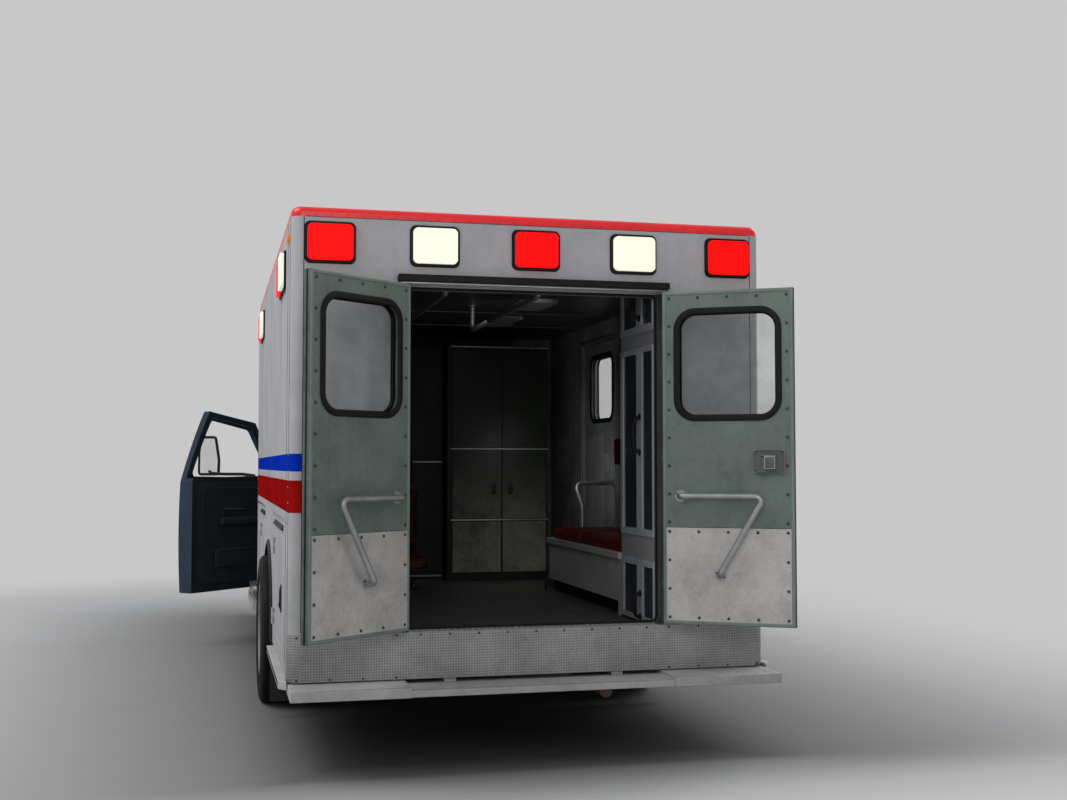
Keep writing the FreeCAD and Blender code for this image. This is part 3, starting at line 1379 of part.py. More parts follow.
def front_end(outer, inner, outer_cabin):
    shell = outer.cut(inner)
    gap = float(S.door_gap)
    # the cowl closes the nose below the windshield, and the firewall stands under it
    cowl = outer.common(solid_box(ACROSS_ALL, (REAR + S.cab_pin_y, REAR + S.hood_rear - S.door_gap),
                                  (S.belt - 40, 1500)))
    wall = outer.common(solid_box(ACROSS_ALL, (REAR + S.firewall_y - 20, REAR + S.firewall_y),
                                  (S.rail_top, S.belt - 30)))
    shell = shell.fuse([cowl, wall])
    shell = shell.cut(hood_zone(gap))
    front = float(REAR + S.nose_y)
    grille_hole = solid_box((-S.grille_half, S.grille_half), (front - 160, front + 50),
                            (S.grille_low, S.grille_high))
    lamp_holes = [solid_box(ordered(side * S.lamp_in, side * S.lamp_out), (front - 300, front + 50),
                            (S.grille_low, S.grille_high)) for side in (-1, 1)]
    fascia = shell.cut(grille_hole)
    for hole in lamp_holes:
        fascia = fascia.cut(hole)
    lip = outer.common(solid_box(ACROSS_ALL, (front - 400, front + 50), (S.cab_low, S.grille_low)))
    lip = lip.cut(inner.common(solid_box(ACROSS_ALL, ALONG_ALL, (0, 2000))))
    fascia = fascia.fuse(lip).cut(outer_cabin).cut(bumper_brackets(S.fit))
    for side in (-1, 1):
        fascia = fascia.cut(well_drum(side, float(S.front_arch), WELL_NEAR, CAB_BEYOND))
        fascia = fascia.fuse(wheel_well(side).common(outer))
        fascia = fascia.fuse([cab_hinge(side, z, True) for z in CAB_HINGES])
    fascia = fascia.fuse([hood_hinge(x, True) for x in HOOD_HINGES])
    node("front_fenders", free_shape(largest(fascia), "fenders"))
    hood = largest(outer.cut(nose(24)).common(hood_zone(0)))
    node("hood", free_shape(hood.fuse([hood_hinge(x, False) for x in HOOD_HINGES]), "hood"))
    lens = outer.cut(nose(30))
    node("headlamps", free_shape(Part.makeCompound([lens.common(hole) for hole in lamp_holes]), "lens"))
    bars = outer.cut(nose(70)).common(grille_hole)
    node("grille", free_shape(grille_slats(bars), "bars"))


HOOD_HINGES = (-600, 600)


def hood_hinge(x, fixed):
    """Half a hinge of the hood, on a level pin along its rear edge."""
    y = float(REAR + S.hood_rear - S.door_gap / 2)
    z = float(S.belt + S.hood_pin_rise)
    pin, barrel, play = float(S.hinge_pin), float(S.hinge_barrel), float(S.hinge_play)
    half, middle, leaf = float(S.hinge_half), float(S.hinge_middle), float(S.hinge_leaf)

    def sleeve(low, high):
        tube_part = Part.makeCylinder(barrel, high - low, V(x + low, y, z), V(1, 0, 0))
        reach = (y - leaf, y) if fixed else (y, y + leaf)
        return tube_part.fuse(solid_box((x + low, x + high), reach, (z - 42, z - barrel + 4)))

    if not fixed:
        bore = Part.makeCylinder(pin + play, 200, V(x - 100, y, z), V(1, 0, 0))
        return sleeve(-middle, middle).cut(bore)
    shape = Part.makeCylinder(pin, half * 2, V(x - half, y, z), V(1, 0, 0))
    return shape.fuse([sleeve(-half, -middle - 1), sleeve(middle + 1, half)])


def cab_hinge(side, z, fixed, origin=None):
    """Half a cab door's hinge, in the vehicle's frame or, with the pin at the origin, the door's."""
    x, y = (side * float(S.cab_pin_x), float(REAR + S.cab_pin_y)) if origin is None else origin
    leaf = ordered(x - side * 20, x - side * (float(S.hinge_barrel) - 4))
    thing = hinge("y", Size(y, f"({y})"), Size(x, f"({x})"), -1, side, z, fixed, leaf)
    doc.recompute()
    return thing.Shape.copy()


def grille_slats(block):
    """Level slats in a frame, with a middle post."""
    low = float(S.grille_low)
    high = float(S.grille_high)
    pitch = (high - low) / 6
    half = float(S.grille_half)
    for index in range(6):
        base = low + pitch * index + pitch * 0.28
        slot = (base, base + pitch * 0.5)
        for x in ((-half + 22, -14), (14, half - 22)):
            y = (REAR + S.nose_y - 200, REAR + S.nose_y + 60)
            block = block.cut(solid_box(x, y, slot))
    return block


def front_bumper():
    """A bowed bar that follows the front in plan, with its two brackets."""
    shift = V(0, float(S.bumper_out), 0)
    low, high = float(S.bumper_low), float(S.bumper_high)
    outer = plan_face(-30).translated(shift)
    inner = plan_face(-8)
    bar = outer.extrude(V(0, 0, high - low)).cut(inner.extrude(V(0, 0, high - low)))
    bar = bar.translated(V(0, 0, low)).common(
        solid_box(ACROSS_ALL, (REAR + S.nose_y - 230, REAR + S.nose_y + 200), (low, high)))
    long_edges = [edge for edge in bar.Edges
                  if abs(edge.BoundBox.ZLength) < 0.01 and edge.Length > 300 and edge.BoundBox.YMax
                  > float(REAR + S.nose_y + S.bumper_out)]
    bar = bar.makeFillet(22, long_edges)
    node("front_bumper", free_shape(bar.fuse(bumper_brackets(0)).removeSplitter(), "bumper"))


def bumper_brackets(grow):
    """The two brackets from the rails' ends to the bumper."""
    height = (S.rail_top - S.rail_tall - grow, S.rail_top + grow)
    y = (REAR + S.rail_front, REAR + S.nose_y + S.bumper_out - 20)
    inner, outer = (S.rail_x - 30 - grow, S.rail_x + 30 + grow)
    return Part.makeCompound([
        solid_box(ordered(side * inner, side * outer), y, height) for side in (-1, 1)])


def cab_door(word, side):
    """A door cut from the cab's own surface, thick below the belt and slim round the window."""
    outer = cabin(0)
    deep = float(S.cab_door_depth)
    slim = float(S.cab_frame_depth)
    low = float(S.cab_low)
    sill = float(S.belt + S.sill_rise)
    high = float(S.cab_roof) + 40
    overlap = 10
    base = outer.cut(cabin(deep)).common(door_prism(0, side, low, sill))
    flank = ordered(side * (float(S.cab_half) - deep), side * CAB_BEYOND)
    base = base.common(solid_box(flank, ALONG_ALL, (low, sill)))
    top = outer.cut(cabin(slim)).common(door_prism(0, side, sill - overlap, high))
    flank = ordered(side * (float(S.cab_half) - 300), side * CAB_BEYOND)
    top = top.common(solid_box(flank, ALONG_ALL, (sill - overlap, high)))
    shape = base.fuse(top).cut(window_prism(side)).removeSplitter()
    pin = V(side * float(S.cab_pin_x), float(REAR + S.cab_pin_y), 0)
    panel = settled(largest(shape), -pin)
    panel = panel.fuse([cab_hinge(side, z, False, (0, 0)) for z in CAB_HINGES])
    thing = free_shape(panel, "door")
    place = (side * S.cab_pin_x, REAR + S.cab_pin_y, 0)
    node(f"cab_{word}_door", turn(move(thing, *place), side * S.cab_open))
    mirror = free_shape(mirror_shape(side).cut(panel), "mirror")
    node(f"{word}_mirror", turn(move(mirror, *place), side * S.cab_open))


def mirror_shape(side):
    """The mirror head and its arm, in the door's own frame with the pin at the origin."""
    out = side * S.mirror_out
    x = ordered(out - side * S.mirror_width / 2, out + side * S.mirror_width / 2)
    y = (-S.mirror_back - S.mirror_depth / 2, -S.mirror_back + S.mirror_depth / 2)
    low = S.belt + S.mirror_rise
    arm_z = S.belt + S.mirror_arm_rise
    z = (low, low + S.mirror_height)
    head = solid_box(x, y, z)
    head = head.makeFillet(float(S.mirror_radius),
                           [edge for edge in head.Edges if abs(edge.tangentAt(edge.FirstParameter).y) > 0.9])
    front = [edge for edge in head.Edges if abs(edge.BoundBox.YLength) < 0.01
             and abs(edge.BoundBox.YMax - float(y[1])) < 0.01]
    head = head.makeFillet(24, front)
    arm = tube([(side * -20, -S.mirror_back, arm_z), (out, -S.mirror_back, arm_z),
                (out, -S.mirror_back, low + 20)], S.mirror_arm, S.mirror_arm * 2)
    foot = solid_box(ordered(side * -40, side * -8), (-S.mirror_back - 50, -S.mirror_back + 50),
                     (arm_z - 25, arm_z + 25))
    return head.fuse([arm, foot])


def running_boards():
    half = S.cab_half
    items = []
    board = box((half - 20, half - 20 + S.board_half), (REAR + S.board_rear, REAR + S.board_front),
                (S.board_top - S.board_depth, S.board_top))
    arms = []
    for along in (S.board_rear + 200, S.board_front - 300):
        y = (REAR + along, REAR + along + 60)
        arms.append(box((S.rail_x - 30, half), y, (S.board_top - 50, S.board_top - 10)))
        arms.append(box((S.rail_x - 30, S.rail_x + 30), y, (S.board_top - 50, S.rail_top - S.rail_tall)))
    items.append(fused(board, *arms))
    node("running_boards", both(items[0]))


def seats():
    """Two cab seats and the attendant's seat, each a base, a cushion and a backrest."""
    made = []
    for side in (-1, 1):
        x = side * S.cab_seat_x
        wide = (x - S.cab_seat_half, x + S.cab_seat_half)
        rear = REAR + S.cab_seat_rear
        cushion = soft_box(wide, (rear, rear + S.cab_seat_length),
                           (S.cab_seat_z - 120, S.cab_seat_z), 30, "x")
        back = soft_box(wide, (rear - 110, rear + 10), (S.cab_seat_z - 120, S.cab_seat_high), 40, "x")
        base = box((x - 190, x + 190), (rear + 60, rear + 420), (S.cab_floor, S.cab_seat_z - 120))
        made.append(fused(cushion, back, base))
    wide = (S.attendant_x - S.attendant_half, S.attendant_x + S.attendant_half)
    front = REAR + S.attendant_rear
    back_y = front + S.attendant_length
    cushion = soft_box(wide, (front, back_y), (S.seat_z - S.seat_pad, S.seat_z), 28, "x")
    back = soft_box(wide, (back_y - 20, back_y + 90), (S.seat_z - S.seat_pad, S.attendant_high), 34, "x")
    post = drum("z", 60, (S.attendant_x, front + 240, S.floor_top), S.seat_z - S.seat_pad - S.floor_top)
    foot = box((S.attendant_x - 170, S.attendant_x + 170), (front + 80, front + 400),
               (S.floor_top, S.floor_top + 40))
    made.append(fused(cushion, back, post, foot))
    node("seats", group(*made))


def dashboard():
    """The dashboard with its steering column and wheel."""
    top = S.belt - S.dash_drop
    low = top - S.dash_height
    dash = polygon([(S.dash_rear, low + 60), (S.dash_rear + 60, low),
                    (S.firewall_y - 20, low), (S.firewall_y - 20, top),
                    (S.dash_rear + 130, top), (S.dash_rear + 30, top - 40)],
                   "yz", (-S.dash_half, S.dash_half)).translated(V(0, float(REAR), 0))
    centre = V(float(S.wheel_x), float(REAR + S.wheel_y), float(S.belt - S.wheel_drop))
    along = V(0, 0.83, -0.56)
    rim = Part.makeTorus(float(S.wheel_radius), float(S.wheel_tube), centre, along)
    hub = Part.makeCylinder(48, 60, centre, along)
    column = Part.makeCylinder(32, 330, centre, along)
    spokes = []
    across = V(1, 0, 0)
    down = along.cross(across)
    for way in (across, -across, down):
        spokes.append(Part.makeCylinder(11, float(S.wheel_radius), centre + along * 20, way))
    shape = dash.fuse([rim, hub, column, *spokes])
    node("dashboard", free_shape(shape, "dash"))


# ---------------------------------------------------------------- inside the module
def right_cabinet():
    """The tall cabinet beside the rear door: a frame with glass panels set back in its aisle face."""
    y = (INSIDE_REAR, REAR + S.cabinet_front)
    body = box((S.aisle, INNER), y, (S.floor_top, S.ceiling))
    levels = ((S.floor_top + 40, 945), (1098 + 44, 2082), (2230, S.ceiling - 20))
    panels = []
    for low, high in levels:
        for near, far in ((y[0] + 20, REAR + 250), (REAR + 346, y[1] - 50)):
            panels.append(box((S.aisle - 10, S.aisle + S.cabinet_recess), (near, far), (low, high)))
    node("right_cabinet", cut(body, *panels))


def wheel_space(side):
    outer = S.house_radius + S.house_wall + S.fit
    x = ordered(side * (S.house_inner - S.fit), side * (INNER + 20))
    return drum("x", outer, (x[0], AXLE, S.tyre_radius), x[1] - x[0])


def squad_bench():
    y = (REAR + S.bench_rear, REAR + S.bench_front)
    body = rounded(box((S.aisle, INNER), y, (S.floor_top, S.bench_lid_low)), S.bench_radius, [3])
    lid = rounded(box((S.aisle - S.bench_lid_out, INNER), y, (S.bench_lid_low, S.bench_lid_top)),
                  S.bench_radius, [3])
    toe = box((S.aisle - 10, S.aisle + S.toe_depth), (y[0] + 60, y[1] + 10),
              (S.floor_top - 1, S.floor_top + S.toe_height))
    node("squad_bench", cut(fused(body, lid), toe, wheel_space(1)))


def bench_cushions():
    """Two seat cushions and the backrest on the wall."""
    made = []
    middle = REAR + S.cushion_split
    spans = ((REAR + S.bench_rear + 8, middle - S.cushion_gap / 2),
             (middle + S.cushion_gap / 2, REAR + S.bench_front - S.cushion_clear))
    for span in spans:
        pad = box((S.aisle - 4, INNER - 30), span, (S.bench_lid_top, S.cushion_top))
        made.append(rounded(pad, S.cushion_radius, EDGES["z"] + (2, 6, 10, 12)))
    back = box((INNER - S.backrest_depth, INNER), (REAR + S.bench_rear + 60, REAR + S.bench_front - 40),
               (S.backrest_low, S.backrest_high))
    made.append(rounded(back, S.cushion_radius, (1, 3)))
    node("bench_cushions", group(*made))


def front_cabinet():
    """The cabinet at the front of the aisle and the narrower panel on its left."""
    main = box((S.front_cabinet_left, S.front_cabinet_right), (REAR + S.front_cabinet_y, INSIDE_FRONT),
               (S.floor_top, S.front_cabinet_high))
    panel = box((S.side_panel_left, S.front_cabinet_left), (REAR + S.side_panel_y, INSIDE_FRONT),
                (S.floor_top, S.front_cabinet_high))
    node("front_cabinet", fused(main, panel))


def left_cabinets():
    """The counter and the wall cabinets of the left side."""
    counter = box((-INNER, -INNER + S.counter_depth), (INSIDE_REAR, REAR + S.counter_front),
                  (S.floor_top, S.counter_top))
    upper = box((-INNER, -INNER + S.shelf_depth), (INSIDE_REAR, REAR + S.shelf_front),
                (S.shelf_low, S.ceiling))
    node("left_cabinets", group(cut(counter, wheel_space(-1)), upper))


def grab_rails():
    made = []
    drop = S.ceiling
    for x, front in ((S.grab_right_x, S.grab_front), (S.grab_left_x, S.grab_front + 500)):
        rear = REAR + S.grab_rear
        ahead = REAR + front
        points = [(x, rear, drop), (x, rear, S.grab_z), (x, ahead, S.grab_z), (x, ahead, drop)]
        shape = tube(points, S.grab_radius, S.grab_radius * 2.2)
        for y in (rear, ahead):
            shape = shape.fuse(rod((x, y, drop - 6), (x, y, drop), S.handle_flange))
        made.append(shape)
    end = REAR + S.bench_front
    foot = (S.aisle + 235, end - 50)
    top = S.bench_lid_top + S.bench_bar_rise
    points = [(INNER - 4, end + 60, top), (S.aisle + 205, end + 20, top - 5),
              (*foot, top - 160), (*foot, S.bench_lid_top)]
    flange = rod((INNER - 8, end + 60, top), (INNER, end + 60, top), S.handle_flange)
    made.append(tube(points, S.grab_radius, S.grab_radius * 3).fuse(flange))
    node("grab_rails", free_shape(Part.makeCompound(made), "rails"))


# ---------------------------------------------------------------- assembly
def build():
    frame()
    rear_axle()
    front_axle()
    engine()
    for word, side in SIDES:
        node(f"{word}_knuckle", knuckle(side))
        front_wheel(side, word)
        rear_wheels(side, word)
    floor()
    posts()
    end_walls()
    side_walls()
    roof()
    locker_door("left_rear_locker", -1, S.rear_locker, S.rear_locker_length)
    locker_door("left_front_locker", -1, S.front_locker, S.front_locker_length)
    locker_door("right_rear_locker", 1, S.rear_locker, S.rear_locker_length)
    entry_door()
    drip_rail()
    lamps()
    kick_panel()
    rear_steps()
    mud_flaps()
    for word, side in SIDES:
        rear_door(word, side)
    panels = cab_panels()
    front_end(*panels)
    front_bumper()
    for word, side in SIDES:
        cab_door(word, side)
    running_boards()
    seats()
    dashboard()
    right_cabinet()
    squad_bench()
    bench_cushions()
    front_cabinet()
    left_cabinets()
    grab_rails()


def check_and_write():
    doc.recompute()
    for thing in doc.Objects:
        if "Invalid" in thing.State or "Error" in thing.State:
            raise ValueError(f"{thing.Name} ({thing.Label}) did not build: {thing.State}")
    os.makedirs("parts", exist_ok=True)
    for label, thing in nodes.items():
        shape = thing.Shape
        if shape.isNull() or not shape.isValid() or not shape.Solids:
            raise ValueError(f"{label} is not a valid solid")
        shape.exportStep(f"parts/{label}.step")
    print(len(nodes), "nodes written")


build()
check_and_write()
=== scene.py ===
"""Finish and fittings of a box-bodied ambulance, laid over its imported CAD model.

Metres, +X to the vehicle's right, +Y forward, +Z up, with the ground at z = 0.
"""

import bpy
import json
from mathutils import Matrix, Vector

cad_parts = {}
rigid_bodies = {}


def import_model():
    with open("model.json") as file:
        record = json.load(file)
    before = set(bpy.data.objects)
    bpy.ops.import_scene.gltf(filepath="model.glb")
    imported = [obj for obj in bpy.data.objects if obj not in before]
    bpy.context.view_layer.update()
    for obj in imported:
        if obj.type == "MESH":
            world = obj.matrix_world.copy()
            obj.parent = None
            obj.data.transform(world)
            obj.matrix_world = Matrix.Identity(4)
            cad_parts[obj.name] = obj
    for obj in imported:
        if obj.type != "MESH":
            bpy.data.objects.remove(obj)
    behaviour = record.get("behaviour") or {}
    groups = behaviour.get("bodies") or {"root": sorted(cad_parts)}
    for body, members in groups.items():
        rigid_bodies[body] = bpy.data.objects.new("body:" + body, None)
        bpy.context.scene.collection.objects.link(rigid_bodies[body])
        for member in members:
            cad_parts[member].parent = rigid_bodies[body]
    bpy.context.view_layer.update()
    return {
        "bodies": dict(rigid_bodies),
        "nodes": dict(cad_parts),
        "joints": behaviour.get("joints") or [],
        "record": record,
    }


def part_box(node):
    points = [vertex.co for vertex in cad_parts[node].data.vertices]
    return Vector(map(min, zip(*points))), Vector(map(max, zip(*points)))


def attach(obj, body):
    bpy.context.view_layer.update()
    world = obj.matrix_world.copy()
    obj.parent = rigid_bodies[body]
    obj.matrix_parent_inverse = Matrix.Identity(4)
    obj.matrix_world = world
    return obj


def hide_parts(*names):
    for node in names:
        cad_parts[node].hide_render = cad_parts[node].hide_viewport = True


bl_info = {
    "name": "Box-bodied ambulance",
    "version": (1, 0, 0),
    "blender": (4, 5, 0),
    "location": "3D View > Sidebar > Ambulance",
    "description": "Builds the paintwork, doors, lights, furniture and trim of a box-bodied ambulance",
    "category": "Add Mesh",
}

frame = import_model()

import json
import math

import bmesh
import bpy
from mathutils import Matrix, Vector
from mathutils.bvhtree import BVHTree

JOINTS = {joint["name"]: joint for joint in frame["joints"]}
POSTS_LOW, POSTS_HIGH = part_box("corner_posts")
HALF = POSTS_HIGH.x
REAR = POSTS_LOW.y
FRONT = POSTS_HIGH.y
WALL = 0.07
INNER = HALF - WALL
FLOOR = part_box("squad_bench")[0].z
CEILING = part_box("roof_panel")[0].z
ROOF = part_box("roof_edge")[1].z
SIDES = (("left", -1), ("right", 1))
TREAD_LIFT = 0.0012
DOORWAY = 0.672
DOORWAY_TOP = 2.368
REAR_AXLE = REAR + 2.1
FRONT_AXLE = REAR + 6.1
TYRE_RADIUS = 0.455
TYRE_WIDTH = 0.225
# the rear steps: inner and outer ends, tops and depth behind the kick panel
STEP_INNER, STEP_OUTER = 0.656, 1.22
STEP_TOP, MIDDLE_STEP_TOP = 0.435, 0.42
STEP_DEPTH = 0.223
PEDESTAL = REAR + 2.62
DASH_FACE = REAR + 5.43
AHEAD_OF_CAB = REAR + 6.6
MARK = (0.002, 0.0056, TREAD_LIFT)
RIVET_RADIUS = 0.0042
LEFT, RIGHT = (-1, 0, 0), (1, 0, 0)
BACK, FORWARD = (0, -1, 0), (0, 1, 0)
DOWN, UP = (0, 0, -1), (0, 0, 1)


# ---------------------------------------------------------------- sizes and colours that a user may change
def length(name, text, value, low=0.0005, high=3.0):
    return bpy.props.FloatProperty(name=name, description=text, default=value, min=low, max=high,
                                   subtype="DISTANCE", unit="LENGTH", precision=4)


def paint(name, text, colour):
    return bpy.props.FloatVectorProperty(name=name, description=text, default=colour, size=3, min=0.0, max=1.0,
                                         subtype="COLOR")


class AmbulanceSizes(bpy.types.PropertyGroup):
    """Sizes of the fittings."""

    screw: length("Screw head", "Radius of a panel screw's head", 0.0078)
    tread_pitch: length("Tread pitch", "Spacing of the raised marks of the tread plate", 0.013)
    gasket: length("Gasket", "Width of a window's rubber surround", 0.024)
    blue_low: length("Blue band, lower edge", "Height above the ground", 1.45)
    blue_high: length("Blue band, upper edge", "Height above the ground", 1.536)
    red_low: length("Red band, lower edge", "Height above the ground", 1.25)
    red_high: length("Red band, upper edge", "Height above the ground", 1.407)
    kick_height: length("Kick plate", "Height of the plate on a rear door", 0.485)
    tread_groove: length("Tyre groove", "Width of the gap between two tread blocks", 0.012)


class AmbulanceColours(bpy.types.PropertyGroup):
    """Colours of the finishes."""

    body: paint("Body paint", "Walls and cab", (0.455, 0.455, 0.47))
    blue: paint("Blue band", "Upper band round the vehicle", (0.004, 0.032, 0.46))
    red: paint("Red band", "Lower band round the vehicle", (0.33, 0.006, 0.006))
    roof: paint("Roof red", "Cap of the module", (0.68, 0.008, 0.012))
    door: paint("Door green", "Inner faces of the rear doors", (0.135, 0.175, 0.152))
    cab_lining: paint("Cab lining", "Inner faces of the cab doors", (0.014, 0.019, 0.025))
    cab_edge: paint("Cab door edge", "Edges and window frames of the cab doors", (0.04, 0.062, 0.092))
    vinyl: paint("Red vinyl", "Cushions", (0.08, 0.004, 0.006))
    laminate: paint("Laminate", "Ceiling and walls inside the module", (0.085, 0.092, 0.086))
    floor: paint("Floor sheet", "Floor of the module", (0.028, 0.029, 0.031))
    lens_red: paint("Red lens", "Warning lights", (0.95, 0.004, 0.004))
    lens_cream: paint("Cream lens", "Warning lights", (0.93, 0.94, 0.74))


# ---------------------------------------------------------------- shader helpers
class Board:
    """A node tree being wired: each call makes a node, sets its inputs and hands back its first output."""

    def __init__(self, tree):
        self.tree = tree

    def node(self, kind, inputs=None, **fields):
        made = self.tree.nodes.new(kind)
        for field, value in fields.items():
            setattr(made, field, value)
        for key, value in (inputs or {}).items():
            socket = made.inputs[key]
            if isinstance(value, bpy.types.NodeSocket):
                self.tree.links.new(value, socket)
            else:
                socket.default_value = value
        return made

    def __call__(self, kind, inputs=None, **fields):
        made = self.node(kind, inputs, **fields)
        return next(socket for socket in made.outputs if socket.enabled)

    def maths(self, operation, first, second=0.0, third=0.0, clamp=False):
        return self("ShaderNodeMath", {0: first, 1: second, 2: third}, operation=operation, use_clamp=clamp)

    def mix(self, factor, first, second):
        return self.node("ShaderNodeMix", {0: factor, 6: first, 7: second}, data_type="RGBA").outputs[2]

    def span(self, value, low, high, to_low=0.0, to_high=1.0):
        return self("ShaderNodeMapRange", {0: value, 1: low, 2: high, 3: to_low, 4: to_high})

    def noise(self, vector, scale, detail=3.0, rough=0.55):
        return self("ShaderNodeTexNoise", {"Vector": vector, "Scale": scale, "Detail": detail, "Roughness": rough})

    def stretched(self, vector, x, y, z):
        return self("ShaderNodeVectorMath", {0: vector, 1: (x, y, z)}, operation="MULTIPLY")

    def place(self):
        return self.node("ShaderNodeTexCoord").outputs["Object"]

    def split(self, vector):
        return self.node("ShaderNodeSeparateXYZ", {0: vector}).outputs


def rgba(colour):
    return (*tuple(colour)[:3], 1.0)


def shade(colour, factor):
    """A colour made darker or brighter."""
    return tuple(min(1.0, channel * factor) for channel in colour)


def shader_group(name, inputs, outputs):
    """An empty shader group with its sockets; returns its board and its input and output nodes."""
    tree = bpy.data.node_groups.new(name, "ShaderNodeTree")
    kinds = {"colour": "NodeSocketColor", "value": "NodeSocketFloat", "vector": "NodeSocketVector"}
    for label, kind, default in inputs:
        socket = tree.interface.new_socket(name=label, in_out="INPUT", socket_type=kinds[kind])
        socket.default_value = default
    for label, kind in outputs:
        tree.interface.new_socket(name=label, in_out="OUTPUT", socket_type=kinds[kind])
    board = Board(tree)
    entry = board.node("NodeGroupInput")
    leave = board.node("NodeGroupOutput")
    return board, entry.outputs, leave.inputs


def feed(board, value, socket):
    board.tree.links.new(value, socket)


def weathering_group():
    """Cloudy dirt, runs down upright faces and road dust near the ground."""
    board, entry, leave = shader_group(
        "Weathering",
        (("Colour", "colour", rgba((0.5, 0.5, 0.5))), ("Dirt", "colour", rgba((0.09, 0.08, 0.07))),
         ("Clouds", "value", 0.25), ("Runs", "value", 0.15), ("Dust height", "value", 0.7),
         ("Dust", "value", 0.35), ("Scale", "value", 1.0)),
        (("Colour", "colour"), ("Mask", "value"), ("Height", "value")))
    spot = board.place()
    scale = entry["Scale"]
    cloud = board.span(board.noise(spot, board.maths("MULTIPLY", scale, 2.3), 5.0, 0.62), 0.38, 0.68)
    fine = board.span(board.noise(spot, board.maths("MULTIPLY", scale, 21.0), 4.0, 0.6), 0.42, 0.72)
    runs = board.span(board.noise(board.stretched(spot, 16.0, 16.0, 0.8), scale, 4.0, 0.6), 0.5, 0.78)
    height = board.split(spot)[2]
    low = board.maths("SUBTRACT", 1.0, board.maths("DIVIDE", height, entry["Dust height"]), clamp=True)
    speckle = board.span(board.noise(spot, 90.0, 2.0), 0.3, 0.7, 0.6, 1.1)
    dust = board.maths("MULTIPLY", board.maths("MULTIPLY", low, entry["Dust"]), speckle)
    clouds = board.maths("MULTIPLY", board.maths("MULTIPLY_ADD", fine, 0.45, cloud), entry["Clouds"])
    streaks = board.maths("MULTIPLY", runs, entry["Runs"])
    mask = board.maths("ADD", board.maths("ADD", clouds, streaks), dust, clamp=True)
    feed(board, board.mix(mask, entry["Colour"], entry["Dirt"]), leave["Colour"])
    feed(board, mask, leave["Mask"])
    feed(board, board.maths("MULTIPLY_ADD", fine, 0.5, board.noise(spot, 260.0, 2.0)), leave["Height"])
    return board.tree


def bands_group():
    """The two bands round the vehicle, by height, with slightly worn edges."""
    board, entry, leave = shader_group(
        "Bands",
        (("Paint", "colour", rgba((0.5, 0.5, 0.5))), ("Blue", "colour", rgba((0.0, 0.02, 0.3))),
         ("Red", "colour", rgba((0.4, 0.0, 0.0))), ("Blue low", "value", 1.45), ("Blue high", "value", 1.536),
         ("Red low", "value", 1.25), ("Red high", "value", 1.407)),
        (("Colour", "colour"),))
    spot = board.place()
    wobble = board.maths("MULTIPLY_ADD", board.noise(spot, 60.0, 2.0), 0.002, -0.001)
    fade = board.span(board.noise(spot, 3.0, 4.0), 0.35, 0.65, 0.0, 0.22)
    height = board.maths("ADD", board.split(spot)[2], wobble)

    def between(low, high):
        above = board.maths("GREATER_THAN", height, low)
        below = board.maths("LESS_THAN", height, high)
        return board.maths("MULTIPLY", above, below)

    blue = between(entry["Blue low"], entry["Blue high"])
    red = between(entry["Red low"], entry["Red high"])
    black = rgba((0.0, 0.0, 0.0))
    first = board.mix(blue, entry["Paint"], board.mix(fade, entry["Blue"], black))
    feed(board, board.mix(red, first, board.mix(fade, entry["Red"], black)), leave["Colour"])
    return board.tree


def edge_group():
    """Wear: bright along sharp edges, broken up by noise."""
    board, entry, leave = shader_group(
        "Edge wear", (("Reach", "value", 0.004), ("Amount", "value", 0.6)), (("Mask", "value"),))
    soft = board.node("ShaderNodeBevel", {"Radius": 0.004}, samples=2)
    sharp = board.node("ShaderNodeNewGeometry")
    turn = board.node("ShaderNodeVectorMath", {0: soft.outputs[0], 1: sharp.outputs["Normal"]},
                      operation="DOT_PRODUCT").outputs["Value"]
    edge = board.span(turn, 0.995, 0.9)
    rough = board.span(board.noise(board.place(), 34.0, 4.0), 0.42, 0.62)
    feed(board, board.maths("MULTIPLY", board.maths("MULTIPLY", edge, rough), entry["Amount"]), leave["Mask"])
    return board.tree


def grain_group():
    """Fine scratches along one axis, for rolled or brushed metal."""
    board, entry, leave = shader_group(
        "Grain", (("Stretch", "vector", (1.0, 1.0, 60.0)), ("Scale", "value", 12.0)),
        (("Shade", "value"), ("Height", "value")))
    spot = board("ShaderNodeVectorMath", {0: board.place(), 1: entry["Stretch"]}, operation="MULTIPLY")
    fine = board.noise(spot, entry["Scale"], 4.0, 0.7)
    feed(board, board.span(fine, 0.3, 0.7), leave["Shade"])
    feed(board, fine, leave["Height"])
    return board.tree


def pebble_group():
    """Moulded or embossed grain: small cells with soft edges."""
    board, entry, leave = shader_group("Pebble", (("Scale", "value", 400.0),),
                                       (("Height", "value"), ("Shade", "value")))
    cells = board.node("ShaderNodeTexVoronoi", {"Vector": board.place(), "Scale": entry["Scale"]},
                       feature="SMOOTH_F1").outputs["Distance"]
    wide = board.noise(board.place(), 7.0, 3.0)
    feed(board, cells, leave["Height"])
    feed(board, board.span(wide, 0.3, 0.7), leave["Shade"])
    return board.tree


GROUPS = {}


def grouped(board, name, inputs):
    return board.node("ShaderNodeGroup", inputs, node_tree=GROUPS[name]).outputs


def with_groups():
    """Builds each shared group once."""
    for name, build in (("weathering", weathering_group), ("bands", bands_group), ("edge", edge_group),
                        ("grain", grain_group), ("pebble", pebble_group)):
        GROUPS[name] = build()


FINISHES = {}


def begin(name):
    """A new material: returns its board and its Principled shader's inputs."""
    material = bpy.data.materials.new(name)
    material.use_nodes = True
    board = Board(material.node_tree)
    shader = next(node for node in material.node_tree.nodes if node.type == "BSDF_PRINCIPLED")
    FINISHES[name] = material
    return board, shader.inputs


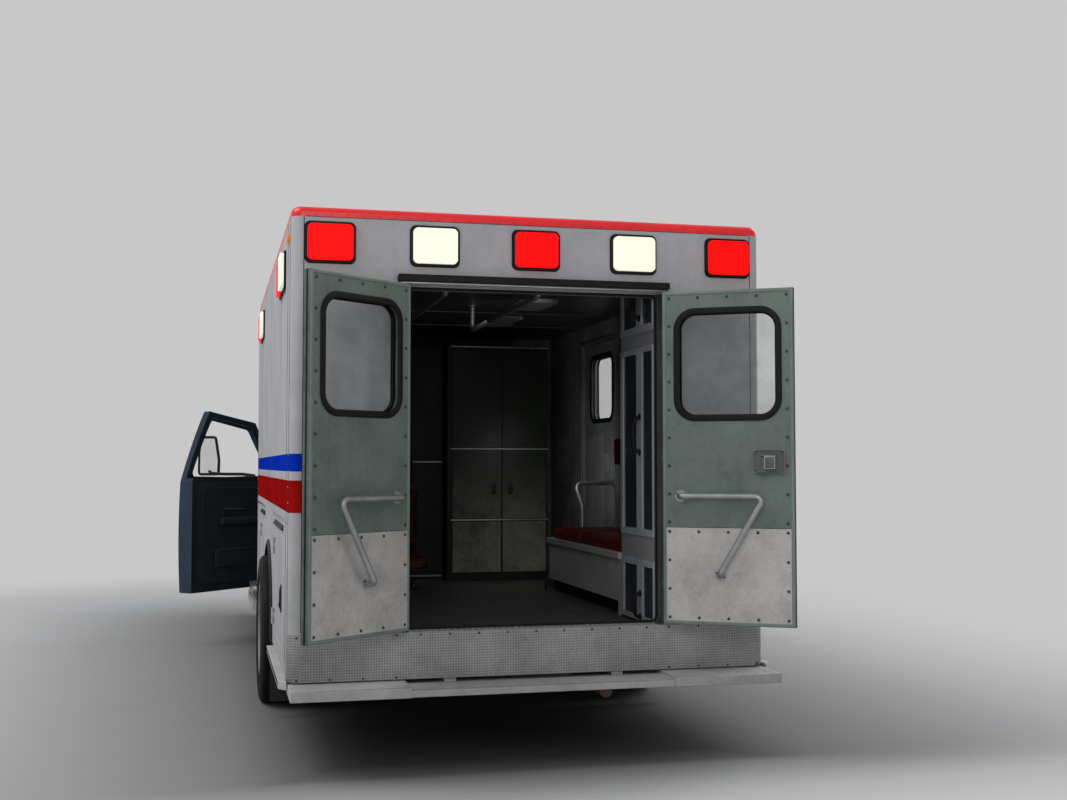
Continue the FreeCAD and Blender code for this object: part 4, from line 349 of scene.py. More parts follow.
def bumped(board, shader, height, strength, distance=0.001, normal=None):
    inputs = {"Height": height, "Strength": strength, "Distance": distance}
    if normal is not None:
        inputs["Normal"] = normal
    feed(board, board("ShaderNodeBump", inputs), shader["Normal"])


def rough_range(board, shader, value, low, high):
    feed(board, board.span(value, 0.0, 1.0, low, high), shader["Roughness"])


def weathered(board, colour, dirt, clouds, runs, dust, dust_height, scale):
    """The weathering group's outputs; colour is a socket or three numbers."""
    if not isinstance(colour, bpy.types.NodeSocket):
        colour = rgba(colour)
    return grouped(board, "weathering", {"Colour": colour, "Dirt": rgba(dirt), "Clouds": clouds, "Runs": runs,
                                         "Dust": dust, "Dust height": dust_height, "Scale": scale})


def worn(board, shader, colour, dirt=(0.09, 0.08, 0.07), clouds=0.22, runs=0.12, dust=0.35, dust_height=0.8,
         scale=1.0, rough=(0.35, 0.65), bump=0.05):
    """Puts a weathered colour, roughness and bump on a shader."""
    made = weathered(board, colour, dirt, clouds, runs, dust, dust_height, scale)
    feed(board, made["Colour"], shader["Base Color"])
    rough_range(board, shader, made["Mask"], *rough)
    bumped(board, shader, made["Height"], bump)
    return made


# ---------------------------------------------------------------- masks for one side of a panel
def outer_wall_mask(board):
    """1 on the outside of the module's walls, 0 on their inner faces."""
    x, y, z = board.split(board.place())
    side = board.maths("GREATER_THAN", board.maths("ABSOLUTE", x), HALF - 0.5 * WALL)
    beside = board.maths("GREATER_THAN", board.maths("ABSOLUTE", x), DOORWAY + 0.0025)
    above = board.maths("GREATER_THAN", z, DOORWAY_TOP)
    rear = board.maths("MULTIPLY", board.maths("LESS_THAN", y, REAR + 0.75 * WALL),
                       board.maths("MAXIMUM", beside, above))
    front = board.maths("GREATER_THAN", y, FRONT - 0.5 * WALL)
    return board.maths("ADD", board.maths("ADD", side, rear), front, clamp=True)


def facing_mask(board, direction, limit=0.25):
    """1 where the surface faces a direction."""
    normal = board.node("ShaderNodeTexCoord").outputs["Normal"]
    turn = board.node("ShaderNodeVectorMath", {0: normal, 1: tuple(direction)}, operation="DOT_PRODUCT")
    return board.maths("GREATER_THAN", turn.outputs["Value"], limit)


def shell_mask(board, centre, limit=0.0):
    """1 on the outside of a shell round a centre, 0 on its inside."""
    coords = board.node("ShaderNodeTexCoord")
    away = board("ShaderNodeVectorMath", {0: coords.outputs["Object"], 1: tuple(centre)}, operation="SUBTRACT")
    turn = board.node("ShaderNodeVectorMath", {0: coords.outputs["Normal"], 1: away}, operation="DOT_PRODUCT")
    return board.maths("GREATER_THAN", turn.outputs["Value"], limit)


def painted_shell(name, mask_maker, inside, colours, sizes):
    """Gloss body paint with the bands outside and a duller colour inside, on one panel.

    inside is a colour, or makes one on the board.
    """
    board, shader = begin(name)
    mask = mask_maker(board)
    made = weathered(board, colours.body, (0.13, 0.125, 0.12), 0.2, 0.1, 0.35, 1.1, 1.0)
    outside = grouped(board, "bands", {
        "Paint": made["Colour"], "Blue": rgba(colours.blue), "Red": rgba(colours.red),
        "Blue low": sizes.blue_low, "Blue high": sizes.blue_high,
        "Red low": sizes.red_low, "Red high": sizes.red_high})["Colour"]
    outside = board.mix(facing_mask(board, (0.0, 0.0, 1.0), 0.6), outside, made["Colour"])
    dull = weathered(board, inside(board) if callable(inside) else inside, (0.03, 0.035, 0.03), 0.45, 0.15, 0.1,
                     0.9, 1.4)
    feed(board, board.mix(mask, dull["Colour"], outside), shader["Base Color"])
    gloss = board.span(made["Mask"], 0.0, 1.0, 0.3, 0.6)
    matt = board.span(dull["Mask"], 0.0, 1.0, 0.5, 0.75)
    feed(board, board.maths("ADD", board.maths("MULTIPLY", mask, gloss),
                            board.maths("MULTIPLY", board.maths("SUBTRACT", 1.0, mask), matt)), shader["Roughness"])
    bumped(board, shader, made["Height"], 0.04)
    shader["Specular IOR Level"].default_value = 0.0


def paint_finishes(colours, sizes):
    def lining(board):
        """The laminate inside the module, with a painted pool of light on the right wall from the side entry
        forward.
        """
        x, y = board.split(board.place())[:2]
        # painted light: the laminate is made 3.2 times brighter here, as if lit through the side entry
        entry = board.maths("MULTIPLY", board.span(x, 0.8, 0.9), board.span(y, REAR + 2.2, REAR + 2.4))
        return board.mix(entry, rgba(colours.laminate), rgba(shade(colours.laminate, 3.2)))

    painted_shell("module_paint", outer_wall_mask, lining, colours, sizes)
    cab_middle = (0.0, REAR + 4.9, 1.15)
    painted_shell("cab_paint", lambda board: shell_mask(board, cab_middle), (0.05, 0.055, 0.06), colours, sizes)
    nose_middle = (0.0, REAR + 5.9, 0.75)
    painted_shell("nose_paint", lambda board: shell_mask(board, nose_middle), (0.04, 0.04, 0.042), colours, sizes)
    for word, side in SIDES:
        door_frame = door_place(f"rear_{word}_door_hinge")
        out = door_frame.to_3x3() @ Vector((0.0, -1.0, 0.0))
        painted_shell(f"rear_{word}_door_paint", lambda board, out=out: facing_mask(board, out, 0.5),
                      colours.door, colours, sizes)
        out = door_place(f"cab_{word}_door_hinge").to_3x3() @ Vector((side, 0.0, 0.0))
        painted_shell(f"cab_{word}_door_paint", lambda board, out=out: facing_mask(board, out, 0.3),
                      lambda board, out=out: board.mix(facing_mask(board, -out, 0.6), rgba(colours.cab_edge),
                                                       rgba(colours.cab_lining)), colours, sizes)

    for name, colour in (("rivet_paint", shade(colours.body, 0.93)),
                         ("side_trim_paint", tuple(colours.body)),
                         ("roof_rivet", shade(colours.roof, 0.85)),
                         ("roof_seam", shade(colours.roof, 0.3))):
        board, shader = begin(name)
        worn(board, shader, colour, shade(colour, 0.25), 0.2, 0.12, 0.35, 1.1, rough=(0.3, 0.6), bump=0.04)

    board, shader = begin("roof_red")
    made = worn(board, shader, colours.roof, (0.1, 0.01, 0.01), 0.22, 0.1, 0.0, rough=(0.28, 0.55))
    # Painted glow: the roof cap is no lamp, yet it gives off a little light in its own red, so it reads brighter
    # than the lamps make it.
    shader["Emission Color"].default_value = (0.7, 0.01, 0.015, 1.0)
    feed(board, made["Colour"], shader["Emission Color"])
    shader["Emission Strength"].default_value = 0.25

    board, shader = begin("door_green")
    made = weathered(board, colours.door, (0.045, 0.055, 0.048), 0.42, 0.12, 0.0, 0.7, 1.6)
    edge = grouped(board, "edge", {"Amount": 0.35})["Mask"]
    feed(board, board.mix(edge, made["Colour"], rgba((0.3, 0.35, 0.32))), shader["Base Color"])
    rough_range(board, shader, made["Mask"], 0.42, 0.65)
    bumped(board, shader, made["Height"], 0.06)

    board, shader = begin("door_rim")
    worn(board, shader, shade(colours.door, 1.25), (0.05, 0.06, 0.05), 0.35, 0.1, 0.0, rough=(0.35, 0.6))


def metal(name, colour, dirt, rough, stretch=(1.0, 1.0, 40.0), metallic=1.0, clouds=0.35, scale=1.5, bump=0.05,
          wear=0.0):
    """A bare metal with rolled grain, tarnish and, if wanted, bright edges."""
    board, shader = begin(name)
    made = weathered(board, colour, dirt, clouds, 0.1, 0.3, 0.7, scale)
    grain = grouped(board, "grain", {"Stretch": stretch})
    dulled = board.span(grain["Shade"], 0.0, 1.0, 0.0, 0.3)
    toned = board.mix(dulled, made["Colour"], rgba(shade(colour, 0.6)))
    if wear:
        edge = grouped(board, "edge", {"Amount": wear})["Mask"]
        toned = board.mix(edge, toned, rgba(shade(colour, 1.6)))
    feed(board, toned, shader["Base Color"])
    rough_range(board, shader, board.maths("MULTIPLY_ADD", grain["Shade"], 0.4, made["Mask"]), *rough)
    bumped(board, shader, grain["Height"], bump)
    shader["Metallic"].default_value = metallic
    return board, shader


def metal_finishes():
    metal("bright_tube", (0.4, 0.405, 0.41), (0.12, 0.12, 0.12), (0.3, 0.6), (30.0, 30.0, 30.0), 0.75, wear=0.2)
    metal("kick_aluminium", (0.56, 0.545, 0.53), (0.26, 0.23, 0.22), (0.4, 0.62), (60.0, 60.0, 1.5), 0.55,
          clouds=0.5, scale=2.2)
    metal("tread_plate", (0.3, 0.295, 0.29), (0.11, 0.105, 0.1), (0.42, 0.7), (8.0, 8.0, 8.0), 0.55, clouds=0.4,
          wear=0.25)
    metal("tread_marks", (0.56, 0.55, 0.54), (0.25, 0.24, 0.23), (0.4, 0.62), (8.0, 8.0, 8.0), 0.45, clouds=0.35)
    metal("step_plate", (0.62, 0.615, 0.61), (0.2, 0.19, 0.18), (0.42, 0.7), (8.0, 8.0, 8.0), 0.45, clouds=0.35,
          wear=0.25)
    metal("step_edge", (0.44, 0.44, 0.43), (0.16, 0.16, 0.15), (0.35, 0.6), (2.0, 40.0, 40.0), 0.65, wear=0.4)
    metal("screw_steel", (0.085, 0.085, 0.08), (0.04, 0.03, 0.025), (0.35, 0.7), (20.0, 20.0, 20.0), 0.85)
    metal("bright_steel", (0.52, 0.52, 0.53), (0.2, 0.2, 0.2), (0.22, 0.5), (20.0, 20.0, 20.0), 1.0)
    metal("chrome", (0.72, 0.73, 0.74), (0.35, 0.35, 0.35), (0.08, 0.3), (10.0, 10.0, 10.0), 1.0, clouds=0.15)
    metal("grey_metal", (0.11, 0.115, 0.12), (0.05, 0.05, 0.05), (0.35, 0.6), (20.0, 20.0, 20.0), 0.45, wear=0.5)
    metal("wheel_steel", (0.42, 0.42, 0.42), (0.1, 0.09, 0.08), (0.35, 0.65), (9.0, 9.0, 9.0), 0.25, wear=0.35)
    metal("chassis_black", (0.022, 0.022, 0.022), (0.05, 0.042, 0.035), (0.5, 0.8), (9.0, 9.0, 9.0), 0.0, wear=0.25)
    metal("cast_iron", (0.06, 0.06, 0.06), (0.05, 0.035, 0.025), (0.55, 0.85), (30.0, 30.0, 30.0), 0.4, bump=0.3)
    metal("exhaust_steel", (0.16, 0.145, 0.13), (0.09, 0.05, 0.03), (0.45, 0.75), (12.0, 12.0, 12.0), 0.7, 0.6)
    metal("cabinet_trim", (0.26, 0.27, 0.28), (0.1, 0.1, 0.1), (0.35, 0.6), (40.0, 40.0, 1.0), 0.5)


def plastic(name, colour, cell=700.0, bump=0.18, rough=(0.42, 0.62), dust=0.3, clouds=0.2, wear=0.15):
    """A moulded plastic or rubber with embossed grain and dust."""
    board, shader = begin(name)
    light = tuple(min(1.0, channel * 1.8 + 0.012) for channel in colour)
    made = weathered(board, colour, light, clouds, 0.05, dust, 0.7, 2.0)
    pebble = grouped(board, "pebble", {"Scale": cell})
    toned = made["Colour"]
    if wear:
        edge = grouped(board, "edge", {"Amount": wear})["Mask"]
        toned = board.mix(edge, toned, rgba(light))
    feed(board, toned, shader["Base Color"])
    rough_range(board, shader, board.maths("MULTIPLY_ADD", pebble["Shade"], 0.5, made["Mask"]), *rough)
    bumped(board, shader, pebble["Height"], bump, 0.0006)
    shader["Specular IOR Level"].default_value = 0.14
    return board, shader


def plastic_finishes(colours):
    plastic("black_trim", (0.007, 0.007, 0.007), dust=0.15)
    plastic("window_rubber", (0.007, 0.007, 0.007), 1100.0, 0.1, (0.45, 0.7), 0.1)
    plastic("mud_rubber", (0.016, 0.016, 0.016), 500.0, 0.2, (0.6, 0.85), 0.7, 0.35)
    plastic("tyre_rubber", (0.0075, 0.0075, 0.008), 420.0, 0.12, (0.6, 0.85), 0.12, 0.15, 0.05)
    plastic("grey_plastic", (0.045, 0.046, 0.048), 600.0)
    plastic("dark_plastic", (0.02, 0.021, 0.023), 380.0, 0.35)
    plastic("cab_lining", tuple(colours.cab_lining), 420.0, 0.35, (0.5, 0.7), 0.0)
    plastic("interior_light", (0.3, 0.3, 0.29), 500.0, 0.06, (0.35, 0.5), 0.0)
    plastic("toe_black", (0.008, 0.008, 0.008), 300.0, 0.2)

    for name, colour, dirt, clouds, runs, dust, dust_height, rough in (
            ("laminate", colours.laminate, (0.04, 0.048, 0.042), 0.42, 0.18, 0.15, 0.9, (0.38, 0.62)),
            ("cabinet_laminate", (0.29, 0.295, 0.305), (0.11, 0.112, 0.12), 0.32, 0.12, 0.25, 1.1, (0.36, 0.6)),
            ("cabinet_light", (0.38, 0.39, 0.4), (0.15, 0.155, 0.165), 0.3, 0.12, 0.2, 1.1, (0.34, 0.55)),
            ("bench_laminate", (0.4, 0.4, 0.405), (0.14, 0.14, 0.145), 0.32, 0.12, 0.2, 1.1, (0.36, 0.6))):
        board, shader = begin(name)
        worn(board, shader, colour, dirt, clouds, runs, dust, dust_height, 1.8, rough, 0.05)

    board, shader = begin("front_laminate")
    # Painted light and shade: the doors run from a pale tone below 0.7 m to near black above 1.5 m, lit low down
    # and shaded above.
    rise = board.span(board.split(board.place())[2], 0.7, 1.5)
    painted_shade_gradient = board.mix(rise, rgba((0.215, 0.212, 0.172)), rgba((0.012, 0.015, 0.011)))
    worn(board, shader, painted_shade_gradient, (0.016, 0.021, 0.017), 0.65, 0.1, 0.1, 1.1, 1.3, (0.3, 0.5), 0.04)
    shader["Specular IOR Level"].default_value = 0.12

    board, shader = begin("front_partition")
    # Painted shade: the front cabinet gets a near-black colour that stands for the shade at the front of the
    # module.
    worn(board, shader, (0.013, 0.016, 0.012), (0.008, 0.009, 0.007), 0.55, 0.15, 0.1, 1.1, 1.6, (0.4, 0.6), 0.04)
    shader["Specular IOR Level"].default_value = 0.12

    board, shader = begin("floor_sheet")
    made = weathered(board, colours.floor, (0.1, 0.098, 0.09), 0.35, 0.0, 0.0, 0.7, 3.0)
    flecks = board.span(board.noise(board.place(), 240.0, 1.0), 0.6, 0.66)
    feed(board, board.mix(board.maths("MULTIPLY", flecks, 0.5), made["Colour"], rgba((0.2, 0.2, 0.19))),
         shader["Base Color"])
    rough_range(board, shader, made["Mask"], 0.4, 0.7)
    bumped(board, shader, board.noise(board.place(), 300.0, 2.0), 0.15)

    # the first is the cushions' own red vinyl; the second is the same vinyl at 0.3 of its brightness, painted shade
    # for the attendant's seat and the bench backrest
    for name, part in (("red_vinyl", 1.0), ("painted_shade_vinyl", 0.3)):
        board, shader = begin(name)
        pebble = grouped(board, "pebble", {"Scale": 520.0})
        made = weathered(board, shade(colours.vinyl, part), (0.3 * part, 0.05 * part, 0.05 * part), 0.12, 0.0, 0.0,
                         0.7, 3.0)
        feed(board, made["Colour"], shader["Base Color"])
        rough_range(board, shader, board.maths("MULTIPLY_ADD", pebble["Shade"], 0.4, made["Mask"]), 0.4, 0.6)
        wrinkle = board("ShaderNodeBump", {"Height": board.noise(board.place(), 9.0, 5.0, 0.6), "Strength": 0.35,
                                           "Distance": 0.006})
        bumped(board, shader, pebble["Height"], 0.25, 0.0005, wrinkle)
        shader["Specular IOR Level"].default_value = 0.15

    board, shader = begin("cab_cloth")
    weave = board.node("ShaderNodeTexWave", {"Vector": board.place(), "Scale": 260.0, "Distortion": 1.5},
                       bands_direction="X").outputs["Fac"]
    cross = board.node("ShaderNodeTexWave", {"Vector": board.place(), "Scale": 260.0, "Distortion": 1.5},
                       bands_direction="Z").outputs["Fac"]
    woven = board.maths("MULTIPLY", weave, cross)
    mottled = board.span(board.noise(board.place(), 11.0, 4.0), 0.35, 0.65)
    base = board.mix(mottled, rgba((0.035, 0.042, 0.052)), rgba((0.062, 0.072, 0.086)))
    feed(board, board.mix(board.maths("MULTIPLY", woven, 0.5), base, rgba((0.02, 0.024, 0.03))),
         shader["Base Color"])
    rough_range(board, shader, mottled, 0.75, 0.9)
    bumped(board, shader, woven, 0.4, 0.0006)
    shader["Sheen Weight"].default_value = 0.3


def lens(name, colour, glow, fluted=True):
    """A moulded lens: fine upright flutes under a clear skin, lit from within."""
    board, shader = begin(name)
    spot = board.place()
    across, along = board.split(spot)[:2]
    wave = board.maths("SINE", board.maths("MULTIPLY", board.maths("ADD", across, along),
                                           900.0 if fluted else 300.0))
    ribs = board.span(wave, -1.0, 1.0)
    cloud = board.span(board.noise(spot, 14.0, 4.0), 0.35, 0.65)
    deep = rgba(shade(colour, 0.88))
    ribbed = board.mix(board.maths("MULTIPLY", ribs, 0.18), rgba(colour), deep)
    dusty = board.mix(board.maths("MULTIPLY", cloud, 0.1), ribbed, rgba(shade(colour, 0.85)))
    feed(board, dusty, shader["Base Color"])
    feed(board, dusty, shader["Emission Color"])
    shader["Emission Strength"].default_value = glow
    rough_range(board, shader, cloud, 0.3, 0.42)
    bumped(board, shader, ribs, 0.12, 0.0005)
    shader["Specular IOR Level"].default_value = 0.04


def glass(name, colour, rough, haziness=0.78):
    board, shader = begin(name)
    haze = board.span(board.noise(board.place(), 6.0, 5.0, 0.6), 0.35, 0.7)
    feed(board, board.mix(haze, rgba(colour), rgba(shade(colour, haziness))), shader["Base Color"])
    rough_range(board, shader, haze, *rough)
    shader["Transmission Weight"].default_value = 1.0
    shader["IOR"].default_value = 1.3


def glass_finishes(colours):
    lens("red_lens", tuple(colours.lens_red), 0.8)
    lens("cream_lens", tuple(colours.lens_cream), 0.48)
    lens("clear_lamp", (0.72, 0.74, 0.76), 0.1)
    lens("amber_lens", (0.8, 0.22, 0.01), 0.2)
    glass("window_glass", (0.8, 0.82, 0.82), (0.02, 0.12))
    glass("clear_glass", (1.0, 1.0, 1.0), (0.0, 0.01), 0.97)
    glass("headlamp_glass", (0.92, 0.94, 0.95), (0.0, 0.05))

    for name, scale, first, second, rough, look, amount in (
            ("cabinet_glass", 5.0, (0.022, 0.028, 0.04), (0.04, 0.048, 0.062), (0.1, 0.3), "Coat Weight", 0.4),
            ("mirror_glass", 8.0, (0.82, 0.84, 0.86), (0.7, 0.72, 0.74), (0.02, 0.1), "Metallic", 1.0)):
        board, shader = begin(name)
        haze = board.span(board.noise(board.place(), scale, 4.0), 0.35, 0.7)
        feed(board, board.mix(haze, rgba(first), rgba(second)), shader["Base Color"])
        rough_range(board, shader, haze, *rough)
        shader[look].default_value = amount


# ---------------------------------------------------------------- mesh helpers
def door_place(joint_name):
    """The matrix from a door's own frame, pin at the origin and door shut, to where it stands parked."""
    joint = JOINTS[joint_name]
    pin = Vector(joint["pos_m"])
    low, high = joint["range_deg"]
    turn = high if abs(high) > abs(low) else low
    angle = -math.radians(turn) * joint["axis"][2]
    return Matrix.Translation((pin.x, pin.y, 0.0)) @ Matrix.Rotation(angle, 4, "Z")


def corner_arc(centre, radius, start, steps):
    return [(centre[0] + radius * math.cos(start + math.pi / 2 * step / steps),
             centre[1] + radius * math.sin(start + math.pi / 2 * step / steps)) for step in range(steps + 1)]


def round_rect(low, high, radius, steps=6):
    """The points of a rectangle with rounded corners, anticlockwise in its own plane."""
    (a0, b0), (a1, b1) = low, high
    r = radius
    points = []
    for centre, start in (((a1 - r, b1 - r), 0.0), ((a0 + r, b1 - r), math.pi / 2),
                          ((a0 + r, b0 + r), math.pi), ((a1 - r, b0 + r), math.pi * 1.5)):
        points += corner_arc(centre, r, start, steps) if r > 0 else [centre]
    return points


def rect_about(middle, half, radius, steps=6):
    """A rounded rectangle round a middle, by its half sizes."""
    return round_rect([m - h for m, h in zip(middle, half)], [m + h for m, h in zip(middle, half)], radius, steps)


def upright_xz(y=0.0):
    """Plane coordinates to space for a face that looks along Y: the third number is the depth."""
    return lambda a, b, c: Vector((a, y + c, b))


def upright_yz(x=0.0):
    return lambda a, b, c: Vector((x + c, a, b))


def level_xy(z=0.0):
    return lambda a, b, c: Vector((a, b, z + c))


def lengthwise(a, b, c):
    """A cross-section in X and Z, carried along Y."""
    return Vector((a, c, b))


def neighbours(line, closed):
    """For each point of a line, the one before and the one after, or itself at an open end."""
    before = line[-1:] + line[:-1] if closed else line[:1] + line[:-1]
    after = line[1:] + line[:1] if closed else line[1:] + line[-1:]
    return zip(before, after)


class Shape:
    """A mesh being put together from closed solids."""

    def __init__(self):
        self.bm = bmesh.new()

    def block(self, low, high, round_by=0.002, steps=2):
        """A box with rounded edges between two opposite corners."""
        verts = bmesh.ops.create_cube(self.bm, size=1.0)["verts"]
        middle = (Vector(low) + Vector(high)) / 2
        size = Vector(high) - Vector(low)
        for vert in verts:
            vert.co = Vector((middle[i] + vert.co[i] * abs(size[i]) for i in range(3)))
        if round_by:
            edges = dict.fromkeys(edge for vert in verts for edge in vert.link_edges)
            offset = min(round_by, 0.45 * min(abs(size[i]) for i in range(3)))
            bmesh.ops.bevel(self.bm, geom=list(edges), offset=offset, segments=steps, profile=0.5, affect="EDGES")
        return self

    def slab(self, outline, depth, to_space, holes=()):
        """An extruded outline, with holes, between two depths of its plane."""
        rings = [[[self.bm.verts.new(to_space(a, b, c)) for c in depth] for a, b in loop]
                 for loop in (outline, *holes)]
        for ring in rings:
            for first, second in zip(ring, ring[1:] + ring[:1]):
                self.bm.faces.new((first[0], second[0], second[1], first[1]))
        for level in (0, 1):
            if len(rings) == 1:
                self.bm.faces.new([pair[level] for pair in rings[0]])
                continue
            edges = []
            for ring in rings:
                for first, second in zip(ring, ring[1:] + ring[:1]):
                    edges.append(self.bm.edges.get((first[level], second[level])))
            bmesh.ops.triangle_fill(self.bm, edges=edges, use_beauty=True)
        return self

    def skinned(self, rings, pairs, capped):
        """Faces between pairs of rings of points, with caps on the first and last ring of an open run."""
        for first, second in pairs:
            size = len(first)
            for k in range(size):
                self.bm.faces.new((first[k], first[(k + 1) % size], second[(k + 1) % size], second[k]))
        if capped:
            self.bm.faces.new(rings[0])
            self.bm.faces.new(rings[-1])
        return self

    def sweep(self, path, section, to_space, closed=True):
        """A section of (outward, depth) points carried round a flat path, mitred at its corners."""
        rings = []
        for (a, b), (before, after) in zip(path, neighbours(path, closed)):
            along = []
            for first, second in ((before, (a, b)), ((a, b), after)):
                way = Vector((second[0] - first[0], second[1] - first[1]))
                if way.length > 1e-9:
                    along.append(way.normalized())
            first, second = along[0], along[-1]
            out = Vector((first.y, -first.x)) + Vector((second.y, -second.x))
            out = out / max(0.25, (out.length_squared / 2)) if out.length > 1e-6 else Vector((first.y, -first.x))
            rings.append([self.bm.verts.new(to_space(a + out.x * u, b + out.y * u, w)) for u, w in section])
        pairs = list(zip(rings, rings[1:])) + ([(rings[-1], rings[0])] if closed else [])
        return self.skinned(rings, pairs, not closed)

    def tube(self, points, radius, sides=12, closed=False):
        """A round tube along points, its section carried without twist."""
        line = [Vector(point) for point in points]
        tangents = [(after - before).normalized() for before, after in neighbours(line, closed)]
        side = tangents[0].orthogonal().normalized()
        rings = []
        for index, (point, way) in enumerate(zip(line, tangents)):
            side = (side - way * side.dot(way)).normalized()
            up = way.cross(side)
            here = radius[index] if isinstance(radius, (list, tuple)) else radius
            rings.append([self.bm.verts.new(point + (side * math.cos(t) + up * math.sin(t)) * here)
                          for t in (2 * math.pi * k / sides for k in range(sides))])
        pairs = list(zip(rings, rings[1:])) + ([(rings[-1], rings[0])] if closed else [])
        return self.skinned(rings, pairs, not closed)

    def rod(self, start, end, radius, sides=16):
        """A short rod with softened ends."""
        start, end = Vector(start), Vector(end)
        soft = (end - start).normalized() * min(radius * 0.25, (end - start).length * 0.2)
        return self.tube([start, start + soft, end - soft, end], [radius * 0.86, radius, radius, radius * 0.86],
                         sides)

    def lathe(self, profile, centre, sides=48):
        """A profile of (x, radius) turned about an axis along X through a centre; a closed profile."""
        centre = Vector(centre)
        rings = []
        for k in range(sides):
            t = 2 * math.pi * k / sides
            rings.append([self.bm.verts.new(centre + Vector((x, r * math.cos(t), r * math.sin(t)))) for x,
                          r in profile])
        return self.skinned(rings, zip(rings, rings[1:] + rings[:1]), False)

# the slot that goes with each fitting's finish
SLOT_FINISHES = {
    "black_trim": ("black_trim", "window_rubber", "cabinet_glass", "toe_black"),
    "bright_tube": ("screw_steel", "bright_steel", "grey_metal", "cabinet_trim"),
    "tread_plate": ("kick_aluminium", "tread_marks", "step_edge"),
    "green_paint": ("door_green", "door_rim"),
    "white_paint": ("rivet_paint", "side_trim_paint"),
    "red_paint": ("roof_seam", "roof_rivet"),
    "red_lens": ("amber_lens",),
    "cabinet_laminate": ("cabinet_laminate", "cabinet_light", "front_laminate"),
    "chassis_black": ("exhaust_steel",),
    "grey_plastic": ("grey_plastic", "cab_lining", "dark_plastic", "interior_light"),
    "window_glass": ("mirror_glass",),
    "wheel_steel": ("chrome",),
    "tyre_rubber": ("tyre_rubber",),
}
SLOT_OF = {finish: slot for slot, finishes in SLOT_FINISHES.items() for finish in finishes}


def finished(name, shape, finish, body="chassis", slot=None, sharp=32.0, place=None):
    """Makes a shape a piece: outward faces, smooth but for its sharp edges, riding on a body."""
    bm = shape.bm
    if place is not None:
        bm.transform(place)
    bmesh.ops.remove_doubles(bm, verts=bm.verts, dist=1e-6)
    bmesh.ops.recalc_face_normals(bm, faces=bm.faces)
    mesh = bpy.data.meshes.new(name)
    bm.to_mesh(mesh)
    bm.free()
    return dressed(name, mesh, finish, body, slot, sharp)


def dressed(name, mesh, finish, body, slot=None, sharp=32.0):
    """Turns a mesh into a piece; its slot, the one that its finish goes with unless one is given, is worked out but
    not kept.
    """
    slot = slot or SLOT_OF[finish]
    mesh.materials.clear()
    mesh.materials.append(FINISHES[finish])
    mesh.shade_smooth()
    mesh.set_sharp_from_angle(angle=math.radians(sharp))
    piece = bpy.data.objects.new(name, mesh)
    bpy.context.scene.collection.objects.link(piece)
    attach(piece, body)
    return piece


# ---------------------------------------------------------------- repeated fittings by Geometry Nodes
def fitting_tree(name, build):
    """A tree that sets one small shape at every point, turned by its facing, as one mesh."""
    tree = bpy.data.node_groups.new(name, "GeometryNodeTree")
    face = tree.interface
    face.new_socket(name="Points", in_out="INPUT", socket_type="NodeSocketGeometry")
    for label, kind, default in (("Width", "NodeSocketFloat", 0.01), ("Length", "NodeSocketFloat", 0.01),
                                 ("Height", "NodeSocketFloat", 0.003), ("Finish", "NodeSocketMaterial", None)):
        socket = face.new_socket(name=label, in_out="INPUT", socket_type=kind)
        if default is not None:
            socket.default_value = default
    face.new_socket(name="Mesh", in_out="OUTPUT", socket_type="NodeSocketGeometry")
    board = Board(tree)
    entry = board.node("NodeGroupInput").outputs
    small = build(board, entry)
    facing = board("GeometryNodeInputNamedAttribute", {"Name": "facing"}, data_type="FLOAT_VECTOR")
    along = board("GeometryNodeInputNamedAttribute", {"Name": "along"}, data_type="FLOAT_VECTOR")
    turned = board("FunctionNodeAxesToRotation", {"Primary Axis": facing, "Secondary Axis": along},
                   primary_axis="Z", secondary_axis="X")
    placed = board("GeometryNodeInstanceOnPoints", {"Points": entry["Points"], "Instance": small,
                                                    "Rotation": turned})
    joined = board("GeometryNodeRealizeInstances", {0: placed})
    done = board("GeometryNodeSetMaterial", {"Geometry": joined, "Material": entry["Finish"]})
    leave = board.node("NodeGroupOutput")
    feed(board, done, leave.inputs[0])
    return tree


def cone(board, corners, top, bottom, depth):
    return board("GeometryNodeMeshCone", {"Vertices": corners, "Side Segments": 1, "Radius Top": top,
                                          "Radius Bottom": bottom, "Depth": depth}, fill_type="NGON")


def topped(board, low, high, rise):
    """One mesh raised and joined with another."""
    raised = board("GeometryNodeTransform", {
        "Geometry": high, "Translation": board("ShaderNodeCombineXYZ", {"Z": rise})})
    join = board.node("GeometryNodeJoinGeometry")
    for part in (low, raised):
        feed(board, part, join.inputs[0])
    return join.outputs[0]


def screw_shape(board, entry):
    """A low domed head on a washer."""
    half = board.maths("MULTIPLY", entry["Height"], 0.5)
    washer = cone(board, 12, board.maths("MULTIPLY", entry["Width"], 0.9), entry["Width"], half)
    head = cone(board, 12, board.maths("MULTIPLY", entry["Width"], 0.34),
                board.maths("MULTIPLY", entry["Width"], 0.72), half)
    return topped(board, washer, head, half)


def mark_shape(board, entry):
    """A raised lens-shaped mark of tread plate."""
    ball = board("GeometryNodeMeshUVSphere", {"Segments": 6, "Rings": 3, "Radius": 1.0})
    size = board("ShaderNodeCombineXYZ", {"X": entry["Length"], "Y": entry["Width"], "Z": entry["Height"]})
    return board("GeometryNodeTransform", {"Geometry": ball, "Scale": size})


def hex_shape(board, entry):
    """A nut on its stud."""
    nut = cone(board, 6, board.maths("MULTIPLY", entry["Width"], 0.9), entry["Width"], entry["Height"])
    stud = board("GeometryNodeMeshCylinder", {
        "Vertices": 10, "Radius": board.maths("MULTIPLY", entry["Width"], 0.45), "Depth": entry["Length"]})
    return topped(board, nut, stud, entry["Height"])


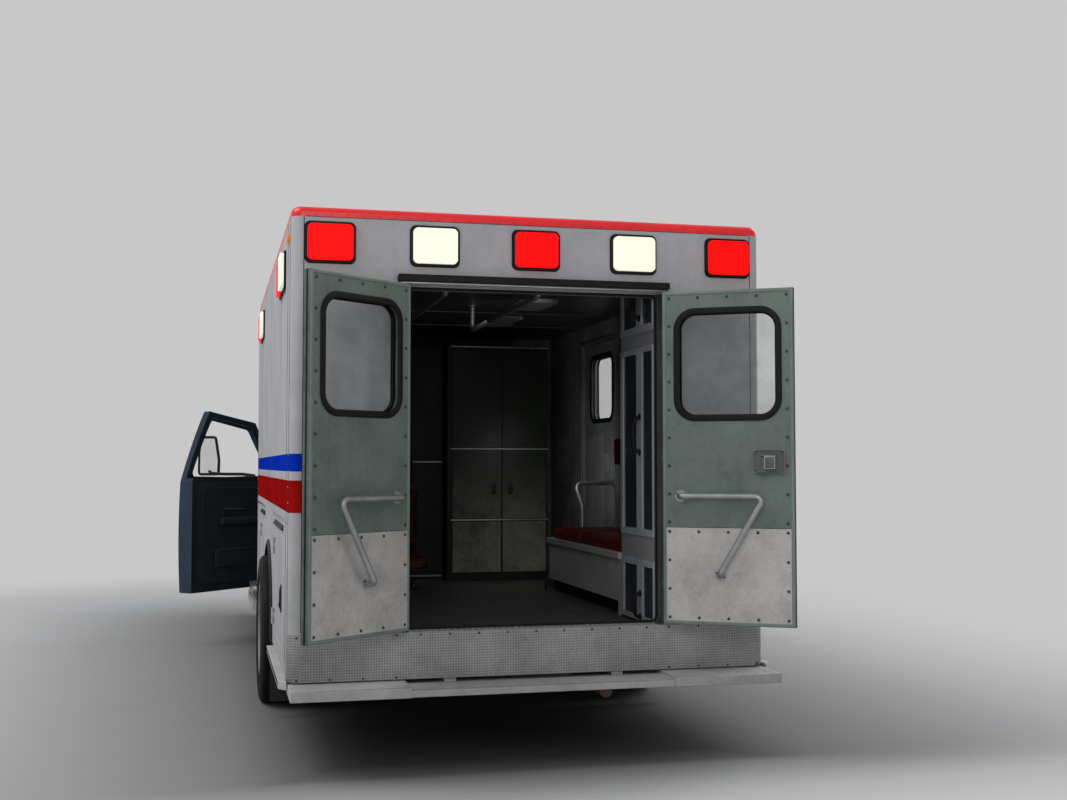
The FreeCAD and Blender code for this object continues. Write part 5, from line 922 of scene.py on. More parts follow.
def block_shape(board, entry):
    """A block with a narrower top, such as a tread block."""
    cube = cone(board, 4, 0.64, 0.7071, 1.0)
    squared = board("GeometryNodeTransform", {"Geometry": cube, "Rotation": (0.0, 0.0, math.pi / 4),
                                              "Translation": (0.0, 0.0, -0.5)})
    size = board("ShaderNodeCombineXYZ", {"X": entry["Length"], "Y": entry["Width"], "Z": entry["Height"]})
    return board("GeometryNodeTransform", {"Geometry": squared, "Scale": size})


TREES = {}


def with_trees():
    for name, build in (("Screws", screw_shape), ("Tread marks", mark_shape), ("Nuts", hex_shape),
                        ("Blocks", block_shape)):
        TREES[name] = fitting_tree(name, build)


def scattered(name, tree_name, rows, size, finish, body="chassis", slot=None, place=None):
    """Sets a fitting at each row of (point, facing, along), and leaves one plain mesh."""
    if place is not None:
        turn = place.to_3x3()
        rows = [(place @ Vector(point), turn @ Vector(facing), turn @ Vector(along)) for point, facing,
                along in rows]
    mesh = bpy.data.meshes.new(name)
    mesh.from_pydata([tuple(point) for point, facing, along in rows], [], [])
    for label, column in (("facing", 1), ("along", 2)):
        layer = mesh.attributes.new(label, "FLOAT_VECTOR", "POINT")
        layer.data.foreach_set("vector", [value for row in rows for value in row[column]])
    piece = bpy.data.objects.new(name, mesh)
    bpy.context.scene.collection.objects.link(piece)
    modifier = piece.modifiers.new("Fittings", "NODES")
    modifier.node_group = TREES[tree_name]
    sockets = {item.name: item.identifier for item in TREES[tree_name].interface.items_tree
               if item.in_out == "INPUT"}
    for label, value in zip(("Width", "Length", "Height"), size):
        modifier[sockets[label]] = value
    modifier[sockets["Finish"]] = FINISHES[finish]
    depsgraph = bpy.context.evaluated_depsgraph_get()
    plain = bpy.data.meshes.new_from_object(piece.evaluated_get(depsgraph))
    bpy.data.objects.remove(piece)
    for layer in ("facing", "along"):
        if layer in plain.attributes:
            plain.attributes.remove(plain.attributes[layer])
    plain.name = name
    return dressed(name, plain, finish, body, slot)


def steps_between(low, high, count):
    return [low + (high - low) * index / (count - 1) for index in range(count)]


def tread_rows(low, high, level, pitch, axes, facing):
    """Tread marks over a rectangle, turned one way and the other by turns."""
    rows = []
    a_axis, b_axis, c_axis = axes
    a_count = max(1, int((high[0] - low[0]) / pitch))
    b_count = max(1, int((high[1] - low[1]) / pitch))
    for i in range(a_count):
        for j in range(b_count):
            point = [0.0, 0.0, 0.0]
            point[a_axis] = low[0] + (i + 0.5) * (high[0] - low[0]) / a_count
            point[b_axis] = low[1] + (j + 0.5) * (high[1] - low[1]) / b_count
            point[c_axis] = level
            along = [0.0, 0.0, 0.0]
            along[a_axis] = 1.0
            along[b_axis] = 1.0 if (i + j) % 2 else -1.0
            rows.append((tuple(point), facing, tuple(along)))
    return rows


class Skin:
    """A CAD node's surface, to lay fittings on."""

    def __init__(self, *names, place=None):
        self.place = place or Matrix.Identity(4)
        self.back = self.place.inverted()
        points, faces = [], []
        for name in names:
            mesh = frame["nodes"][name].data
            base = len(points)
            points += [self.back @ vert.co for vert in mesh.vertices]
            faces += [tuple(base + index for index in face.vertices) for face in mesh.polygons]
        self.tree = BVHTree.FromPolygons(points, faces)

    def hit(self, start, way):
        """The first point met from a start along a direction, or the nearest one on the surface."""
        found = self.tree.ray_cast(Vector(start), Vector(way).normalized())[0]
        return found if found is not None else self.tree.find_nearest(Vector(start))[0]




# ---------------------------------------------------------------- the CAD nodes' finishes
NODE_FINISHES = {
    "module_paint": ("corner_posts", "rear_wall", "front_wall", "left_side_wall", "right_side_wall",
                     "left_rear_locker", "left_front_locker", "right_rear_locker", "side_entry_door"),
    "rear_left_door_paint": ("rear_left_door",),
    "rear_right_door_paint": ("rear_right_door",),
    "cab_left_door_paint": ("cab_left_door",),
    "cab_right_door_paint": ("cab_right_door",),
    "cab_paint": ("cab_body",),
    "nose_paint": ("front_fenders", "hood"),
    "roof_red": ("roof_edge",),
    "laminate": ("roof_panel",),
    "cabinet_laminate": ("right_cabinet", "left_cabinets"),
    "bench_laminate": ("squad_bench",),
    "front_partition": ("front_cabinet",),
    "floor_sheet": ("module_floor",),
    "window_glass": ("windshield", "rear_left_window", "rear_right_window"),
    "clear_glass": ("side_entry_window",),
    "headlamp_glass": ("headlamps",),
    "bright_tube": ("rear_left_handle", "rear_right_handle", "grab_rails"),
    "tread_plate": ("kick_panel",),
    "step_plate": ("rear_steps", "running_boards"),
    "black_trim": ("drip_rail", "light_bezels", "left_mirror", "right_mirror", "grille"),
    "mud_rubber": ("mud_flaps",),
    "red_lens": ("red_lenses",),
    "cream_lens": ("cream_lenses",),
    "dark_plastic": ("dashboard",),
    "red_vinyl": ("bench_cushions", "seats"),
    "chrome": ("front_bumper",),
    "chassis_black": ("frame_rails", "rear_axle", "front_axle", "left_knuckle", "right_knuckle"),
    "cast_iron": ("engine_block",),
    "wheel_steel": ("front_left_wheel", "front_right_wheel", "rear_left_wheels", "rear_right_wheels"),
    "tyre_rubber": ("front_left_tyre", "front_right_tyre", "rear_left_tyres", "rear_right_tyres"),
}
SOFT_EDGES = {
    0.0025: ("rear_left_door", "rear_right_door", "left_rear_locker", "left_front_locker", "right_rear_locker",
             "side_entry_door", "right_cabinet", "front_cabinet", "left_cabinets", "squad_bench", "rear_steps",
             "running_boards", "drip_rail", "light_bezels", "kick_panel"),
    0.004: ("red_lenses", "cream_lenses"),
}


def dress_nodes():
    """Gives every CAD node its finish, and the boxy ones softened edges."""
    for finish, names in NODE_FINISHES.items():
        for name in names:
            mesh = frame["nodes"][name].data
            if not mesh.materials:
                mesh.materials.append(FINISHES[finish])
            for index in range(len(mesh.materials)):
                mesh.materials[index] = FINISHES[finish]
    for width, names in SOFT_EDGES.items():
        for name in names:
            node = frame["nodes"][name]
            weld = node.modifiers.new("Weld", "WELD")
            weld.merge_threshold = 0.00002
            bevel = node.modifiers.new("Soft edges", "BEVEL")
            bevel.width = width
            bevel.segments = 2
            bevel.limit_method = "ANGLE"
            bevel.angle_limit = math.radians(40)


# ---------------------------------------------------------------- rear doors
PIN_X = abs(JOINTS["rear_right_door_hinge"]["pos_m"][0])
DOOR_OUTER = 0.01
DOOR_FACE = 0.054
DOOR_LOW = 0.68
DOOR_HIGH = 2.366
DOOR_NEAR = 0.008
DOOR_FAR = PIN_X - 0.003
PANE_HALF = (0.25, 0.265)
PANE_MIDDLE = 1.991


def window_gasket(path, width, crest, front, back, core, half):
    """The rubber round a door's window on both faces, joined through the opening by a core."""
    bead = ((-0.01, 0.0), (width - 0.006, 0.0), (width - 0.001, 0.004), (width - 0.005, crest - 0.003),
            (0.006, crest), (-0.004, crest - 0.001), (-0.01, 0.006))
    gasket = Shape()
    gasket.sweep(path, bead, front)
    gasket.sweep(path, tuple((u, -w) for u, w in bead), back)
    gasket.sweep(path, ((-0.012, -half), (0.001, -half), (0.001, half), (-0.012, half)), core)
    return gasket


def lined_door(word, side, sizes):
    """The lining, kick plate, rim, gaskets, screws, handle and seal of a rear door, pin at the origin."""
    body = f"rear_{word}_door"
    place = door_place(f"{body}_hinge")
    inward = -side
    near, far = sorted((inward * DOOR_NEAR, inward * DOOR_FAR))
    middle = (near + far) / 2
    rim = 0.017
    kick_top = DOOR_LOW + sizes.kick_height
    skin = 0.0014
    hole = round_rect((middle - PANE_HALF[0] - 0.002, PANE_MIDDLE - PANE_HALF[1] - 0.002),
                      (middle + PANE_HALF[0] + 0.002, PANE_MIDDLE + PANE_HALF[1] + 0.002), 0.087)

    lining = Shape()
    lining.slab(round_rect((near + rim, kick_top + 0.003), (far - rim, DOOR_HIGH - rim), 0.004, 2),
                (DOOR_FACE - 0.004, DOOR_FACE + skin), upright_xz(), holes=[hole])
    finished(f"rear_{word}_door_lining", lining, "door_green", body, place=place)

    kick = Shape()
    kick.slab(round_rect((near + rim, DOOR_LOW + rim), (far - rim, kick_top), 0.004, 2),
              (DOOR_FACE - 0.004, DOOR_FACE + skin + 0.0006), upright_xz())
    finished(f"rear_{word}_kick_plate", kick, "kick_aluminium", body, place=place)

    frame_path = round_rect((near + 0.009, DOOR_LOW + 0.009), (far - 0.009, DOOR_HIGH - 0.009), 0.003, 2)
    frame = Shape()
    frame.sweep(frame_path, ((-0.009, -0.001), (0.0085, -0.001), (0.0085, 0.0015), (0.004, 0.0048),
                             (-0.006, 0.0048), (-0.009, 0.0025)), upright_xz(DOOR_FACE))
    finished(f"rear_{word}_door_rim", frame, "door_rim", body, place=place)

    gasket = window_gasket(rect_about((middle, PANE_MIDDLE), PANE_HALF, 0.087, 10), sizes.gasket, 0.012,
                           upright_xz(DOOR_FACE + skin - 0.001), upright_xz(DOOR_OUTER + 0.001),
                           upright_xz((DOOR_OUTER + DOOR_FACE) / 2 - 0.01), 0.004)
    finished(f"rear_{word}_window_gaskets", gasket, "window_rubber", body, place=place)

    edge = rim + 0.017
    across = steps_between(near + edge, far - edge, 5)
    rows = []
    green = steps_between(kick_top + 0.028, DOOR_HIGH - edge, 9)
    plate = steps_between(DOOR_LOW + edge, kick_top - 0.02, 4)
    spots = [(x, DOOR_HIGH - edge) for x in across[1:-1]]
    spots += [(x, z) for z in green + plate for x in (across[0], across[-1])]
    spots += [(x, z) for x in across[1:-1] for z in (plate[0], plate[-1])]
    for x, z in spots:
        rows.append(((x, DOOR_FACE + skin + 0.0018, z), FORWARD, RIGHT))
    scattered(f"rear_{word}_door_screws", "Screws", rows, (sizes.screw, 0.0, 0.0042), "screw_steel", body,
              place=place)

    outside = Shape()
    for z in (1.53, 1.6):
        outside.block((inward * (DOOR_FAR - 0.16), DOOR_OUTER - 0.014, z),
                      (inward * (DOOR_FAR - 0.06), DOOR_OUTER, z + 0.05), 0.006, 3)
    if side > 0:
        outside.tube([(inward * (DOOR_FAR - 0.11), DOOR_OUTER, 1.18),
                      (inward * (DOOR_FAR - 0.11), DOOR_OUTER - 0.035, 1.2),
                      (inward * (DOOR_FAR - 0.11), DOOR_OUTER - 0.035, 1.44),
                      (inward * (DOOR_FAR - 0.11), DOOR_OUTER, 1.46)], 0.009)
    finished(f"rear_{word}_outer_handle", outside, "bright_steel", body, place=place)

    seal = Shape()
    seal.sweep(round_rect((near - 0.001, DOOR_LOW), (far + 0.001, DOOR_HIGH), 0.004, 2),
               ((-0.003, -0.004), (0.0015, -0.004), (0.0015, 0.004), (-0.003, 0.004)),
               upright_xz((DOOR_OUTER + DOOR_FACE) / 2))
    finished(f"rear_{word}_door_seal", seal, "window_rubber", body, place=place)


def door_handles():
    """Screws on the handles' feet, and the latch case's lip, paddle hinge and screws."""
    for word, side in SIDES:
        body = f"rear_{word}_door"
        place = door_place(f"{body}_hinge")
        inward = -side
        rows = []
        for x, z in ((0.1, 1.325), (0.3, 0.93)):
            for slope in (-1, 1):
                rows.append(((inward * x + slope * 0.02, DOOR_FACE + 0.0045, z + slope * 0.011), FORWARD, RIGHT))
        scattered(f"rear_{word}_handle_screws", "Screws", rows, (0.0055, 0.0, 0.004), "screw_steel", body,
                  place=place)
    place = door_place("rear_right_door_hinge")
    low, high = -0.625, -0.47
    latch = Shape()
    latch.sweep(round_rect((low + 0.003, 1.443), (high - 0.003, 1.557), 0.012, 5),
                ((-0.008, -0.002), (0.002, -0.002), (0.002, 0.001), (-0.003, 0.0035), (-0.008, 0.001)),
                upright_xz(0.073))
    latch.slab(round_rect((low + 0.004, 1.444), (high - 0.004, 1.556), 0.012, 5), (0.0715, 0.0738), upright_xz())
    latch.rod((low + 0.045, 0.082, 1.528), (high - 0.04, 0.082, 1.528), 0.006)
    latch.block((low + 0.05, 0.089, 1.466), (high - 0.06, 0.094, 1.52), 0.004, 3)
    latch.rod((high - 0.028, 0.072, 1.485), (high - 0.028, 0.079, 1.485), 0.011, 20)
    finished("latch_details", latch, "grey_metal", "rear_right_door", place=place)
    rows = [((x, 0.0742, z), FORWARD, RIGHT) for x in (low + 0.014, high - 0.014) for z in (1.454, 1.546)]
    scattered("latch_screws", "Screws", rows, (0.0048, 0.0, 0.003), "screw_steel", "rear_right_door", place=place)


# ---------------------------------------------------------------- doorway and rear wall
def doorway_trim():
    """Seal, threshold and drip strip round the doorway."""
    half = PIN_X - 0.008 - 0.01
    top = DOOR_HIGH - 0.004
    seal = Shape()
    path = round_rect((-half, DOOR_LOW - 0.002), (half, top), 0.03, 5)
    seal.sweep(path, ((-0.008, 0.0), (0.004, 0.0), (0.003, -0.0008), (-0.003, -0.001), (-0.007, -0.0008)),
               upright_xz(REAR + 0.05))
    finished("doorway_seal", seal, "window_rubber")

    sill = Shape()
    outline = ((REAR - 0.0055, 0.6672), (REAR + 0.066, 0.6672), (REAR + 0.0695, 0.669), (REAR + 0.0695, 0.6705),
               (REAR + 0.01, 0.6708), (REAR - 0.002, 0.67), (REAR - 0.0055, 0.6685))
    sill.slab(outline, (-0.64, 0.64), upright_yz())
    finished("threshold", sill, "step_edge")
    grooves = []
    for index in range(5):
        y = REAR + 0.016 + 0.01 * index
        grooves += [((-0.62 + 0.031 * k, y, 0.6708), UP, RIGHT) for k in range(41)]
    scattered("threshold_ribs", "Tread marks", grooves, (0.0016, 0.012, 0.0012), "step_edge")

    strip = Shape()
    strip.block((-0.69, REAR - 0.024, 2.3745), (0.69, REAR - 0.001, 2.3845), 0.002, 2)
    finished("drip_strip", strip, "step_edge", slot="bright_tube")

    ends = Shape()
    for side in (-1, 1):
        ends.slab(((side * 0.7, 2.386), (side * 0.7, 2.4195), (side * 0.704, 2.412), (side * 0.704, 2.392)),
                  (REAR - 0.038, REAR - 0.001), upright_xz())
    finished("drip_rail_ends", ends, "black_trim")


def rear_wall_trim():
    """Rivet rows and seams of the walls, and the ribs and surrounds of the tail lamps."""
    rows = []
    for y, facing in ((REAR - 0.0006, BACK), (FRONT + 0.0006, FORWARD)):
        for side in (-1, 1):
            rows += [((side * (HALF - 0.072), y, z), facing, RIGHT) for z in steps_between(0.74, 2.64, 26)]
        rows += [((x, y, 2.672), facing, RIGHT) for x in steps_between(-1.12, 1.12, 30)]
    for side in (-1, 1):
        x = side * (HALF + 0.0006)
        rows += [((x, y, 2.668), (side, 0, 0), FORWARD) for y in steps_between(REAR + 0.12, FRONT - 0.12, 48)]
        for y in (REAR + 0.078, FRONT - 0.078):
            rows += [((x, y, z), (side, 0, 0), FORWARD) for z in steps_between(0.52, 2.62, 28)]
    scattered("wall_rivets", "Screws", rows, (RIVET_RADIUS, 0.0, 0.0022), "rivet_paint")

    seams = Shape()
    for side in (-1, 1):
        x = side * (HALF + 0.0002)
        for y in (REAR + 0.062, FRONT - 0.062):
            seams.block((x - 0.001, y - 0.0016, 0.47), (x + 0.001, y + 0.0016, 2.69), 0)
        for y in (REAR - 0.0002, FRONT + 0.0002):
            seams.block((side * (HALF - 0.06) - 0.0016, y - 0.001, 0.68),
                        (side * (HALF - 0.06) + 0.0016, y + 0.001, 2.69), 0)
        seams.block((x - 0.001, REAR + 0.2445, 0.5), (x + 0.001, REAR + 0.2475, 2.688), 0)
    seams.block((-INNER, REAR - 0.0012, 2.6895), (INNER, REAR + 0.0006, 2.692), 0)
    finished("wall_seams", seams, "window_rubber")

    lamps = Shape()
    for side in (-1, 1):
        for index in range(3):
            low = 0.8 + 0.118 * index
            for turn in range(3):
                half_a, half_b = 0.056 - 0.016 * turn, 0.043 - 0.012 * turn
                middle = (side * 1.05, low + 0.0525)
                lamps.sweep(rect_about(middle, (half_a, half_b), 0.014, 4),
                            ((-0.0022, 0.0), (0.0022, 0.0), (0.0012, -0.0024), (-0.0012, -0.0024)),
                            upright_xz(REAR - 0.0248))
    finished("tail_lamp_ribs", lamps, "clear_lamp", slot="cream_lens")

    surround = Shape()
    for side in (-1, 1):
        surround.sweep(round_rect((side * 1.05 - 0.07, 0.795), (side * 1.05 + 0.07, 1.146), 0.022, 5),
                       ((-0.003, 0.001), (0.01, 0.001), (0.008, -0.01), (-0.001, -0.014)), upright_xz(REAR))
    finished("tail_lamp_surrounds", surround, "black_trim")


def warning_light_details():
    """The rubber gasket round the foot of every warning light."""
    gaskets = Shape()
    half = (0.1225, 0.1005)

    def one(plane, out, a, b):
        gaskets.sweep(rect_about((a, b), half, 0.028, 7),
                      ((-0.006, 0.0), (0.0035, 0.0), (0.003, out * 0.004), (-0.002, out * 0.006),
                       (-0.006, out * 0.004)), plane)

    for face, out in ((REAR, -1), (FRONT, 1)):
        for index in range(-2, 3):
            one(upright_xz(face), out, 0.517 * index, 2.565)
    for side in (-1, 1):
        for first in (0.545, 3.215):
            for index in (0, 1):
                one(upright_yz(side * HALF), side, REAR + first + 0.262 * index, 2.49)
    finished("light_gaskets", gaskets, "window_rubber")


# ---------------------------------------------------------------- steps
def tread_marks(sizes):
    """Raised marks on the kick panel, the steps and the running boards."""
    pitch = sizes.tread_pitch
    kick = REAR - 0.006
    rows = []
    reach = HALF - 0.058
    rows += tread_rows((-reach, 0.44), (reach, 0.664), kick, pitch, (0, 2, 1), BACK)
    skin = Skin("kick_panel")
    for side in (-1, 1):
        for column in range(9):
            turn = math.radians(5 + 10 * column)
            out = Vector((side * math.sin(turn), -math.cos(turn), 0.0))
            for level in range(17):
                middle = Vector((side * (HALF - 0.06), REAR + 0.06, 0.451 + pitch * level))
                tilt = (0.6, -0.6)[(level + column) % 2]
                along = Vector((side * math.cos(turn), math.sin(turn), tilt)).normalized()
                rows.append((tuple(skin.hit(middle + 0.3 * out, -out)), tuple(out), tuple(along)))
    scattered("kick_panel_tread", "Tread marks", rows, MARK, "tread_marks")
    rows = []
    near = kick - STEP_DEPTH
    for side in (-1, 1):
        low, high = sorted((side * STEP_INNER, side * STEP_OUTER))
        rows += tread_rows((low + 0.006, near + 0.018), (high - 0.006, kick - 0.002), STEP_TOP, pitch, (0, 1, 2),
                           UP)
    rows += tread_rows((-0.65, near + 0.033), (0.65, kick - 0.002), MIDDLE_STEP_TOP, pitch, (0, 1, 2), UP)
    scattered("step_tread", "Tread marks", rows, MARK, "tread_marks")
    noses = Shape()

    def nose(y, top, ends):
        noses.slab(((y - 0.0012, 0.39), (y + 0.0006, 0.388), (y + 0.0006, top - 0.0005), (y + 0.016, top - 0.0005),
                    (y + 0.014, top + 0.0018), (y + 0.003, top + 0.0022), (y - 0.0012, top - 0.0005)), ends,
                   upright_yz())

    for side in (-1, 1):
        low, high = sorted((side * STEP_INNER, side * STEP_OUTER))
        nose(near, STEP_TOP, (low + 0.001, high - 0.001))
    nose(near + 0.015, MIDDLE_STEP_TOP, (-0.655, 0.655))
    finished("step_noses", noses, "step_edge")
    rows = []
    high_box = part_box("running_boards")[1]
    for side in (-1, 1):
        low, high = sorted((side * 0.99, side * (high_box.x - 0.01)))
        rows += tread_rows((low, REAR + 4.31), (high, REAR + 5.43), high_box.z, pitch * 1.25, (0, 1, 2), UP)
    scattered("running_board_tread", "Tread marks", rows, (0.0022, 0.0068, TREAD_LIFT), "tread_marks")
    edges = Shape()
    for side in (-1, 1):
        x = side * high_box.x
        edges.block((x - side * 0.006, REAR + 4.302, high_box.z - 0.06),
                    (x - side * 0.0002, REAR + 5.438, high_box.z + 0.002), 0.002, 2)
    finished("running_board_edges", edges, "step_edge")
    bolts = [((side * x, kick - 0.0012, z), BACK, RIGHT) for side in (-1, 1) for x in steps_between(0.7, 1.18, 4)
             for z in (0.452, 0.655)]
    bolts += [((x, kick - 0.0012, 0.655), BACK, RIGHT) for x in steps_between(-0.58, 0.58, 9)]
    scattered("kick_panel_bolts", "Screws", bolts, (0.0062, 0.0, 0.004), "screw_steel")
    flap = [((side * x, REAR + 1.4895, 0.56), BACK, RIGHT) for side in (-1, 1)
            for x in steps_between(0.83, 1.12, 4)]
    scattered("mud_flap_bolts", "Nuts", flap, (0.01, 0.012, 0.006), "screw_steel")


# ---------------------------------------------------------------- module sides
def side_trim():
    """Locker handles, gaskets and drip mouldings, marker lamps, rub rail strips and wheel arches."""
    lockers = (("left_rear_locker", -1, 0.45, 0.86), ("left_front_locker", -1, 2.68, 0.6),
               ("right_rear_locker", 1, 0.45, 0.86))
    for name, side, start, span in lockers:
        skin = side * HALF
        low, high = REAR + start, REAR + start + span
        handle = Shape()
        y, z = low + 0.16, 0.785
        handle.sweep(rect_about((y, z), (0.036, 0.068), 0.012, 4),
                     ((-0.007, 0.0), (0.004, 0.0), (0.003, side * 0.004), (-0.005, side * 0.006)), upright_yz(skin))
        handle.block((skin, y - 0.024, z - 0.052), (skin + side * 0.011, y + 0.024, z + 0.052), 0.006, 3)
        handle.rod((skin + side * 0.0105, y, z - 0.03), (skin + side * 0.0145, y, z - 0.03), 0.009, 16)
        finished(f"{name}_handle", handle, "black_trim", name)
        gasket = Shape()
        gasket.sweep(round_rect((low - 0.0012, 0.4988), (high + 0.0012, 1.1412), 0.003, 2),
                     ((-0.001, 0.0), (0.0034, 0.0), (0.0034, side * 0.006), (-0.001, side * 0.006)),
                     upright_yz(skin - side * 0.014))
        finished(f"{name}_gasket", gasket, "window_rubber", name)
        panel = Shape()
        panel.sweep(round_rect((low + 0.03, 0.53), (high - 0.03, 1.11), 0.02, 4),
                    ((-0.005, -side * 0.001), (0.005, -side * 0.001), (0.0025, side * 0.0016),
                     (-0.0025, side * 0.0016)), upright_yz(skin))
        finished(f"{name}_pressing", panel, "side_trim_paint", name)
        drip = Shape()
        drip.slab(((skin - side * 0.001, 1.15), (skin + side * 0.012, 1.148), (skin + side * 0.014, 1.153),
                   (skin + side * 0.006, 1.16), (skin + side * 0.004, 1.172), (skin - side * 0.001, 1.172)),
                  (low, high), lengthwise)
        finished(f"{name}_drip_moulding", drip, "black_trim")

    marks = Shape()
    for side in (-1, 1):
        skin = side * HALF
        for y in (REAR + 0.17, REAR + 3.98):
            marks.sweep(round_rect((y - 0.05, 2.585), (y + 0.05, 2.625), 0.014, 4),
                        ((-0.02, side * 0.012), (-0.003, side * 0.012), (0.0, side * 0.006), (0.0, 0.0),
                         (-0.02, 0.0)), upright_yz(skin))
    finished("side_marker_lamps", marks, "amber_lens")

    caps = Shape()
    for side in (-1, 1):
        outer = side * (HALF + 0.042)
        low, high = REAR + 0.06, REAR + 1.295
        caps.block((outer - side * 0.006, low, 0.42), (outer, high, 0.444), 0.002, 2)
    finished("rub_rail_strips", caps, "window_rubber")

    arches = Shape()
    arch_radius, arch_foot = 0.535, 0.442
    start = math.asin((arch_foot - TYRE_RADIUS) / arch_radius)
    for side in (-1, 1):
        skin = side * HALF
        path = [(REAR_AXLE + arch_radius * math.cos(t), TYRE_RADIUS + arch_radius * math.sin(t))
                for t in steps_between(start, math.pi - start, 56)]
        arches.sweep(path, ((-0.006, -0.03 * side), (-0.003, -0.03 * side), (0.022, -0.001 * side),
                            (0.024, 0.004 * side), (0.01, 0.012 * side), (-0.004, 0.016 * side),
                            (-0.008, 0.01 * side)), upright_yz(skin), closed=False)
    finished("wheel_arch_trims", arches, "black_trim")

    rail = Shape()
    for side, spans in ((-1, ((0.06, 1.52), (2.67, 4.12))), (1, ((0.06, 1.52), (3.16, 4.12)))):
        for low, high in spans:
            x = side * (HALF + 0.0002)
            rail.slab(((x - side * 0.001, 1.195), (x + side * 0.004, 1.197), (x + side * 0.004, 1.213),
                       (x - side * 0.001, 1.215)), (REAR + low, REAR + high), lengthwise)
    finished("side_mouldings", rail, "bright_steel")


def entry_door_trim(sizes):
    """The side entry door's window gaskets, handles and inner lining."""
    body = "side_entry_door"
    skin, inner = HALF, HALF - 0.055
    y0, z0 = REAR + 2.43, 1.81
    gasket = window_gasket(round_rect((y0, z0), (y0 + 0.54, z0 + 0.46), 0.08, 10), sizes.gasket, 0.011,
                           upright_yz(skin - 0.0005), upright_yz(inner + 0.0005), upright_yz(HALF - 0.031), 0.007)
    finished("entry_window_gaskets", gasket, "window_rubber", body)

    handle = Shape()
    y, z = REAR + 2.47, 1.16
    handle.sweep(rect_about((y, z), (0.055, 0.04), 0.014, 4),
                 ((-0.01, 0.0), (0.004, 0.0), (0.003, 0.004), (-0.008, 0.006)), upright_yz(skin))
    handle.block((skin, y - 0.042, z - 0.024), (skin + 0.012, y + 0.042, z + 0.024), 0.007, 3)
    bar = [(skin, y, 1.3), (skin + 0.045, y, 1.315), (skin + 0.055, y, 1.34), (skin + 0.055, y, 1.62),
           (skin + 0.045, y, 1.645), (skin, y, 1.66)]
    handle.tube(smoothed(bar, 4), 0.012)
    for z_end in (1.3, 1.66):
        handle.rod((skin - 0.001, y, z_end), (skin + 0.006, y, z_end), 0.026, 20)
    finished("entry_door_handle", handle, "bright_steel", body)

    lining = Shape()
    low, high = REAR + 2.66, REAR + 3.11
    lining.slab(round_rect((low, 0.7), (high, 1.7), 0.02, 4), (-0.006, 0.001), upright_yz(inner))
    lining.block((inner - 0.012, REAR + 2.52, 1.42), (inner + 0.001, REAR + 2.62, 1.56), 0.006, 3)
    finished("entry_door_lining", lining, "cabinet_laminate", body)


def smoothed(points, rounds=2):
    """Points with their corners cut, for a bent bar."""
    line = [Vector(point) for point in points]
    for _ in range(rounds):
        cut = [line[0]]
        for first, second in zip(line, line[1:]):
            cut += [first.lerp(second, 0.25), first.lerp(second, 0.75)]
        line = cut + [line[-1]]
    return line


# ---------------------------------------------------------------- roof and underside
def roof_trim():
    """Seams and rivets of the roof cap, and the exhaust pipe with its muffler."""
    seams = Shape()
    for y in steps_between(REAR + 0.75, FRONT - 0.75, 4):
        seams.block((-HALF + 0.09, y - 0.004, ROOF - 0.004), (HALF - 0.09, y + 0.004, ROOF - 0.0002), 0.001, 1)
    finished("roof_seams", seams, "roof_seam")
    rows = []
    for side in (-1, 1):
        rows += [((side * (HALF + 0.0004), y, 2.7015), (side, 0, 0), FORWARD)
                 for y in steps_between(REAR + 0.12, FRONT - 0.12, 52)]
    for y, facing in ((REAR - 0.0004, BACK), (FRONT + 0.0004, FORWARD)):
        rows += [((x, y, 2.7015), facing, RIGHT) for x in steps_between(-1.1, 1.1, 30)]
    scattered("roof_rivets", "Screws", rows, (RIVET_RADIUS, 0.0, 0.002), "roof_rivet")

    pipe = Shape()
    route = ((0.3, REAR + 5.8, 0.44), (0.3, REAR + 5.3, 0.375), (0.3, REAR + 4.4, 0.37),
             (0.3, REAR + 3.2, 0.37), (0.33, REAR + 2.75, 0.3), (0.36, REAR + 2.1, 0.27),
             (0.36, REAR + 1.6, 0.33), (0.36, REAR + 1.0, 0.36), (0.36, REAR + 0.35, 0.355),
             (0.36, REAR - 0.02, 0.345))
    pipe.tube(smoothed(route, 3), 0.032, 16)
    muffler_start, muffler_end, cone = Vector((0.3, REAR + 3.25, 0.37)), Vector((0.3, REAR + 3.95,
                                                                                 0.37)), Vector((0, 0.04, 0))
    pipe.tube([muffler_start, muffler_start + cone, muffler_end - cone, muffler_end], [0.045, 0.092, 0.092, 0.045],
              24)
    finished("exhaust_pipe", pipe, "exhaust_steel", sharp=50)


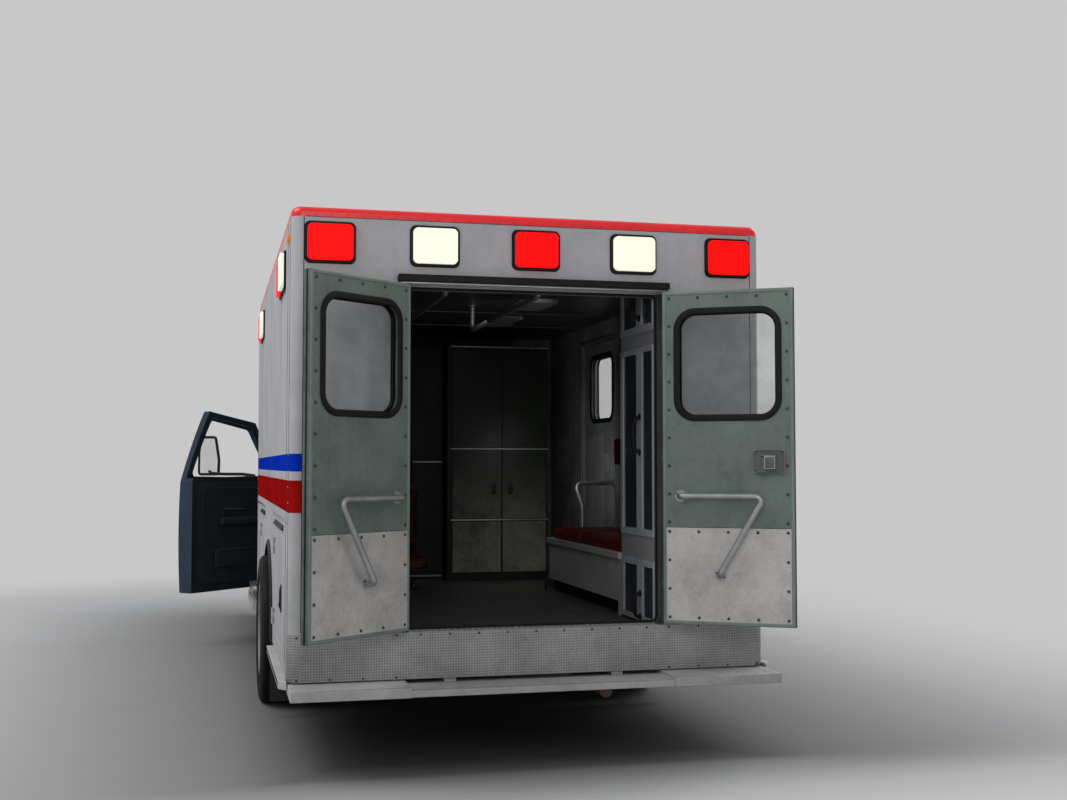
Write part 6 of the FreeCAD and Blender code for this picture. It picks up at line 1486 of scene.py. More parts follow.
# ---------------------------------------------------------------- wheels
def tyre_details(sizes):
    """Tread blocks, sidewall rings, wheel nuts, hub caps and valves."""
    radius, width = TYRE_RADIUS, TYRE_WIDTH
    wheels = (("front_left", -1, -0.875, FRONT_AXLE, "wheel", (0.0,)),
              ("front_right", 1, 0.875, FRONT_AXLE, "wheel", (0.0,)),
              ("rear_left", -1, -1.04, REAR_AXLE, "wheels", (-0.1275, 0.1275)),
              ("rear_right", 1, 1.04, REAR_AXLE, "wheels", (-0.1275, 0.1275)))
    around, pitch_angle = 64, 2 * math.pi / 64
    for word, side, x, y, noun, shifts in wheels:
        body = f"{word}_{noun}"
        rows = []
        walls = Shape()
        for shift in shifts:
            centre = Vector((x + shift, y, radius))
            for lane, offset in ((0, -0.052), (1, -0.018), (0, 0.018), (1, 0.052)):
                for k in range(around):
                    angle = pitch_angle * (k + 0.5 * lane)
                    out = Vector((0.0, math.cos(angle), math.sin(angle)))
                    along = Vector((0.25 if lane else -0.25, -math.sin(angle), math.cos(angle)))
                    rows.append((centre + out * (radius + 0.0002 - 0.0007) + Vector((offset, 0, 0)), out, along))
            for way in (-1, 1):
                face = way * (width / 2 - 0.0002)
                for ring in (0.334, 0.372, 0.384):
                    walls.lathe(((face - way * 0.002, ring - 0.004), (face + way * 0.0012, ring - 0.0015),
                                 (face + way * 0.0012, ring + 0.0015), (face - way * 0.002, ring + 0.004)), centre,
                                72)
        tread = scattered(f"{word}_tyre_tread", "Blocks", rows,
                          (0.026, radius * pitch_angle - sizes.tread_groove, 0.007), "tyre_rubber", body)
        for vert in tread.data.vertices:
            vert.co.z = max(vert.co.z, 0.0)
        finished(f"{word}_tyre_sidewalls", walls, "tyre_rubber", body)

        disc = side * width * 0.22 if noun == "wheel" else side * 0.006
        nuts = []
        for k in range(8):
            angle = math.pi / 4 * k
            spot = Vector((x + disc + side * 0.007, y + 0.132 * math.cos(angle), radius + 0.132 * math.sin(angle)))
            nuts.append((spot, (side, 0, 0), FORWARD))
        scattered(f"{word}_wheel_nuts", "Nuts", nuts, (0.0165, 0.02, 0.016), "bright_steel", body)
        hub = Shape()
        cap = Vector((x + disc, y, radius))
        hub.lathe(((side * 0.0815, 0.0005), (side * 0.0815, 0.058), (side * 0.086, 0.055), (side * 0.094, 0.04),
                   (side * 0.096, 0.0005)), cap, 40)
        hub.lathe(((side * 0.0005, 0.156), (side * 0.004, 0.16), (side * 0.004, 0.268), (side * 0.0005, 0.272)),
                  cap, 64)
        finished(f"{word}_hub_cap", hub, "chrome", body)
        valve = Shape()
        valve.rod(cap + Vector((side * 0.001, 0.0, 0.245)), cap + Vector((side * 0.042, 0.0, 0.238)), 0.006, 10)
        finished(f"{word}_valve", valve, "window_rubber", body)


# ---------------------------------------------------------------- cushions
CLOTH_FRAMES = 20
SEAT_SPACING = 0.96
HELD_REACH = 0.004


def swollen(mesh, cap, held_axis, held_at):
    """Blows a mesh up as cloth under pressure, no further than cap, with its held face flat."""
    rest = [vert.co.copy() for vert in mesh.vertices]
    held = [vert.index for vert in mesh.vertices if abs(vert.co[held_axis] - held_at) < HELD_REACH]
    pad = bpy.data.objects.new("pad under pressure", mesh)
    bpy.context.scene.collection.objects.link(pad)
    group = pad.vertex_groups.new(name="held")
    group.add(held, 1.0, "REPLACE")
    cloth = pad.modifiers.new("Cloth", "CLOTH")
    cloth.settings.vertex_group_mass = "held"
    cloth.settings.use_pressure = True
    cloth.settings.uniform_pressure_force = 4.0
    cloth.settings.quality = 4
    cloth.settings.effector_weights.gravity = 0.0
    cloth.collision_settings.use_collision = False
    cloth.point_cache.frame_start = 1
    cloth.point_cache.frame_end = CLOTH_FRAMES
    for frame_number in range(1, CLOTH_FRAMES + 1):
        bpy.context.scene.frame_set(frame_number)
    seen = pad.evaluated_get(bpy.context.evaluated_depsgraph_get())
    moved = [vert.co.copy() for vert in seen.data.vertices]
    bpy.data.objects.remove(pad)
    bpy.context.scene.frame_set(1)
    kept = set(held)
    for index, (start, end) in enumerate(zip(rest, moved)):
        way = end - start
        if way.length > cap:
            way *= cap / way.length
        if index in kept:
            way[held_axis] = 0.0
        mesh.vertices[index].co = start + way
    return mesh


def modified(mesh, kind, **fields):
    """A mesh as one modifier leaves it."""
    carrier = bpy.data.objects.new("carrier", mesh)
    bpy.context.scene.collection.objects.link(carrier)
    modifier = carrier.modifiers.new(kind.title(), kind)
    for field, value in fields.items():
        setattr(modifier, field, value)
    made = bpy.data.meshes.new_from_object(carrier.evaluated_get(bpy.context.evaluated_depsgraph_get()))
    bpy.data.objects.remove(carrier)
    return made


def cushion(name, low, high, held, body="chassis", finish="red_vinyl", cap=0.012, voxel=0.012, corner=0.025,
            channels=(), replaced=None, slot="red_vinyl", copies=()):
    """A padded piece in a box, flat on its held side (axis, -1 or 1), with channels (axis, place) sewn across."""
    axis, end = held
    low, high = Vector(low), Vector(high)
    inner_low, inner_high = low + Vector((cap,) * 3), high - Vector((cap,) * 3)
    held_at = (low, high)[end > 0][axis]
    (inner_low, inner_high)[end > 0][axis] = held_at
    shape = Shape().block(inner_low, inner_high, corner, 4)
    start = bpy.data.meshes.new(name)
    shape.bm.to_mesh(start)
    shape.bm.free()
    rough = modified(start, "REMESH", mode="VOXEL", voxel_size=voxel)
    mesh = modified(swollen(rough, cap, axis, held_at), "SUBSURF", levels=1, render_levels=1)
    depth, width = 0.006, 0.01
    for vert in mesh.vertices:
        for along, place in channels:
            away = (vert.co[along] - place) / width
            if abs(away) < 3 and abs(vert.co[axis] - held_at) > 0.012:
                vert.co[axis] += (held_at - vert.co[axis]) / abs(held_at - vert.co[axis]) * depth * math.exp(-away
                                                                                                             * away)
        for i in range(3):
            vert.co[i] = min(max(vert.co[i], low[i]), high[i])
    mesh.update()
    pieces = []
    for index, shift in enumerate(((0.0, 0.0, 0.0), *copies)):
        part = mesh if index == 0 else mesh.copy()
        if index:
            part.transform(Matrix.Translation(shift))
        piece = dressed(name if index == 0 else f"{name}_{index + 1}", part, finish, body, slot, 180.0)
        if replaced:
            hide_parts(replaced)
        pieces.append(piece)
    return pieces


def welt(name, pieces, rings, finish, body="chassis", slot="red_vinyl"):
    """Piping that lies on a cushion's skin: rings are closed lists of points near the skin."""
    shape = Shape()
    for piece in pieces:
        tree = BVHTree.FromPolygons([vert.co for vert in piece.data.vertices],
                                    [tuple(face.vertices) for face in piece.data.polygons])
        for ring in rings[piece.name]:
            line = [tree.find_nearest(Vector(point))[0] for point in ring]
            shape.tube(line, 0.0032, 8, closed=True)
    finished(name, shape, finish, body, slot, sharp=180.0)


def ring_about(low, high, axis, at, corner, steps=4, divide=0.05):
    """Points round a box's outline across one axis, at one place on it."""
    others = [i for i in range(3) if i != axis]
    outline = round_rect((low[others[0]], low[others[1]]), (high[others[0]], high[others[1]]), corner, steps)
    points = []
    for first, second in zip(outline, outline[1:] + outline[:1]):
        count = max(1, int(math.dist(first, second) / divide))
        for step in range(count):
            t = step / count
            point = [0.0, 0.0, 0.0]
            point[others[0]] = first[0] + (second[0] - first[0]) * t
            point[others[1]] = first[1] + (second[1] - first[1]) * t
            point[axis] = at
            points.append(tuple(point))
    return points


def bench_cushions():
    """Two seat cushions and the long backrest pad."""
    wide = (0.642, INNER - 0.03)
    spans = ((REAR + 0.643, REAR + 1.523), (REAR + 1.529, REAR + 2.212))
    made, rings = [], {}
    for index, (y0, y1) in enumerate(spans):
        low, high = (wide[0], y0, 0.991), (wide[1], y1, 1.067)
        made += cushion(f"bench_cushion_{index + 1}", low, high, (2, -1), cap=0.011, voxel=0.01, corner=0.018,
                        replaced="bench_cushions")
        rings[made[-1].name] = [ring_about(low, high, 2, 1.05, 0.03), ring_about(low, high, 2, 1.002, 0.03)]
    welt("bench_welts", made, rings, "red_vinyl")
    # the backrest takes the vinyl darkened as painted shade
    low, high = (INNER - 0.05, REAR + 0.695, 1.47), (INNER, REAR + 2.25, 1.68)
    back = cushion("bench_backrest", low, high, (0, 1), finish="painted_shade_vinyl", cap=0.011, corner=0.018,
                   replaced="bench_cushions", channels=((1, REAR + 1.213), (1, REAR + 1.732)))
    welt("backrest_welt", back, {back[0].name: [ring_about(low, high, 0, INNER - 0.034, 0.03)]}, "painted_shade_vinyl")


def attendant_seat():
    """The rear-facing seat on its pedestal."""
    x, y = -0.38, REAR + 2.38
    # the attendant's seat takes the vinyl darkened as painted shade
    low, high = (x - 0.25, y, 0.78), (x + 0.25, y + 0.47, 0.87)
    seat = cushion("attendant_cushion", low, high, (2, -1), cap=0.014, corner=0.025, replaced="seats",
                   finish="painted_shade_vinyl", channels=((1, y + 0.13),))
    low_back, high_back = (x - 0.25, y + 0.448, 0.872), (x + 0.25, y + 0.56, 1.33)
    back = cushion("attendant_backrest", low_back, high_back, (1, 1), cap=0.014, corner=0.03, replaced="seats",
                   finish="painted_shade_vinyl", channels=((2, 1.1),))
    low_head, high_head = (x - 0.21, y + 0.46, 1.335), (x + 0.21, y + 0.558, 1.562)
    cushion("attendant_headrest", low_head, high_head, (1, 1), cap=0.012, corner=0.03, replaced="seats",
            finish="painted_shade_vinyl")
    welt("attendant_welts", seat + back, {
        seat[0].name: [ring_about(low, high, 2, 0.85, 0.04)],
        back[0].name: [ring_about(low_back, high_back, 1, y + 0.468, 0.05)]}, "painted_shade_vinyl")
    frame_shape = Shape()
    frame_shape.block((x - 0.235, y + 0.02, 0.76), (x + 0.235, y + 0.53, 0.786), 0.008, 3)
    frame_shape.block((x - 0.225, y + 0.54, 0.8), (x + 0.225, y + 0.566, 1.3), 0.01, 3)
    frame_shape.tube([(x, PEDESTAL, z) for z in (0.64, 0.672, 0.684, 0.7, 0.758, 0.768)],
                     [0.085, 0.082, 0.06, 0.055, 0.055, 0.09], 32)
    frame_shape.block((x - 0.17, REAR + 2.46, FLOOR), (x + 0.17, REAR + 2.78, FLOOR + 0.022), 0.006, 3)
    for side in (-1, 1):
        frame_shape.rod((x + side * 0.07, y + 0.515, 1.3), (x + side * 0.07, y + 0.515, 1.385), 0.007)
    finished("attendant_frame", frame_shape, "toe_black", sharp=40)
    bolts = [((x + sx * 0.145, PEDESTAL + sy * 0.135, FLOOR + 0.024), UP, RIGHT)
             for sx in (-1, 1) for sy in (-1, 1)]
    scattered("attendant_foot_bolts", "Nuts", bolts, (0.011, 0.01, 0.008), "screw_steel")
    belt = Shape()
    belt.tube(smoothed([(x - 0.245, y + 0.44, 0.8), (x - 0.252, y + 0.38, 0.88),
                        (x - 0.2, y + 0.3, 0.884), (x - 0.06, y + 0.26, 0.88)], 3), 0.009, 8)
    belt.block((x - 0.075, y + 0.235, 0.868), (x - 0.025, y + 0.285, 0.886), 0.005, 3)
    finished("attendant_belt", belt, "toe_black", sharp=60)


def cab_seats():
    """Driver's and passenger's seats: one set of pads, used twice."""
    x, y = -0.48, REAR + 4.56
    across = ((SEAT_SPACING, 0.0, 0.0),)
    options = {"finish": "cab_cloth", "slot": "grey_plastic", "replaced": "seats", "copies": across}
    seat = cushion("cab_seat_cushion", (x - 0.255, y, 0.845), (x + 0.255, y + 0.5, 0.95), (2, -1), cap=0.015,
                   corner=0.03, channels=((0, x - 0.14), (0, x + 0.14)), **options)
    back = cushion("cab_seat_backrest", (x - 0.255, y - 0.11, 0.9), (x + 0.255, y + 0.01, 1.4), (1, -1),
                   cap=0.015, corner=0.035, channels=((0, x - 0.14), (0, x + 0.14)), **options)
    cushion("cab_seat_headrest", (x - 0.135, y - 0.1, 1.425), (x + 0.135, y, 1.598), (1, -1), cap=0.012,
            corner=0.03, **options)
    rings = {}
    for index in (0, 1):
        near = x + SEAT_SPACING * index
        rings[seat[index].name] = [ring_about((near - 0.255, y, 0), (near + 0.255, y + 0.5, 0), 2, 0.925, 0.05)]
        rings[back[index].name] = [ring_about((near - 0.255, 0, 0.9), (near + 0.255, 0, 1.4), 1, y - 0.012, 0.06)]
    welt("cab_seat_welts", seat + back, rings, "cab_cloth", slot="grey_plastic")
    base = Shape()
    for index in (0, 1):
        near = x + SEAT_SPACING * index
        base.block((near - 0.19, y + 0.06, 0.62), (near + 0.19, y + 0.42, 0.8), 0.018, 3)
        base.block((near - 0.235, y + 0.01, 0.795), (near + 0.235, y + 0.475, 0.848), 0.014, 3)
        for side in (-1, 1):
            base.rod((near + side * 0.06, y - 0.055, 1.37), (near + side * 0.06, y - 0.055, 1.45), 0.007)
            base.block((near + side * 0.236, y - 0.06, 0.8), (near + side * 0.252, y + 0.1, 0.9), 0.008, 3)
        base.block((near - 0.235, y - 0.1095, 0.86), (near + 0.235, y - 0.09, 1.37), 0.008, 3)
    finished("cab_seat_bases", base, "grey_plastic")
    belts = Shape()
    for side in (-1, 1):
        outer = side * 0.855
        belts.tube(smoothed([(outer, REAR + 4.29, 0.66), (outer, REAR + 4.285, 1.1),
                             (outer * 0.955, REAR + 4.285, 1.6)], 2), 0.01, 8)
        belts.block((outer * 0.94, REAR + 4.265, 1.58), (outer * 0.975, REAR + 4.315, 1.64), 0.008, 3)
    finished("cab_belts", belts, "toe_black", sharp=60)


# ---------------------------------------------------------------- cab
def rounded_path(corners, radius, steps=6):
    """A closed path of straight runs with rounded corners."""
    points = []
    for index, corner in enumerate(corners):
        corner = Vector(corner)
        before, after = Vector(corners[index - 1]), Vector(corners[(index + 1) % len(corners)])
        first = corner + (before - corner).normalized() * radius
        last = corner + (after - corner).normalized() * radius
        points += [tuple(first.lerp(corner, t).lerp(corner.lerp(last, t), t)) for t in steps_between(0, 1, steps)]
    return points


# a cab window's corners in its door's own frame, (y, z)
CAB_WINDOW = ((-0.118, 1.388), (-0.469, 1.78), (-0.967, 1.86), (-1.108, 1.388))


def filled_in(points, closed=True, divide=0.04):
    """More points along straight runs."""
    made = []
    pairs = list(zip(points, points[1:] + points[:1])) if closed else list(zip(points, points[1:]))
    for first, second in pairs:
        count = max(1, int(math.dist(first, second) / divide))
        made += [tuple(a + (b - a) * step / count for a, b in zip(first, second)) for step in range(count)]
    return made if closed else made + [points[-1]]


def cab_door_trim(word, side):
    """Window seals, outer handle and mouldings, inner panel with armrest, crank, pull and pocket."""
    body = f"cab_{word}_door"
    place = door_place(f"{body}_hinge")
    skin = Skin(body, place=place)
    outline = rounded_path(CAB_WINDOW, 0.045)
    middle = Vector((sum(p[0] for p in outline) / len(outline), sum(p[1] for p in outline) / len(outline)))

    seals = Shape()
    for grow, start, way in ((0.012, 0.35, -1), (0.012, -0.45, 1)):
        line = []
        for y, z in filled_in(outline):
            out = (Vector((y, z)) - middle).normalized() * grow
            spot = skin.hit((side * start, y + out.x, z + out.y), (side * way, 0, 0))
            line.append(spot + Vector((-side * way * 0.0005, 0, 0)))
        seals.tube(line, 0.0085, 8, closed=True)
    sill = [skin.hit((side * 0.35, y, 1.384), (-side, 0, 0)) for y in steps_between(-0.1, -1.12, 24)]
    seals.tube(sill, 0.008, 8)
    finished(f"{body}_seals", seals, "window_rubber", body, sharp=60, place=place)

    handle = Shape()
    y, z = -0.99, 1.185
    spot = skin.hit((side * 0.35, y, z), (-side, 0, 0)).x
    handle.sweep(rect_about((y, z), (0.085, 0.034), 0.02, 5),
                 ((-0.012, -side * 0.012), (0.003, -side * 0.012), (0.002, side * 0.004), (-0.008, side * 0.006)),
                 upright_yz(spot))
    handle.block((spot - side * 0.01, y - 0.07, z - 0.006), (spot + side * 0.016, y + 0.06, z + 0.024), 0.007, 3)
    handle.rod((spot - side * 0.004, y + 0.12, z), (spot + side * 0.006, y + 0.12, z), 0.011, 18)
    finished(f"{body}_outer_handle", handle, "black_trim", body, place=place)

    strip = Shape()
    for height, radius in ((1.06, 0.011), (0.54, 0.009)):
        line = [skin.hit((side * 0.35, y, height), (-side, 0, 0)) for y in steps_between(-0.035, -1.15, 26)]
        strip.tube(line, radius, 10)
    finished(f"{body}_mouldings", strip, "black_trim", body, sharp=60, place=place)

    inner = -side * 0.15
    lining = Shape()
    lining.slab(round_rect((-1.115, 0.52), (-0.075, 1.345), 0.05, 6), (-side * 0.015, side * 0.004),
                upright_yz(inner))
    lining.sweep(round_rect((-1.06, 0.78), (-0.13, 1.29), 0.04, 6),
                 ((-0.006, 0.0), (0.006, 0.0), (0.003, -side * 0.005), (-0.003, -side * 0.005)),
                 upright_yz(inner - side * 0.0145))
    face = inner - side * 0.015
    lining.block((face + side * 0.001, -0.86, 0.985), (face - side * 0.03, -0.3, 1.05), 0.018, 4)
    lining.block((face + side * 0.001, -0.92, 0.64), (face - side * 0.022, -0.2, 0.79), 0.014, 4)
    lining.block((face + side * 0.001, -0.9, 0.77), (face - side * 0.026, -0.22, 0.794), 0.008, 3)
    finished(f"{body}_lining", lining, "cab_lining", body, sharp=45, place=place)

    fittings = Shape()
    crank = Vector((face, -0.36, 1.14))
    away = Vector((-side, 0, 0))
    fittings.rod(crank, crank + away * 0.018, 0.026, 24)
    fittings.tube([crank + away * 0.018, crank + away * 0.024 + Vector((0, -0.05, 0.03)),
                   crank + away * 0.026 + Vector((0, -0.105, 0.055))], 0.008)
    fittings.rod(crank + away * 0.022 + Vector((0, -0.105, 0.055)),
                 crank + away * 0.05 + Vector((0, -0.105, 0.055)), 0.012, 18)
    fittings.tube(smoothed([(face, -0.6, 1.105), (face - side * 0.03, -0.62, 1.112),
                            (face - side * 0.03, -0.8, 1.118), (face, -0.82, 1.12)], 3), 0.01)
    fittings.block((face + side * 0.001, -0.28, 1.205), (face - side * 0.012, -0.17, 1.255), 0.006, 3)
    fittings.block((face - side * 0.01, -0.25, 1.22), (face - side * 0.022, -0.18, 1.238), 0.004, 3)
    finished(f"{body}_fittings", fittings, "dark_plastic", body, sharp=45, place=place)
    speaker = []
    for ring in range(1, 7):
        for k in range(6 * ring):
            t = 2 * math.pi * k / (6 * ring)
            speaker.append(((face - side * 0.0005, -0.26 + 0.011 * ring * math.cos(t),
                             0.865 + 0.011 * ring * math.sin(t)), (-side, 0, 0), FORWARD))
    scattered(f"{body}_speaker_holes", "Tread marks", speaker, (0.003, 0.003, 0.001), "toe_black", body,
              "grey_plastic", place=place)

    # the head is turned in toward the driver
    centre = Vector((side * 0.56, -0.266, 0.0))
    along = Vector((-side * 0.944, 0.33, 0.0))
    out = Vector((-side * 0.33, -0.944, 0.0))

    def to_head(a, z, depth):
        return centre + along * a + out * depth + Vector((0.0, 0.0, z))

    corners = [(-0.094, 1.402), (0.092, 1.402), (0.096, 1.53), (0.062, 1.732), (-0.072, 1.732), (-0.094, 1.6)]
    edge = rounded_path(corners, 0.022)
    shell = Shape()
    for low, high, grow in ((-0.012, 0.002, 1.0), (-0.024, -0.011, 0.86)):
        shell.slab([(a * grow, 1.567 + (z - 1.567) * grow) for a, z in edge], (low, high), to_head)
    shell.tube([to_head(a, z, 0.0) for a, z in edge], 0.0125, 10, closed=True)
    arm = [(side * x, -0.266, z) for x, z in ((-0.012, 1.352), (0.03, 1.404), (0.52, 1.404), (0.556, 1.43))]
    shell.tube(smoothed(arm, 1), 0.014, 12)
    shell.block((-side * 0.02, -0.3, 1.33), (side * 0.006, -0.232, 1.38), 0.008, 3)
    piece = finished(f"{word}_mirror_head", shell, "black_trim", body, sharp=50, place=place)
    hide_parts(f"{word}_mirror")
    pane = Shape()
    pane.slab([(a * 0.95, 1.567 + (z - 1.567) * 0.97) for a, z in edge], (0.001, 0.0045), to_head)
    finished(f"{word}_mirror_glass", pane, "mirror_glass", body, place=place)


def windshield_trim():
    """The rubber round the windshield, wipers, visors and the inner mirror."""
    skin = Skin("cab_body", "windshield")
    top, low = 1.96 - 0.045, 1.387
    outline = rounded_path([(-0.895, low), (0.895, low), (0.79, top), (-0.79, top)], 0.06)
    line = [skin.hit((x, AHEAD_OF_CAB, z), BACK) for x, z in filled_in(outline)]
    rubber = Shape()
    rubber.tube(line, 0.013, 10, closed=True)
    finished("windshield_rubber", rubber, "window_rubber", sharp=60)

    wipers = Shape()
    for x, reach in ((-0.55, 0.42), (0.12, 0.42)):
        foot = skin.hit((x, REAR + 5.775, 1.8), DOWN)
        wipers.rod(foot - Vector((0, 0, 0.01)), foot + Vector((0, 0, 0.022)), 0.016, 18)
        tip = skin.hit((x + reach, AHEAD_OF_CAB, 1.47), BACK) + Vector((0, 0.026, 0))
        wipers.tube([foot + Vector((0, 0, 0.015)), foot.lerp(tip, 0.3) + Vector((0, 0.02, 0.012)), tip], 0.006, 8)
        blade = []
        for t in steps_between(-0.26, 0.26, 12):
            spot = skin.hit((tip.x + t, AHEAD_OF_CAB, 1.455 + 0.045 * t), BACK)
            blade.append(spot + Vector((0, 0.011, 0)))
        wipers.tube(blade, 0.0075, 8)
    finished("wipers", wipers, "black_trim", sharp=60)

    inside = Shape()
    inside.block((-0.12, REAR + 5.145, 1.735), (0.12, REAR + 5.17, 1.8), 0.01, 3)
    inside.tube([(0, REAR + 5.165, 1.78), (0, REAR + 5.215, 1.85)], 0.008)
    for side in (-1, 1):
        inside.block((side * 0.16, REAR + 4.87, 1.905), (side * 0.66, REAR + 5.05, 1.925), 0.008, 3)
    finished("cab_visors", inside, "grey_plastic")


def front_trim():
    """Frames of the grille and headlamps, turn lamps, bumper strip, blank plate and marker lamps."""
    nose = Skin("front_fenders", "grille", "headlamps", "hood")
    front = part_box("grille")[1].y
    chrome = Shape()
    line = [nose.hit((x, front + 0.3, z), BACK) + Vector((0, 0.004, 0))
            for x, z in filled_in(round_rect((-0.512, 0.718), (0.512, 0.977), 0.02, 4))]
    chrome.tube(line, 0.011, 10, closed=True)
    for side in (-1, 1):
        low, high = sorted((side * 0.53, side * 0.87))
        line = [nose.hit((x, front + 0.3, z), BACK) + Vector((0, 0.003, 0))
                for x, z in filled_in(round_rect((low, 0.72), (high, 0.975), 0.03, 5))]
        chrome.tube(line, 0.009, 10, closed=True)
    finished("front_frames", chrome, "chrome", sharp=60)

    bowls = Shape()
    for side in (-1, 1):
        for x in (0.625, 0.775):
            spot = nose.hit((side * x, front + 0.3, 0.848), BACK)
            points = [Vector((spot.x, spot.y + d, 0.848)) for d in (-0.05, -0.046, -0.006, 0.0015, 0.0015)]
            bowls.tube(points, [0.02, 0.04, 0.066, 0.071, 0.06], 32)
    finished("headlamp_bowls", bowls, "clear_lamp", slot="headlamp_lens", sharp=50)

    amber = Shape()
    for side in (-1, 1):
        spot = nose.hit((side * 0.7, front + 0.3, 0.69), BACK)
        amber.block((side * 0.56, spot.y - 0.045, 0.672), (side * 0.85, spot.y + 0.006, 0.708), 0.006, 3)
    roof_skin = Skin("cab_body")
    for x in (-0.62, -0.22, 0.0, 0.22, 0.62):
        spot = roof_skin.hit((x, REAR + 4.98, 2.4), DOWN)
        amber.block((x - 0.035, spot.y - 0.018, spot.z - 0.006), (x + 0.035, spot.y + 0.03, spot.z + 0.02), 0.009,
                    3)
    finished("turn_and_marker_lamps", amber, "amber_lens")

    bumper = Skin("front_bumper")
    strip, plate = Shape(), Shape()
    line = [bumper.hit((x, front + 0.6, 0.565), BACK) for x in steps_between(-0.93, 0.93, 40)]
    strip.tube([point - Vector((0, 0.0165, 0)) for point in line], 0.016, 10)
    finished("bumper_strip", strip, "window_rubber", sharp=60)
    face = bumper.hit((0, front + 0.6, 0.5), BACK).y
    plate.block((-0.165, face - 0.012, 0.452), (0.165, face - 0.0005, 0.545), 0.004, 2)
    finished("front_blank_plate", plate, "side_trim_paint")
    wing = Shape()
    skin = Skin("front_fenders")
    radius, foot = 0.56, 0.47
    start = math.asin((foot - TYRE_RADIUS) / radius)
    for side in (-1, 1):
        line = []
        for t in steps_between(start, math.pi - start, 40):
            y, z = FRONT_AXLE + radius * math.cos(t), TYRE_RADIUS + radius * math.sin(t)
            line.append(skin.hit((side * 1.4, y, z), (-side, 0, 0)))
        wing.tube(line, 0.01, 10)
    finished("front_arch_trims", wing, "black_trim", sharp=60)


def dashboard_trim():
    """Instruments, vents, radio, glove box and the steering wheel's pad and stalks."""
    face_y = DASH_FACE
    hood = Shape()
    hood.block((-0.7, face_y + 0.005, 1.285), (-0.26, face_y + 0.21, 1.345), 0.02, 4)
    hood.block((0.24, face_y + 0.002, 1.02), (0.72, face_y + 0.05, 1.175), 0.014, 4)
    hood.block((-0.19, face_y - 0.004, 1.02), (0.19, face_y + 0.06, 1.262), 0.012, 4)
    finished("dashboard_mouldings", hood, "dark_plastic")
    dials = Shape()
    for x, r in ((-0.585, 0.052), (-0.48, 0.036), (-0.375, 0.052)):
        centre = Vector((x, face_y + 0.026, 1.215))
        dials.tube([centre, centre - Vector((0, 0.014, 0)), centre - Vector((0, 0.016, 0)),
                    centre - Vector((0, 0.01, 0))], [r, r, r * 0.9, r * 0.86], 32)
        for k in range(9):
            t = math.radians(225 - 33.75 * k)
            dials.rod(centre + Vector((r * 0.62 * math.cos(t), -0.012, r * 0.62 * math.sin(t))),
                      centre + Vector((r * 0.78 * math.cos(t), -0.012, r * 0.78 * math.sin(t))), 0.0018, 6)
    finished("dashboard_dials", dials, "interior_light", sharp=40)
    vents = Shape()
    for x in (-0.745, -0.1, 0.1, 0.745):
        z0 = 1.195 if abs(x) < 0.2 else 1.205
        vents.sweep(rect_about((x, z0), (0.05, 0.028), 0.008, 3),
                    ((-0.004, 0.004), (0.004, 0.004), (0.003, -0.006), (-0.003, -0.006)),
                    upright_xz(face_y - 0.002))
        for k in range(5):
            z = z0 - 0.02 + 0.01 * k
            vents.block((x - 0.047, face_y - 0.005, z - 0.0015), (x + 0.047, face_y + 0.006, z + 0.0015), 0.0006, 1)
    vents.block((-0.11, face_y - 0.012, 1.085), (0.11, face_y, 1.145), 0.005, 3)
    for x in (-0.085, 0.085):
        vents.tube([(x, face_y - 0.01, 1.115), (x, face_y - 0.026, 1.115)], 0.013, 20)
    for k in range(5):
        vents.block((-0.06 + 0.026 * k, face_y - 0.016, 1.092), (-0.04 + 0.026 * k, face_y - 0.01, 1.104), 0.002, 2)
    finished("dashboard_controls", vents, "grey_plastic")
    wheel = Shape()
    centre = Vector((-0.48, REAR + 5.29, 1.27))
    axis = Vector((0, 0.83, -0.56)).normalized()
    wheel.tube([centre + axis * 0.05, centre - axis * 0.01, centre - axis * 0.024, centre - axis * 0.03],
               [0.066, 0.074, 0.066, 0.04], 32)
    for side in (-1, 1):
        stalk = centre + axis * 0.075
        wheel.tube([stalk, stalk + Vector((side * 0.1, -0.01, 0.012)),
                    stalk + Vector((side * 0.155, -0.018, 0.016))], [0.008, 0.006, 0.008], 10)
    finished("steering_pad", wheel, "dark_plastic", sharp=40)
    lever = Shape()
    lever.tube(smoothed([(0.0, REAR + 5.22, 0.64), (0.0, REAR + 5.2, 0.86), (-0.03, REAR + 5.14, 1.0)], 3), 0.009)
    lever.tube([(-0.03, REAR + 5.14, 0.99), (-0.034, REAR + 5.132, 1.03), (-0.036, REAR + 5.128, 1.04)],
               [0.015, 0.024, 0.012], 20)
    lever.tube([(0.0, REAR + 5.22, 0.621), (0.0, REAR + 5.22, 0.64), (0.0, REAR + 5.215, 0.7)],
               [0.075, 0.062, 0.02], 24)
    for x, width in ((-0.62, 0.03), (-0.5, 0.04), (-0.36, 0.03)):
        lever.block((x - width, REAR + 5.585, 0.7), (x + width, REAR + 5.605, 0.8), 0.006, 3)
        lever.rod((x, REAR + 5.6, 0.77), (x, REAR + 5.7, 0.95), 0.007)
    finished("gear_lever_and_pedals", lever, "toe_black", sharp=45)


# ---------------------------------------------------------------- inside the module
def framed_door(shape, plane, low, high, rim, depth, radius=0.004):
    """A cabinet door's frame round an opening; depth is how far it stands out."""
    outer = round_rect(low, high, radius, 2)
    inner = round_rect((low[0] + rim, low[1] + rim), (high[0] - rim, high[1] - rim), radius, 2)
    shape.slab(outer, (0.0005, depth), plane, holes=[inner])


